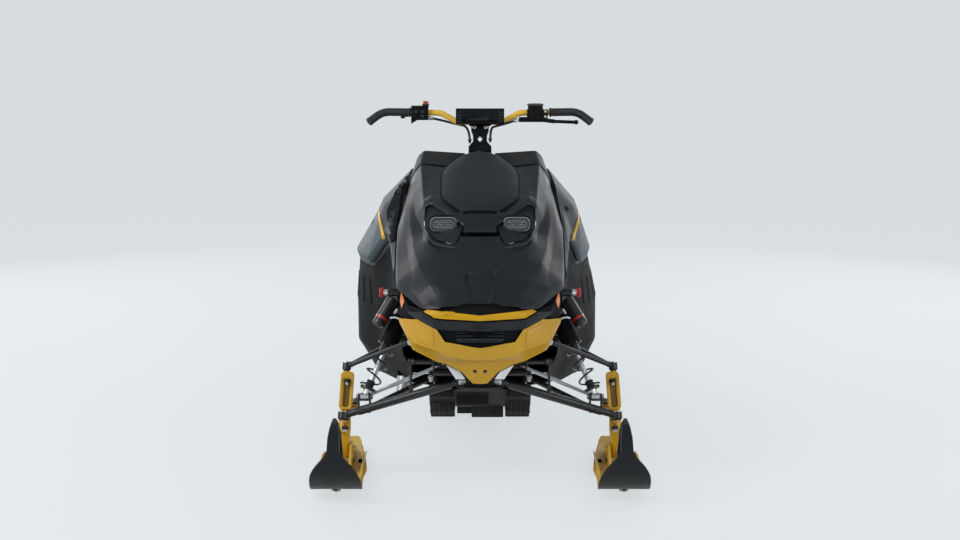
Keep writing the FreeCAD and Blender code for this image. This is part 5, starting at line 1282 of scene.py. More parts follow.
def coil(radius, wire, turns, low, high, base, axis, sides=12, steps=40):
    """Helix of a round wire about an axis line, from low to high along it: (R cos a, R sin a, h a / 2 pi)."""
    u = unit(np.cross((0.0, 1, 0), axis))
    v = np.cross(axis, u)
    t = np.linspace(0, 1, int(turns * steps) + 1)
    a = 2 * math.pi * turns * t
    ring = np.outer(np.cos(a), u) + np.outer(np.sin(a), v)
    return tube_mesh(base + np.outer(low + (high - low) * t, axis) + radius * ring, wire, sides)


def on_shock(profile, sides=36):
    """Lathe form about a front damper's axis, from its lower eye."""
    return turned_mesh(profile, SHOCK_LOW, SHOCK_AXIS, sides)


def build_shocks():
    """Coil-over dampers: chrome shaft, bump stop, threaded body, collars and springs."""
    n = SHOCK_LENGTH
    thread_z = np.arange(0.180, 0.326, 0.0014)
    thread = np.c_[thread_z, 0.0212 + 0.0006 * (np.arange(len(thread_z)) % 2)]
    body = [(0.176, 0.012), (0.176, 0.0175), (0.178, 0.0190), (0.1795, 0.0205)] + thread.tolist()
    body += [(0.327, 0.022), (n - 0.022, 0.022), (n - 0.018, 0.0195), (n - 0.013, 0.0125)]
    pair("damper_body", on_shock(body), "black_paint", stands_for=("shock",))
    pair("damper_shaft", on_shock([(0.012, 0.0098), (0.180, 0.0098)], 32), "chrome")
    eye = even([(-0.016, 0.0075), (-0.016, 0.013), (-0.0145, 0.015)])
    eyes = [turned_mesh(eye, p, (1, 0, 0), 32) for p in (SHOCK_LOW, SHOCK_TOP)]
    eyes.append(on_shock([(0.010, 0.011), (0.020, 0.0115), (0.027, 0.0135), (0.0285, 0.0165)]))
    pair("damper_eyes", eyes, "aluminium")
    seat = [(0.028, 0.013), (0.028, 0.029), (0.0295, 0.0302), (0.0365, 0.0302), (0.038, 0.029), (0.038, 0.013)]
    pair("spring_seats", on_shock(seat), "black_paint")
    collars = []
    for z0, z1 in ((n - 0.0760, n - 0.0700), (n - 0.0690, n - 0.0625)):
        rim = [(z0, 0.023), (z0, 0.0298), (z0 + 0.001, 0.0308)]
        collars.append(on_shock(rim + [(z1 - 0.001, 0.0308), (z1, 0.0298), (z1, 0.023)]))
    u = unit(np.cross(SHOCK_AXIS, (0, 1, 0)))
    v = np.cross(SHOCK_AXIS, u)
    for a in 2 * math.pi * np.arange(10) / 10:
        collars.append(turned_mesh([(0.029, 0.0022), (0.0312, 0.0022), (0.0312, 0.0015)],
                                   SHOCK_LOW + SHOCK_AXIS * (n - 0.073), u * math.cos(a) + v * math.sin(a), 8))
    pair("spring_collars", collars, "aluminium")
    t = np.linspace(0, 1, 25)
    waist = np.c_[0.0383 + 0.0265 * t, 0.0140 + 0.0020 * np.abs(np.sin(3 * math.pi * t))]
    pair("bump_stop", on_shock([(0.0383, 0.0125), *waist, (0.0665, 0.009)]), "rubber")
    wire = 0.0034
    spring = coil(0.033, wire, 5, 0.0385 + wire, n - 0.0765 - wire, SHOCK_LOW, SHOCK_AXIS)
    pair("coil", spring, "spring", stands_for=("spring",))


def build_shock_guards():
    """Curved plates in front of the dampers' bodies: part of a flattened tube about the damper's axis."""
    turn, along = np.meshgrid(np.radians(np.linspace(-78, 78, 25)), np.linspace(0.212, SHOCK_LENGTH - 0.085, 14))
    ahead = unit(np.array((0.0, -1, 0)) - SHOCK_AXIS * -SHOCK_AXIS[1])
    aside = np.cross(SHOCK_AXIS, ahead)
    reach = (0.0405 + 0.004 * np.cos(2 * turn))[..., None]
    shell = (SHOCK_LOW + along[..., None] * SHOCK_AXIS
             + reach * (np.cos(turn)[..., None] * ahead + np.sin(turn)[..., None] * aside))
    pair("shock_guard", surface(shell), "black", wall=0.0025, bevel=0.0008)


def knurled(radius, depth, teeth):
    """Round outline whose radius steps up and down by depth, once for each tooth."""
    a = np.linspace(0, 2 * math.pi, teeth * 4, endpoint=False)
    r = radius + depth * np.sign(np.sin(a * teeth))
    return np.c_[r * np.cos(a), r * np.sin(a)]


def build_bottles():
    """Side bottles with a red ring and a cap, their bridges to the dampers, red adjusters and bolts."""
    d = unit(RES_TOP - RES_LOW)
    length = math.dist(RES_TOP, RES_LOW)
    bottle = [(0.0, 0.012), (0.0, 0.021), (0.002, 0.0238), (0.006, 0.025), (0.014, 0.025), (0.0145, 0.0242),
              (0.0175, 0.0242), (0.018, 0.025), (length - 0.019, 0.025), (length - 0.0185, 0.0240),
              (length - 0.014, 0.0240), (length - 0.0135, 0.025), (length - 0.004, 0.025), (length, 0.021),
              (length, 0.012)]
    pair("bottle", turned_mesh(bottle, RES_LOW, d, 40), "black_paint")
    ring = [(0.0235, 0.0248), (0.0240, 0.0254), (0.0325, 0.0254), (0.0330, 0.0248)]
    pair("bottle_ring", turned_mesh(ring, RES_LOW, d, 40), "red")
    cap = [turned_mesh([(-0.0022, 0.006), (-0.0022, 0.0135), (0.0, 0.0150)], RES_LOW, d, 30),
           turned_mesh([(-0.0060, 0.0025), (-0.0060, 0.0045), (-0.0015, 0.0048)], RES_LOW, d, 18)]
    pair("bottle_cap", cap, "plate_black")
    start, end = SHOCK_LOW + SHOCK_AXIS * (SHOCK_LENGTH - 0.040), RES_TOP - d * 0.016
    span = [(0.018, 0.0145), (math.dist(end, start) - 0.018, 0.0145)]
    boss = [(0.0, 0.013), (0.0008, 0.0145), (0.036, 0.0145), (0.037, 0.0135)]
    pair("bottle_bridge", [turned_mesh(span, start, unit(end - start), 28),
                           turned_mesh(boss, (0.2965, KNOB[1], KNOB[2]), (1, 0, 0), 28)], "black_paint")
    pair("adjuster", placed(slab_mesh(knurled(0.0160, 0.0008, 18), 0.0005, 0.0158, 0.0012), SIDE, KNOB), "red")
    collar = [(-0.0155, 0.0095), (-0.0150, 0.0118), (-0.004, 0.0118), (-0.0035, 0.0100), (0.0004, 0.0098)]
    pair("adjuster_collar", turned_mesh(collar, KNOB, (1, 0, 0), 28), "aluminium")
    bolts = []
    for p, reach in ((SHOCK_LOW, 0.0242), (SHOCK_LOW, -0.0242), (SHOCK_TOP, 0.0165)):
        bolts.append(hex_head(p + (reach, 0, 0), (math.copysign(1, reach), 0, 0), 0.015, 0.007))
    pair("damper_bolts", bolts, "steel")


def build_tie_rods():
    """Polished tubes with crimped flats and jam nuts at both ends; the heads sit on the spindles' pins."""
    d = unit(TIE_INNER - TIE_OUTER)
    n = math.dist(TIE_INNER, TIE_OUTER)
    tube = [(0.058, 0.0045), (0.060, 0.0070), (0.064, 0.0075), (n - 0.034, 0.0075), (n - 0.031, 0.0070)]
    pair("tie_tube", turned_mesh(tube, TIE_OUTER, d, 30), "polished", "tie_rod", stands_for=("tie_rod",))
    shank = [(0.012, 0.0088), (0.030, 0.0080), (0.046, 0.0060), (0.060, 0.0060)]
    outer_nut = [(0.0475, 0.0058), (0.0475, 0.0100), (0.0555, 0.0100), (0.0555, 0.0058)]
    inner_nut = [(n - 0.0310, 0.0060), (n - 0.0310, 0.0095), (n - 0.0230, 0.0095), (n - 0.0230, 0.0060)]
    eye = [(n - 0.024, 0.0065), (n - 0.010, 0.0070), (n - 0.004, 0.0100), (n + 0.003, 0.0100),
           (n + 0.006, 0.0080)]
    ends = ((shank, 26), (outer_nut, 6), (inner_nut, 6), (eye, 26))
    pair("tie_ends", [turned_mesh(profile, TIE_OUTER, d, sides) for profile, sides in ends], "steel", "tie_rod")
    head = [(-0.0088, 0.0055), (-0.0090, 0.0125), (-0.0070, 0.0150), (0.0070, 0.0150), (0.0088, 0.0125),
            (0.0090, 0.0030)]
    pair("tie_heads", turned_mesh(head, TIE_OUTER, KINGPIN, 32), "cast", "tie_rod")
    boot = bellows(TIE_OUTER - KINGPIN * 0.0092, -KINGPIN, 0.0042, 0.0128, 0.0095, 1)
    pair("tie_boots", boot, "rubber", "tie_rod")


SPINDLE_FRONT = unit(np.array((0.0, -1, 0)) - KINGPIN * -KINGPIN[1])
SPINDLE_SIDE = np.cross(KINGPIN, -SPINDLE_FRONT)
# Column's front face: height along the kingpin line from the lower ball, and distance in front of that line.
COLUMN = table([(20, -14), (60, -11), (90, -7), (120, -3), (134, 4), (150, 8), (166, 8)])


def on_spindle(u, v, f):
    """Places given inwards, up along and in front of the kingpin line, in the row frame."""
    u, v, f = (np.asarray(c, float)[..., None] for c in (u, v, f))
    return LOWER_BALL + u * SPINDLE_SIDE + v * KINGPIN + f * SPINDLE_FRONT


def on_column(part, lift=0.0):
    """A slab (u, v, height) laid on the spindle column's front face."""
    verts, faces = part
    u, v, height = verts.T
    return on_spindle(u, v, height + np.interp(v, COLUMN[:, 0], COLUMN[:, 1]) + lift), flipped(faces)


def build_spindles():
    """Yellow castings with rounded edges; on each a frame round its long slot, ball joints' boots and nuts."""
    for side, _ in SIDES:
        refined(f"spindle_{side}", "yellow_paint", 0.0022, 3)
    outer = round_outline(table([(-19, 24), (30, 24), (30.5, 163), (-18.5, 163)]), 0.018, 6)
    slot = round_outline(table([(-5, 33), (18, 33), (18.5, 130), (-4.5, 130)]), 0.011, 6)
    rim, hole = on_column(slab_mesh(outer, -0.003, 0.006, 0.0022, 3)), on_column(slab_mesh(slot, -0.02, 0.02))
    for side, s in SIDES:
        carved(make(f"spindle_face_{side}", handed(rim, s), "yellow_paint", f"ski_{side}"), handed(hole, s))
    # The slot's floor in darker ochre: painted shade in the recess.
    pair("slot_floor", on_column(slab_mesh(slot, 0.0, 0.0012), 0.0004), "keel", "ski")
    boot = [(0.0, 0.009), (0.002, 0.0125), (0.008, 0.0130), (0.014, 0.0105), (0.016, 0.007)]
    boots, nuts = [], [hex_head(TIE_OUTER - KINGPIN * 0.0322, -KINGPIN, 0.013, 0.008)]
    for place in ((0.0065, 0.134, 0.011), (0.012, -0.040, 0.013)):
        p = on_spindle(*place)
        boots.append(turned_mesh(boot, p, -KINGPIN, 24))
        nuts.append(hex_head(p - KINGPIN * 0.0155, -KINGPIN, 0.012, 0.008))
    pair("joint_boots", boots, "rubber", "ski")
    nuts.append(hex_head((0.4965, -1.0710, 0.200), (0, -1, 0), 0.011, 0.004))
    pair("spindle_nuts", nuts, "steel", "ski")


def build_sway_bar():
    """Sway bar, its drop links' ends and the bushes in its clamps."""
    refined("sway_bar", "black_paint", 0.0006)
    parts = []
    for z in (0.3375, SWAY_Z - 0.010):
        parts.append(turned_mesh([(0, 0.0085), (0.010, 0.0085)], (0.250, SWAY_Y + 0.046, z), (0, 0, 1), 6))
    parts.append(spool((0.250, SWAY_Y + 0.046, SWAY_Z - 0.006), (1, 0, 0), 0.0105, 0.0108))
    pair("link_ends", parts, "black_paint")
    bush = even([(-0.014, 0.0130), (-0.013, 0.0150)])
    pair("sway_bushes", turned_mesh(bush, (0.150, SWAY_Y, SWAY_Z), (1, 0, 0), 28), "rubber")


# Heads of the frame's bolts on its side plates, Y, Z.
PLATE_BOLTS = table([(-1190, 420), (-1190, 460), (-1150, 375), (-850, 500), (-850, 400), (-950, 600),
                     (-1060, 500)])


def build_frame_tubes():
    """Front frame and engine block, with plates and bolts, the bumper's stays and plain round covers."""
    refined("front_frame", "plate_black", 0.0012)
    refined("engine", "cast", 0.004, 3)
    wing = table([(122, 452), (72, 427), (52, 400), (86, 398)])
    make("nose_plates", both(placed(rounded_plate(wing, 0.003, 1.296, 1.300, 0.001), FRONT)), "aluminium")
    stay = table([(284, -1226, 603), (304, -1206, 607), (322, -1180, 600)])
    make("bumper_stays", both(tube_mesh(smooth_path(stay, 16), 0.0034, 12)), "polished")
    make("plate_bolts", both([hex_head((0.1702, *p), (1, 0, 0), 0.011, 0.005) for p in PLATE_BOLTS]), "steel")
    cover = [(0, 0.035), (0.004, 0.038), (0.010, 0.038), (0.012, 0.030)]
    covers = [turned_mesh(cover, (0.1725, -0.70, z), (1, 0, 0), 36) for z in (0.46, 0.585)]
    make("engine_covers", covers, "steel")


# Skis

# Plan in mm: Y, half width towards the machine, half width away from it.
SKI_PLAN = [(-1600, 16, 16), (-1585, 34, 34), (-1545, 68, 66), (-1490, 90, 86), (-1420, 94, 88), (-1250, 90, 84),
            (-1120, 98, 84), (-900, 84, 74), (-640, 58, 56), (-600, 46, 46)]
SKI_BASE, SKI_THICK, SKI_BEND_Y, SKI_BEND_R = 0.026, 0.009, -1.395, 0.225
# Carrying loop from the side, Y, Z, outer and inner edge; and its half width from the front, X, Z.
LOOP_OUTER = table([(-1580, 160), (-1594, 190), (-1578, 218), (-1514, 276), (-1456, 292), (-1290, 34)])
LOOP_INNER = table([(-1562, 150), (-1566, 188), (-1552, 206), (-1502, 250), (-1464, 264), (-1318, 34)])
LOOP_FRONT = table([(0, 20), (25, 20), (24, 150), (20, 240), (14, 268), (4, 290), (0, 293)])
# Shovel: angle along its arc in degrees, half width towards the machine and away from it in mm.
SHOVEL = [(6.3, 92, 86), (14, 95, 87), (30, 96, 87.5), (40, 94, 87), (48, 88, 85), (56, 79, 77), (63, 66, 65),
          (70, 47, 47), (75, 34, 34), (80, 25, 25)]
SHOVEL_R, SHOVEL_Y = 0.200, -1.398


def deck_height(y):
    """Top of the plank: level, then an arc of SKI_BEND_R up to the tip."""
    r = SKI_BEND_R - SKI_THICK
    d = np.clip(SKI_BEND_Y - np.asarray(y, float), 0, r * 0.999)
    return SKI_BASE + SKI_BEND_R - np.sqrt(r * r - d * d) + np.clip((y + 0.670) / 0.070, 0, 1) * 0.016


def deck_plate(y0, y1, a, b, lift, count=60):
    """Plate on the ski's deck between two Y and two shares of its half widths, -1 inner edge to 1 outer edge,
    lifted above the deck."""
    plan = table(SKI_PLAN)
    y = np.linspace(y0, y1, count)
    inner, outer = np.interp(y, plan[:, 0], plan[:, 1]), np.interp(y, plan[:, 0], plan[:, 2])
    u = a + (b - a) * np.linspace(0, 1, 7)[None]
    x = SKI_X + np.where(u < 0, u * inner[:, None], u * outer[:, None])
    y, z = (np.broadcast_to(v[:, None], x.shape) for v in (y, deck_height(y) + lift))
    return np.stack([x, y, z], -1)


def shovel_grid(low=-1.0, high=1.0, lift=0.0, count=60, across=25):
    """Upturned tip: an arc of R = SHOVEL_R at angle t, (Y, Z) = (SHOVEL_Y - R sin t, SKI_BASE + R (1 - cos t)),
    spread over its half widths and dished by 3 mm across. lift moves it off its upper side."""
    t = np.array(SHOVEL, float)
    angle = np.linspace(t[0, 0], t[-1, 0], count)
    inner, outer = (flow(t[:, 0], t[:, k] * MM, angle)[:, None] for k in (1, 2))
    a = np.radians(angle)[:, None]
    u = np.linspace(low, high, across)[None]
    r = SHOVEL_R - lift - 0.003 * (1 - u * u) * np.sin(a)
    x = SKI_X + np.where(u < 0, u * inner, u * outer)
    return np.stack([x, SHOVEL_Y - r * np.sin(a), SKI_BASE + SHOVEL_R - r * np.cos(a)], -1)


def build_skis():
    """Skis: the frame's plank with rounded edges, raised ribs on the deck, a broad upturned tip, carrying loop,
    keel, runner and bolts."""
    for side, _ in SIDES:
        refined(f"ski_{side}", "ski_yellow", 0.0016)
    tip = surface(shovel_grid()[:, ::-1])
    pair("ski_tip", tip, "ski_black", "ski", ("ski_nose",), wall=-0.008, bevel=0.0025, segments=3)
    loop = round_outline(np.concatenate([LOOP_OUTER, LOOP_INNER[::-1]]), 0.012)[::-1]
    front = np.concatenate([LOOP_FRONT, LOOP_FRONT[-2:0:-1] * [-1, 1]]) + [SKI_X, 0]
    slab = placed(slab_mesh(loop, SKI_X - 0.026, SKI_X + 0.026, 0.004), SIDE)
    within = prism_mesh(front, -1.62, -1.30)
    for side, s in SIDES:
        obj = make(f"ski_loop_{side}", handed(slab, s), "ski_black", f"ski_{side}")
        carved(obj, handed(within, s), keep="INTERSECT")
        rounded_edges(obj, 0.0022, 3, 40)
    # keel's front end: a wedge under the plank
    y = table([-1440, -1392, -1340, -1200])[:, None]
    half, low = table([4, 19, 20, 17])[:, None], table([27, 10, 9.5, 9.5])[:, None]
    section = np.array([(-1.0, 1), (-0.22, 0), (0.22, 0), (1.0, 1)])
    keel = np.stack([SKI_X + section[None, :, 0] * half, np.broadcast_to(y, (4, 4)),
                     low + (0.0285 - low) * section[None, :, 1]], -1)
    # Its darker ochre is painted shade under the plank.
    pair("keel_wedge", (keel.reshape(-1, 3), ring_faces(4, 4)), "keel", "ski", bevel=0.0012)
    ribs = [deck_plate(-1.400, -0.700, a, a + 0.10, 0.004) for a in (-0.94, 0.84)]
    ribs += [deck_plate(-1.405, -1.300, a, a + 0.10, 0.003) for a in (-0.62, 0.56)]
    pair("deck_ribs", [surface(g) for g in ribs], "ski_yellow", "ski", wall=0.0042, bevel=0.0012)
    shares = ((-0.90, -0.78), (-0.52, -0.42), (0.42, 0.52), (0.78, 0.90))
    ribs = [surface(shovel_grid(a, b, 0.0115, 50, 5)) for a, b in shares]
    pair("tip_ribs", ribs, "ski_black", "ski", wall=0.0042, bevel=0.0012)
    block = rounded_plate(rect(-0.0075, -0.0075, 0.0075, 0.0075), 0.0015, 0.0, 0.011, 0.001, 2)
    blocks = [placed(block, UP, (SKI_X + x, -1.000, SKI_BASE + SKI_THICK - 0.001)) for x in (-0.037, -0.069)]
    pair("deck_bolts", blocks, "black", "ski")
    bolts = []
    for y, z in ((-1.3205, 0.060), (-1.3335, 0.082)):
        bolts += [rivet((SKI_X + 0.0245 * k, y, z), (k, 0, 0), 0.006) for k in (-1, 1)]
    for y in (-1.22, -0.86):
        for x in (SKI_X - 0.008, SKI_X + 0.008):
            bolts.append(hex_head((x, y, SKI_BASE + SKI_THICK - 0.0004), (0, 0, 1), 0.009, 0.004))
    bolts.append(hex_head((SKI_X - 0.0543, *SKI_BOLT[1:]), (-1, 0, 0), 0.019, 0.008))
    bolts.append(hex_head((SKI_X + 0.0403, *SKI_BOLT[1:]), (1, 0, 0), 0.019, 0.010))
    pair("ski_bolts", bolts, "steel", "ski")
    runner = [(0, 0.0015), (0.004, 0.0045), (0.010, 0.00515), (0.470, 0.00515), (0.476, 0.0045), (0.480, 0.0015)]
    pair("ski_runner", turned_mesh(runner, (SKI_X, -1.300, 0.0052), (0, 1, 0), 16), "steel", "ski")


# Track: one loop round the driver, the rails' bend and the rear wheels

DRIVER, REAR_WHEEL, UPPER_WHEEL, RAIL_BEND = table([(-330, 375), (1178, 151), (560, 378), (60, 380)])
DRIVER_R, REAR_R, UPPER_R, BEND_R = table([92, 101, 58, 330])
BELT, LUG_H, LUG_ROWS = 0.006, 0.044, 52
OUTER_LUGS = ((-0.200, -0.102), (0.102, 0.200))
LUG_ROW = [OUTER_LUGS, ((-0.094, 0.034),), OUTER_LUGS, ((-0.034, 0.094),)]


def shared_angle(c0, r0, c1, r1, side):
    """Angle of the outward normal shared by two circles on one side of their line."""
    d = c1 - c0
    return math.atan2(d[1], d[0]) + side * math.acos((r0 - r1) / math.hypot(*d))


def track_line(offset, count):
    """count points (Y, Z) at even steps along the loop, from the lowest point of the rear wheels, and their
    outward normals. The loop is four arcs and the lines between them."""
    rear = shared_angle(UPPER_WHEEL, UPPER_R, REAR_WHEEL, REAR_R, 1)
    top = shared_angle(DRIVER, DRIVER_R, UPPER_WHEEL, UPPER_R, 1)
    front = shared_angle(DRIVER, DRIVER_R, RAIL_BEND, BEND_R, -1)
    front += 2 * math.pi
    spans = ((REAR_WHEEL, REAR_R, -math.pi / 2, rear), (UPPER_WHEEL, UPPER_R, rear, top),
             (DRIVER, DRIVER_R, top, front), (RAIL_BEND, BEND_R, front, 1.5 * math.pi))
    pts, nrm = [], []
    for c, r, a0, a1 in spans:
        a = np.linspace(a0, a1, 240)
        n = np.stack([np.cos(a), np.sin(a)], 1)
        pts.append(c + n * (r + offset))
        nrm.append(n)
    p, n = np.concatenate(pts + [pts[0][:1]]), np.concatenate(nrm + [nrm[0][:1]])
    s = run_length(p)
    at = np.arange(count) / count * s[-1]
    normal = read_at(at, s, n)
    return read_at(at, s, p), normal / np.linalg.norm(normal, axis=1, keepdims=True)


def paddle(x0, x1, origin, tangent, normal, waves):
    """One lug: a tapered blade whose faces ripple along X with a cosine, and a rounded crown."""
    n = 4 * waves + 1
    u = np.linspace(0, 1, n)
    x = x0 + (x1 - x0) * u
    ripple = 0.0016 * np.cos(2 * math.pi * waves * u)
    ends = np.clip(np.minimum(u, 1 - u) * (x1 - x0) / 0.004, 0, 1)
    h = np.array([-0.002, 0.010, 0.030, LUG_H - 0.0015, LUG_H])
    half = np.array([0.0095, 0.0070, 0.0052, 0.0042, 0.0026])
    rows = []
    for sign, order in ((-1, range(len(h))), (1, range(len(h) - 1, -1, -1))):
        for k in order:
            off = sign * (half[k] + ripple * (0.4 + 0.6 * (k > 0))) * (0.72 + 0.28 * ends)
            drop = np.where(ends < 1, 0.0015, 0.0) * (k >= len(h) - 2)
            yz = origin[None] + tangent[None] * off[:, None] + normal[None] * (h[k] - drop)[:, None]
            rows.append(np.c_[x, yz])
    m = len(rows)
    ends = [tuple(range(0, m * n, n)), tuple(range(m * n - 1, 0, -n))]
    return np.concatenate(rows), [tuple(q) for q in grid_quads(m, n)] + ends


def build_track():
    """Belt with rounded edges, rippled lugs in staggered rows, and steel clips."""
    count = 416
    inner, n = track_line(0.0, count)
    x = np.array([-0.2030, -0.2022, -0.2000, 0.2000, 0.2022, 0.2030, 0.2022, 0.2000, -0.2000, -0.2022])
    h = np.array([0.0030, 0.0052, 0.0060, 0.0060, 0.0052, 0.0030, 0.0008, 0.0, 0.0, 0.0008])
    verts = np.concatenate([np.broadcast_to(x[None, :, None], (count, len(x), 1)),
                            inner[:, None] + n[:, None] * h[None, :, None]], -1)
    k = len(x)
    i, j = np.meshgrid(np.arange(count), np.arange(k), indexing="ij")
    a, b = i * k + j, i * k + (j + 1) % k
    up = (i + 1) % count * k
    faces = np.stack([a, up + j, up + (j + 1) % k, b], -1).reshape(-1, 4)
    make("track_belt", (verts.reshape(-1, 3), faces), "track", stands_for=("track",), smooth=40)
    base, _ = track_line(BELT, LUG_ROWS * 4)
    clip, clip_faces = rounded_plate(rect(-0.017, -0.010, 0.017, 0.010), 0.003, 0.0, 0.0012, steps=2)
    lugs, clips = [], []
    for r in range(LUG_ROWS):
        p = base[4 * r + 1]
        t = unit(base[(4 * r + 2) % len(base)] - p)
        normal = np.array([t[1], -t[0]])
        for x0, x1 in LUG_ROW[r % 4]:
            lugs.append(paddle(x0, x1, p, t, normal, 5 if x1 - x0 < 0.11 else 6))
        middle = (p + base[(4 * r + 5) % len(base)]) / 2
        yz = middle + np.outer(clip[:, 1], t) + np.outer(clip[:, 2] - 0.0002, normal)
        clips += [(np.c_[x + clip[:, 0], yz], clip_faces) for x in (-0.132, 0.132)]
    make("track_lugs", lugs, "track", smooth=50)
    make("track_clips", clips, "steel")


def hub_wheel(centre, x, half, radius, bore, spokes=8):
    """Idler wheel: a rubber tyre ring and a moulded disc with spokes of raised ribs and a bearing cap."""
    c = (x, centre[0], centre[1])
    rim = [(-half + 0.002, radius - 0.013), (-half, radius - 0.010), (-half, radius - 0.002),
           (-half + 0.002, radius)]
    web = [(-half + 0.003, bore), (-half + 0.003, bore + 0.010), (-0.004, bore + 0.013),
           (-0.004, radius - 0.018), (-half + 0.003, radius - 0.0135), (-half + 0.003, radius - 0.0125)]
    tyre, disc = (turned_mesh(even(profile), c, (1, 0, 0), 48) for profile in (rim, web))
    ribs = []
    for k in range(spokes):
        a = 2 * math.pi * k / spokes
        d = np.array([0, math.cos(a), math.sin(a)])
        e = np.array([0, -math.sin(a), math.cos(a)])
        r0, r1 = bore + 0.008, radius - 0.013
        v = [np.array(c) + np.array([h, 0, 0]) + d * r + e * w for h in (-half + 0.005, half - 0.005)
             for r, w in ((r0, -0.0022), (r1, -0.0018), (r1, 0.0018), (r0, 0.0022))]
        ribs.append((v, ring_faces(2, 4)))
    cap = [(half - 0.004, bore + 0.009), (half - 0.0005, bore + 0.0085), (half + 0.001, bore + 0.004),
           (half + 0.001, 0.004)]
    return tyre, joined([disc] + ribs), turned_mesh(cap, c, (math.copysign(1, x), 0, 0), 28)


CARRIER_R, CARRIERS = 0.064, (0.2415, 0.519, 0.778)


def rail_y(share):
    """Y at a share of the slide rails' length."""
    return RAIL_BEND[0] + share * (REAR_WHEEL[0] - RAIL_BEND[0])


def build_wheels():
    """Wheels, drive sprockets and cross shafts inside the track."""
    places = [(REAR_WHEEL, x, 0.014, REAR_R - 0.0006, 0.013) for x in (-0.172, -0.084, 0.084, 0.172)]
    places += [((rail_y(k), 0.118), s * 0.170, 0.013, CARRIER_R, 0.011) for k in CARRIERS for s in (-1, 1)]
    places += [(UPPER_WHEEL, s * 0.092, 0.013, UPPER_R - 0.0006, 0.014) for s in (-1, 1)]
    tyres, discs, caps = (list(parts) for parts in zip(*(hub_wheel(*place) for place in places)))
    make("wheel_tyres", tyres, "rubber", stands_for=("idler_wheels",))
    make("wheel_discs", discs, "black", bevel=0.0006)
    make("wheel_caps", caps, "red")
    stub = [(0.1423, 0.010), (0.187, 0.010), (0.188, 0.008)]
    shafts = [turned_mesh(even([(-0.190, 0.009), (-0.188, 0.012)]), (0, *REAR_WHEEL), (1, 0, 0), 24)]
    for s in (-1, 1):
        shafts.append(hex_head((s * 0.190, *REAR_WHEEL), (s, 0, 0), 0.019, 0.008))
        for y in map(rail_y, CARRIERS):
            shafts.append(turned_mesh(stub, (0, y, 0.118), (s, 0, 0), 20))
            shafts.append(hex_head((s * 0.188, y, 0.118), (s, 0, 0), 0.015, 0.006))
    make("wheel_shafts", shafts, "steel")
    refined("drive_axle", "black", 0.0015)
    refined("slide_rails", "black_paint", 0.0015)
    refined("skid_arms", "black_paint", 0.001)
    refined("skid_shocks", "steel", 0.0006)
    springs = []
    for top, low in skid_shock_ends():
        springs.append(coil(0.0285, 0.0034, 9, 0.052, math.dist(top, low) - 0.066, low, unit(top - low), 10, 28))
    make("skid_coils", springs, "red")
    shares = (0.02, 0.26, 0.5, 0.74, 0.98)
    bolts = [hex_head((0.1421, rail_y(share), 0.112), (1, 0, 0), 0.010, 0.004) for share in shares]
    make("rail_bolts", both(bolts), "steel")


def skid_shock_ends():
    """Top and low ends of the dampers inside the track, front then rear."""
    return [(np.array((0, -0.130, 0.412)), np.array((0, rail_y(0.054), 0.098))),
            (np.array((0, *UPPER_WHEEL)), np.array((0, rail_y(0.255), 0.098)))]


# Tunnel, boards and the rear

TUNNEL_X, TUNNEL_TOP = 0.2221, 0.6021
BOARD_Y, BOARD_STEP, BOARD_SLOTS, SLOT_LENGTH = -0.140, 1.20 / 14, 14, 0.062
BOARD_X, BOARD_TOP = 0.2223, 0.3999


def board_edge(y):
    """X of the running board's outer edge: straight, then tapered towards the rear."""
    return min(0.430, 0.430 - (y - 0.560) * (0.078 / 0.530))


def tooth(x, y):
    """Small tapered tooth across the end of a slot in a running board."""
    rings = ((0.010, 0.0012, BOARD_TOP), (0.006, 0.0006, BOARD_TOP + 0.0056))
    return [(x + u * a, y + v * b, z) for a, b, z in rings for u, v in rect(-1, -1, 1, 1)], ring_faces(2, 4)


def build_tunnel():
    """Tunnel sheet with rivet rows and anchor rings, closed-off exchanger strips; boards with toothed slots; and
    the rear bar, flap and lamp."""
    refined("tunnel", "black_paint", 0.0012)
    rivets = []
    for y in np.arange(-0.38, 1.08, 0.055):
        rivets += [rivet((TUNNEL_X, y, z), (1, 0, 0)) for z in (0.575, 0.378 if y > -0.1 else 0.350)]
    rivets += [rivet((0.196, y, TUNNEL_TOP), (0, 0, 1)) for y in np.arange(0.80, 1.33, 0.05)]
    make("tunnel_rivets", both(rivets), "aluminium")
    strips = [rounded_plate(rect(x, 0.78, x + 0.035, 1.30), 0.010, TUNNEL_TOP, TUNNEL_TOP + 0.0034, 0.0012)
              for x in (-0.185, 0.150)]
    make("tunnel_strips", strips, "aluminium")
    ring = [(0.0002, 0.0098), (0.0014, 0.0150), (0.0030, 0.0150), (0.0036, 0.0138), (0.0036, 0.0100),
            (0.0004, 0.0092)]
    anchors = [turned_mesh(ring, (x, y, 0.602), (0, 0, 1), 30) for x in (-0.12, 0.12) for y in (0.94, 1.10)]
    make("anchor_rings", anchors, "black")
    for side, _ in SIDES:
        refined(f"running_board_{side}", "black_paint", 0.0009)
    teeth = []
    for y in BOARD_Y + BOARD_STEP * np.arange(BOARD_SLOTS):
        width = board_edge(y + SLOT_LENGTH) - BOARD_X
        for k in range(3):
            x = BOARD_X + (k + 0.5) * (width - 0.010) / 3
            teeth += [tooth(x, y), tooth(x, y + SLOT_LENGTH)]
    make("board_teeth", both(teeth), "black_paint")
    refined("rear_bumper", "black_paint", 0.0006)
    refined("snow_flap", "rubber", 0.0012)
    refined("tail_light", "tail", 0.003, 3)


# Console and seat

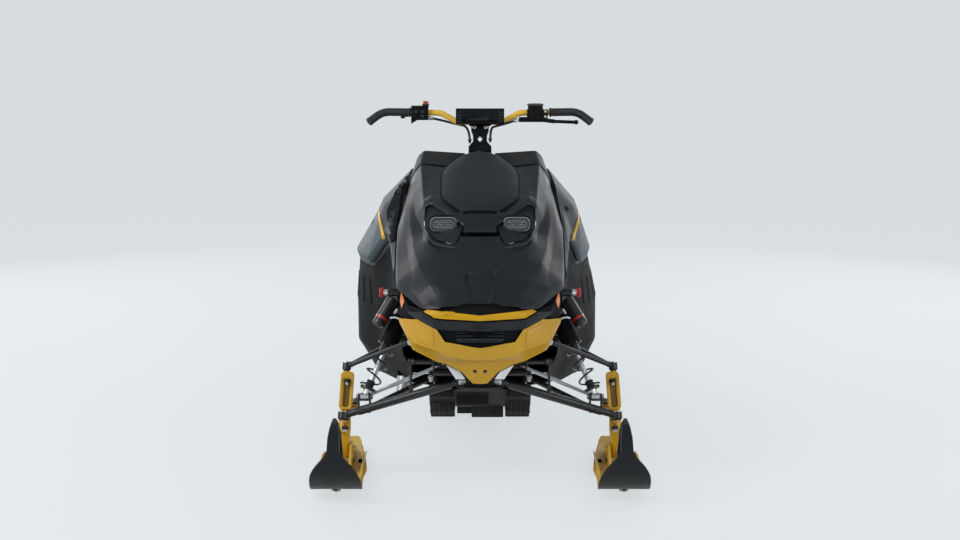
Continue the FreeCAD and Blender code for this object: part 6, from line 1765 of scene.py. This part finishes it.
# Columns in mm: Y, base half width, belly half width and Z, top half width, top Z, base Z.
CONSOLE = [
    (-516, 214, 228, 960, 176, 1100, 900),
    (-400, 206, 216, 930, 150, 1112, 760),
    (-300, 186, 198, 880, 120, 1080, 640),
    (-150, 160, 176, 800, 100, 985, 602.3),
    (20, 150, 164, 720, 96, 880, 602.3),
    (123.7, 146, 152, 690, 92, 812, 602.3),
]
# Columns in mm: Y, base half width, side half width and Z, crown half width, crown Z.
SEAT = [
    (124, 92, 104, 720, 74, 806),
    (260, 112, 132, 735, 96, 802),
    (460, 126, 150, 750, 116, 810),
    (620, 122, 144, 765, 110, 838),
    (730, 104, 120, 780, 88, 858),
]
SEAT_BASE = 0.6023
POST = table((0, -400, 1128))
POST_AXIS = np.array([0.0, math.sin(math.radians(21.8)), math.cos(math.radians(21.8))])


def console_grid():
    """Section of the tank cover: crown, shoulder, belly and base, carried along Y."""
    t = table(CONSOLE)
    zero = np.zeros(len(t))
    points = ((zero, t[:, 5]), (t[:, 4] * 0.6, t[:, 5]), (t[:, 4], t[:, 5] - 0.010), (t[:, 2], t[:, 3]),
              (t[:, 1], t[:, 6]))
    half = np.stack([np.stack(p, -1) for p in points], 1)
    return along_y(skin(t[:, 0], full_width(half), 0.030, 90, 0.85, 0.014))


def build_console():
    """Tank cover with the steering post's hole and two flutes."""
    grid = console_grid()
    obj = skin_piece("console_skin", grid, "black", 0.005, stands_for=("console",), smooth=32)
    carved(obj, turned_mesh([(-0.33, 0.0545), (0.08, 0.0545)], POST, POST_AXIS, 56))
    rounded_edges(obj, 0.0016, 3, 45)
    flutes = [surface(patch(grid, -0.36, 0.10, share, share + 0.10, 0.0016)) for share in (0.10, 0.80)]
    make("console_flutes", flutes, "panel", wall=0.0016, bevel=0.0006)


def build_cap():
    """Fuel cap on the console: a knurled turned knob on a seat ring."""
    centre, up = np.array((0.0, -0.215, 1.0290)), unit((0, 0.49, 0.87))
    knob, faces = slab_mesh(knurled(0.0345, 0.0012, 22), 0.0, 0.022, 0.004, 4)
    aside = np.array([1.0, 0, 0])
    make("fuel_cap", (centre + knob @ np.stack([aside, np.cross(up, aside), up]), faces), "black", smooth=40)
    seat = [(-0.010, 0.040), (0.0, 0.042), (0.003, 0.040), (0.003, 0.030)]
    make("fuel_cap_seat", turned_mesh(seat, centre, up, 48), "rubber")


def seat_grid():
    """Saddle: crown, shoulder, side and base."""
    t = table(SEAT)
    zero = np.zeros(len(t))
    points = ((zero, t[:, 5]), (t[:, 4], t[:, 5] - 0.006), (t[:, 2] - 0.006, t[:, 3] + 0.030),
              (t[:, 2], t[:, 3]), (t[:, 1], zero + SEAT_BASE))
    half = np.stack([np.stack(p, -1) for p in points], 1)
    return along_y(skin(t[:, 0], full_width(half), 0.026, 90, 0.9, 0.012))


def closed_skin(grid):
    """Closes a tunnel-shaped grid: a floor between its long edges and caps of rings drawn in at both ends."""
    floor = np.linspace(1, 0, 9)[1:-1]
    under = grid[:, -1:] * (1 - floor[None, ::-1, None]) + grid[:, :1] * floor[None, ::-1, None]
    ring = np.concatenate([grid, under], axis=1)
    ends = []
    for row, sign in ((ring[0], -1), (ring[-1], 1)):
        mid = row.mean(axis=0)
        mid[0] = 0.0
        caps = []
        for k, out in ((0.93, 0.010), (0.80, 0.016), (0.55, 0.020), (0.25, 0.021)):
            moved = mid + (row - mid) * k
            moved[:, 1] += sign * out * 0.35
            caps.append(moved)
        ends.append(np.array(caps))
    grid = np.concatenate([ends[0][::-1], ring, ends[1]], axis=0)
    return grid.reshape(-1, 3), ring_faces(*grid.shape[:2])


def build_seat():
    """Padded saddle: the cover's form with a crowned top, a cross seam, gathered side seams and piping."""
    g = seat_grid()
    n = out_normals(g)
    rows, columns = g.shape[:2]
    u = np.linspace(-1, 1, columns)[None]
    v = np.linspace(0, 1, rows)[:, None]
    crown = 0.005 * (1 - u ** 2) * np.sin(math.pi * v)
    seam = np.exp(-((np.abs(u) - 0.44) / 0.012) ** 2)
    cross = np.exp(-((v - 0.52) / 0.006) ** 2) * (np.abs(u) < 0.44)
    wrinkle = 0.0012 * np.sin(38 * v * math.pi + 3 * u) * np.exp(-((np.abs(u) - 0.52) / 0.07) ** 2)
    g = g + n * (crown - 0.0045 * seam - 0.0040 * cross + wrinkle - 0.004)[..., None]
    g[..., 2] = np.minimum(g[..., 2], 0.8585)
    obj = make("seat_cover", closed_skin(g), "vinyl", smooth=60, stands_for=("seat",))
    piping = []
    for k in (-1, 1):
        c = int(round((0.5 + 0.5 * k * 0.44) * (columns - 1)))
        piping.append(tube_mesh((g + n * 0.0030)[2:-2, c], 0.0022, 8))
    make("seat_piping", piping, "vinyl_grey")


# Steering: post, riser, bar, grips, controls and display

BAR_LINE = table([(430, -348, 1234), (378, -320, 1272), (152, -336, 1270), (88, -352, 1236)])
BAR_BENDS = (0.070, 0.060, 0.040)
BAR_R, GRIP_R, GRIP_END_X = 0.0115, 0.0155, 0.268


POST_FRONT = np.array([0, -POST_AXIS[2], POST_AXIS[1]])


def on_riser(x, h, out):
    """Point on the riser: across, up along the post and forwards."""
    return POST + np.array([x, 0, 0]) + POST_AXIS * h + POST_FRONT * (out - 0.020)


def bent_path(points, bends, step=0.005):
    """Straight runs joined by arcs of given radii, sampled every step."""
    p = np.asarray(points, float)
    out = [p[0]]
    for i in range(1, len(p) - 1):
        before, after = unit(p[i - 1] - p[i]), unit(p[i + 1] - p[i])
        turn = math.pi - math.acos(float(np.clip(np.dot(before, after), -1, 1)))
        cut = bends[i - 1] * math.tan(turn / 2)
        centre = p[i] + unit(before + after) * bends[i - 1] / math.cos(turn / 2)
        a, b = p[i] + before * cut, p[i] + after * cut
        u = unit(a - centre)
        w = unit(b - centre - u * np.dot(b - centre, u))
        for t in np.linspace(0, turn, 14):
            out.append(centre + bends[i - 1] * (u * math.cos(t) + w * math.sin(t)))
    out.append(p[-1])
    return smooth_line(np.array(out), step)


def nurbs_path(points, samples=14):
    """Points of a third-order NURBS line through a route's ends, with the route's points as its controls."""
    curve = bpy.data.curves.new("route", "CURVE")
    curve.dimensions = "3D"
    spline = curve.splines.new("NURBS")
    spline.points.add(len(points) - 1)
    for point, place in zip(spline.points, points):
        point.co = (*place, 1.0)
    spline.order_u = 3
    spline.use_endpoint_u = True
    spline.resolution_u = samples
    obj = bpy.data.objects.new("route", curve)
    mesh = bpy.data.meshes.new_from_object(obj)
    path = np.array([v.co[:] for v in mesh.vertices])
    bpy.data.objects.remove(obj)
    return path


def build_bar():
    """Yellow handlebar tube with arcs at its bends, and the black hooked grips."""
    line = np.concatenate([BAR_LINE, (BAR_LINE * FLIP)[::-1]])
    path = bent_path(line, BAR_BENDS + BAR_BENDS[::-1])
    # The tube's brighter yellow is painted light.
    make("bar_tube", tube_mesh(path, BAR_R, 24), "bar_yellow", "handlebar", ("handlebar",))
    outer, bend, inner = BAR_LINE[:3]
    inner_end = bend + (inner - bend) * ((bend[0] - GRIP_END_X) / (bend[0] - inner[0]))
    path = bent_path([outer + unit(outer - bend) * 0.004, bend, inner_end], BAR_BENDS[:1], 0.0008)
    s = run_length(path)
    total = s[-1]
    wave = 0.5 + 0.5 * np.cos(2 * math.pi * s / 0.0052)
    ribbed = (s > 0.020) & (s < total - 0.016)
    r = GRIP_R - 0.0006 + np.where(ribbed, 0.0011 * wave, 0.0004)
    r = r + 0.0035 * np.exp(-((s - total + 0.004) / 0.003) ** 2) + 0.0012 * np.exp(-((s - 0.008) / 0.006) ** 2)
    r = r * np.minimum(1, np.sqrt(np.clip(s / 0.005, 0.05, 1)))
    make("grip_skins", both(tube_mesh(path, r, 28)), "grip", "handlebar", ("grips",))


def build_riser():
    """Post and riser, their bolts and the bar's clamps."""
    refined("steering_post", "black_paint", 0.0015)
    refined("riser", "black", 0.0022, 3)
    bolts = [hex_head(on_riser(0.0225, h, 0.0338), POST_FRONT, 0.010, 0.005) for h in (0.092, 0.126)]
    make("riser_bolts", both(bolts), "steel", "handlebar")
    clamp = turned_mesh(even([(-0.010, 0.0120), (-0.009, 0.0165)]), (0.033, -0.352, 1.236), (1, 0, 0), 32)
    make("bar_clamps", both(clamp), "black_paint", "handlebar")


# Low and high end of the display's face, Y, Z, in the middle plane.
FACE_LOW, FACE_HIGH = table([(-406, 1232), (-410, 1288)])
FACE_UP, FACE_HEIGHT = unit(FACE_HIGH - FACE_LOW), math.dist(FACE_HIGH, FACE_LOW)


def on_face(points):
    """Points (x, up the face, out) put on the display's front."""
    points = np.asarray(points)
    out = np.array([-FACE_UP[1], FACE_UP[0]])
    return np.c_[points[:, 0], FACE_LOW + np.outer(points[:, 1], FACE_UP) + np.outer(points[:, 2], out)]


def face_plate(outline, low, high, edge=0.0):
    """Slab on the display's front."""
    verts, faces = slab_mesh(outline, low, high, edge)
    return on_face(verts), faces


def face_bead(outline, out, radius, sides):
    """Bead along a closed outline on the display's front."""
    return tube_mesh(on_face(np.insert(np.concatenate([outline, outline[:1]]), 2, out, axis=1)), radius, sides)


def build_display():
    """Instrument housing with an unlit glass face, a rim, side keys, and plain bars and a ring as its picture."""
    refined("display", "black", 0.003, 3)
    glass = round_outline(rect(-0.086, 0.006, 0.086, FACE_HEIGHT - 0.006), 0.007)
    make("display_glass", face_plate(glass, -0.001, 0.0012, 0.0008), "screen", "handlebar")
    make("display_rim", face_bead(glass, 0.0006, 0.0014, 8), "gloss_black", "handlebar")
    key = round_outline(rect(-0.0045, -0.0035, 0.0045, 0.0035), 0.002, 3)
    keys = [face_plate(key + (x, share * FACE_HEIGHT), 0.001, 0.0026, 0.0007) for x in (-0.076, 0.076)
            for share in (0.18, 0.40, 0.62, 0.82)]
    make("display_keys", keys, "panel", "handlebar")
    marks = []
    for k in range(12):
        x = -0.052 + 0.0072 * k
        marks.append(face_plate(rect(x, 0.014, x + 0.0045, 0.018 + 0.0011 * k), 0.0011, 0.0014))
    a = np.linspace(0, 2 * math.pi, 40, endpoint=False)
    ring = np.c_[0.048 + 0.014 * np.cos(a), FACE_HEIGHT * 0.55 + 0.014 * np.sin(a)]
    marks.append(face_bead(ring, 0.0014, 0.0006, 6))
    make("display_marks", marks, "panel", "handlebar")


def build_controls():
    """Throttle block with its keys and red stop button; brake cylinder with its lid, screws and sight glass."""
    refined("throttle_block", "black", 0.003, 3)
    refined("brake_cylinder", "black", 0.003, 3)
    p, up = (-0.210, -0.331, 1.3030), (0, 0, 1)
    button = [(0, 0.0104), (0.004, 0.0108), (0.0085, 0.0108), (0.0108, 0.0088), (0.0112, 0.003)]
    make("stop_cap", turned_mesh(button, p, up, 32), "red", "handlebar")
    seat = [(-0.004, 0.013), (0.0, 0.0135), (0.0015, 0.0125), (0.0015, 0.011)]
    make("stop_seat", turned_mesh(seat, p, up, 32), "black_paint", "handlebar")
    key = placed(rounded_plate(rect(-0.007, -0.006, 0.007, 0.006), 0.003, 0.3568, 0.3605, 0.0012, 3), FRONT)
    keys = [(key[0] + (x, 0, z), key[1]) for x, z in ((-0.222, 1.258), (-0.222, 1.276), (-0.246, 1.276))]
    make("block_keys", keys, "panel", "handlebar")
    centre = np.array((0.214, -0.341, 1.3000))
    lid = [(-0.0015, 0.0265), (0.0, 0.0300), (0.004, 0.0303), (0.0052, 0.0285), (0.0052, 0.006)]
    ridge = [(-0.0005, 0.0018), (0.0038, 0.0018), (0.0042, 0.001)]
    parts = [turned_mesh(lid, centre, up, 44)]
    for a in 2 * math.pi * np.arange(16) / 16:
        parts.append(turned_mesh(ridge, centre + (0.0302 * math.cos(a), 0.0302 * math.sin(a), 0.0), up, 8))
    make("cylinder_lid", parts, "black_paint", "handlebar")
    places = [(x, -0.3552, z) for x in (0.196, 0.252) for z in (1.256, 1.276)]
    screws = [hex_head(place, (0, -1, 0), 0.007, 0.003) for place in places]
    make("cylinder_screws", screws, "steel", "handlebar")
    sight = [(-0.001, 0.0075), (0.0006, 0.0075), (0.0012, 0.006)]
    make("sight_glass", turned_mesh(sight, (0.214, -0.3722, 1.274), (0, -1, 0.05), 28), "screen", "handlebar")


THROTTLE_CABLE = [(-0.199, -0.322, 1.250), (-0.150, -0.316, 1.240), (-0.096, -0.330, 1.226),
                  on_riser(-0.0393, 0.100, 0.012), on_riser(-0.0393, 0.034, 0.012)]
BRAKE_HOSE = [(0.144, -0.352, 1.244), (0.104, -0.376, 1.232), (0.062, -0.378, 1.222),
              on_riser(0.0393, 0.090, 0.024), on_riser(0.0393, 0.034, 0.024)]


def build_cables():
    """Throttle cable and brake hose, clipped to the riser at both ends, with ferrules and clips."""
    lines = [nurbs_path(route) for route in (THROTTLE_CABLE, BRAKE_HOSE)]
    make("bar_lines", [tube_mesh(p, 0.0046, 14) for p in lines], "rubber", "handlebar", ("bar_cables",))
    ferrule = [(-0.001, 0.0075), (0.012, 0.0075), (0.018, 0.0050)]
    make("cable_ferrules", [turned_mesh(ferrule, p[0], p[3] - p[0], 18) for p in lines], "steel", "handlebar")
    clip, clips = even([(-0.004, 0.0060), (-0.003, 0.0072)]), []
    for p in lines:
        e = unit(p[-1] - p[-4])
        clips.append(turned_mesh(clip, p[-1] - e * 0.012, e, 18))
    make("cable_clips", clips, "black_paint", "handlebar")


# Controls in the sidebar

COLOUR = {"subtype": "COLOR", "size": 3, "min": 0.0, "max": 1.0}


class SnowmobileLook(bpy.types.PropertyGroup):
    """Sizes and colours of the panels."""
    hood: bpy.props.FloatVectorProperty(name="Hood", description="Colour of the hood", default=HOOD_BLUE, **COLOUR)
    panel: bpy.props.FloatVectorProperty(name="Side panels", description="Colour of the side panels",
                                         default=PANEL_GREY, **COLOUR)
    yellow: bpy.props.FloatVectorProperty(name="Accents", description="Colour of the bumper, spindles and strips",
                                          default=YELLOW, **COLOUR)
    panel_wall: bpy.props.FloatProperty(name="Panel wall", description="Thickness of the moulded panels",
                                        subtype="DISTANCE", unit="LENGTH", default=0.0035, min=0.001, max=0.006)


class SnowmobileStudio(bpy.types.PropertyGroup):
    """Lamps and surroundings."""
    key_light: bpy.props.FloatProperty(name="Key lamp", description="Power of the large soft lamp in watts",
                                       default=230.0, min=0.0)
    world_light: bpy.props.FloatProperty(name="Sky", description="Strength of the surroundings", subtype="FACTOR",
                                         default=0.62, min=0.0, max=2.0)


class SNOWMOBILE_OT_finishes(bpy.types.Operator):
    """All the finishes, from the colours above"""
    bl_idname = "snowmobile.finishes"
    bl_label = "Finishes"

    def execute(self, context):
        mix_finishes(context.scene.snowmobile_look)
        return {"FINISHED"}


class SNOWMOBILE_OT_stage(bpy.types.Operator):
    """Pale floor, soft lamps and the camera"""
    bl_idname = "snowmobile.stage"
    bl_label = "Stage"

    def execute(self, context):
        stage(context.scene.snowmobile_studio)
        return {"FINISHED"}


class SNOWMOBILE_OT_hood(bpy.types.Operator):
    """Hood with its scoop and brow, the oval cover and the shoulder caps"""
    bl_idname = "snowmobile.hood"
    bl_label = "Hood"

    def execute(self, context):
        build_hood(context.scene.snowmobile_look)
        build_hood_lines()
        build_cover()
        build_caps()
        return {"FINISHED"}


class SNOWMOBILE_OT_lamps(bpy.types.Operator):
    """Headlights in their recesses"""
    bl_idname = "snowmobile.lamps"
    bl_label = "Headlights"

    def execute(self, context):
        build_lamps()
        return {"FINISHED"}


class SNOWMOBILE_OT_nose(bpy.types.Operator):
    """Mask, strips, grille and reflectors"""
    bl_idname = "snowmobile.nose"
    bl_label = "Nose"

    def execute(self, context):
        build_nose()
        return {"FINISHED"}


class SNOWMOBILE_OT_bumper(bpy.types.Operator):
    """Front bumper"""
    bl_idname = "snowmobile.bumper"
    bl_label = "Front bumper"

    def execute(self, context):
        build_bumper()
        return {"FINISHED"}


class SNOWMOBILE_OT_sides(bpy.types.Operator):
    """Side panels, toe panels and belly pan"""
    bl_idname = "snowmobile.sides"
    bl_label = "Side panels"

    def execute(self, context):
        look = context.scene.snowmobile_look
        build_side_panels(look)
        build_toe_panels(look)
        build_belly(look)
        build_gap_liners()
        build_footwells()
        return {"FINISHED"}


class SNOWMOBILE_OT_arms(bpy.types.Operator):
    """Wishbones, sway bar and front frame"""
    bl_idname = "snowmobile.arms"
    bl_label = "Wishbones and frame"

    def execute(self, context):
        build_arms()
        build_sway_bar()
        build_frame_tubes()
        return {"FINISHED"}


class SNOWMOBILE_OT_shocks(bpy.types.Operator):
    """Front dampers and their springs"""
    bl_idname = "snowmobile.shocks"
    bl_label = "Shocks"

    def execute(self, context):
        build_shocks()
        build_shock_guards()
        build_bottles()
        return {"FINISHED"}


class SNOWMOBILE_OT_steering_ends(bpy.types.Operator):
    """Spindles and tie rods"""
    bl_idname = "snowmobile.steering_ends"
    bl_label = "Spindles and tie rods"

    def execute(self, context):
        build_spindles()
        build_tie_rods()
        return {"FINISHED"}


class SNOWMOBILE_OT_skis(bpy.types.Operator):
    """Skis with their loops, ribs and runners"""
    bl_idname = "snowmobile.skis"
    bl_label = "Skis"

    def execute(self, context):
        build_skis()
        return {"FINISHED"}


class SNOWMOBILE_OT_track(bpy.types.Operator):
    """Track belt, lugs and clips"""
    bl_idname = "snowmobile.track"
    bl_label = "Track"

    def execute(self, context):
        build_track()
        return {"FINISHED"}


class SNOWMOBILE_OT_wheels(bpy.types.Operator):
    """Wheels, rails and arms inside the track"""
    bl_idname = "snowmobile.wheels"
    bl_label = "Rear suspension"

    def execute(self, context):
        build_wheels()
        return {"FINISHED"}


class SNOWMOBILE_OT_tunnel(bpy.types.Operator):
    """Tunnel, running boards, rear bar, lamp and flap"""
    bl_idname = "snowmobile.tunnel"
    bl_label = "Tunnel and rear"

    def execute(self, context):
        build_tunnel()
        return {"FINISHED"}


class SNOWMOBILE_OT_console(bpy.types.Operator):
    """Tank cover with its flutes and cap"""
    bl_idname = "snowmobile.console"
    bl_label = "Console"

    def execute(self, context):
        build_console()
        build_cap()
        return {"FINISHED"}


class SNOWMOBILE_OT_seat(bpy.types.Operator):
    """Padded saddle"""
    bl_idname = "snowmobile.seat"
    bl_label = "Seat"

    def execute(self, context):
        build_seat()
        return {"FINISHED"}


class SNOWMOBILE_OT_bar(bpy.types.Operator):
    """Handlebar, grips, riser and cables"""
    bl_idname = "snowmobile.bar"
    bl_label = "Handlebar"

    def execute(self, context):
        build_bar()
        build_riser()
        build_cables()
        return {"FINISHED"}


class SNOWMOBILE_OT_controls(bpy.types.Operator):
    """Display, throttle block and brake cylinder"""
    bl_idname = "snowmobile.controls"
    bl_label = "Controls and display"

    def execute(self, context):
        build_display()
        build_controls()
        return {"FINISHED"}


PIECES = (SNOWMOBILE_OT_finishes, SNOWMOBILE_OT_stage, SNOWMOBILE_OT_hood, SNOWMOBILE_OT_lamps,
          SNOWMOBILE_OT_nose, SNOWMOBILE_OT_bumper, SNOWMOBILE_OT_sides, SNOWMOBILE_OT_arms,
          SNOWMOBILE_OT_shocks, SNOWMOBILE_OT_steering_ends, SNOWMOBILE_OT_skis, SNOWMOBILE_OT_track,
          SNOWMOBILE_OT_wheels, SNOWMOBILE_OT_tunnel, SNOWMOBILE_OT_console, SNOWMOBILE_OT_seat,
          SNOWMOBILE_OT_bar, SNOWMOBILE_OT_controls)


class SNOWMOBILE_PT_pieces(bpy.types.Panel):
    """Sidebar list of the snowmobile's colours and pieces"""
    bl_idname = "SNOWMOBILE_PT_pieces"
    bl_label = "Snowmobile"
    bl_space_type = "VIEW_3D"
    bl_region_type = "UI"
    bl_category = "Snowmobile"

    def draw(self, context):
        look, studio = context.scene.snowmobile_look, context.scene.snowmobile_studio
        for name in ("hood", "panel", "yellow", "panel_wall"):
            self.layout.prop(look, name)
        for name in ("key_light", "world_light"):
            self.layout.prop(studio, name)
        for piece in PIECES:
            self.layout.operator(piece.bl_idname)


CLASSES = (SnowmobileLook, SnowmobileStudio) + PIECES + (SNOWMOBILE_PT_pieces,)


def register():
    for cls in CLASSES:
        bpy.utils.register_class(cls)
    bpy.types.Scene.snowmobile_look = bpy.props.PointerProperty(type=SnowmobileLook)
    bpy.types.Scene.snowmobile_studio = bpy.props.PointerProperty(type=SnowmobileStudio)


def unregister():
    del bpy.types.Scene.snowmobile_studio
    del bpy.types.Scene.snowmobile_look
    for cls in reversed(CLASSES):
        bpy.utils.unregister_class(cls)


def main():
    """Builds every piece."""
    register()
    ops = bpy.ops.snowmobile
    ops.finishes()
    ops.stage()
    ops.hood()
    ops.lamps()
    ops.nose()
    ops.bumper()
    ops.sides()
    ops.arms()
    ops.shocks()
    ops.steering_ends()
    ops.skis()
    ops.track()
    ops.wheels()
    ops.tunnel()
    ops.console()
    ops.seat()
    ops.bar()
    ops.controls()


if __name__ == "__main__":
    main()
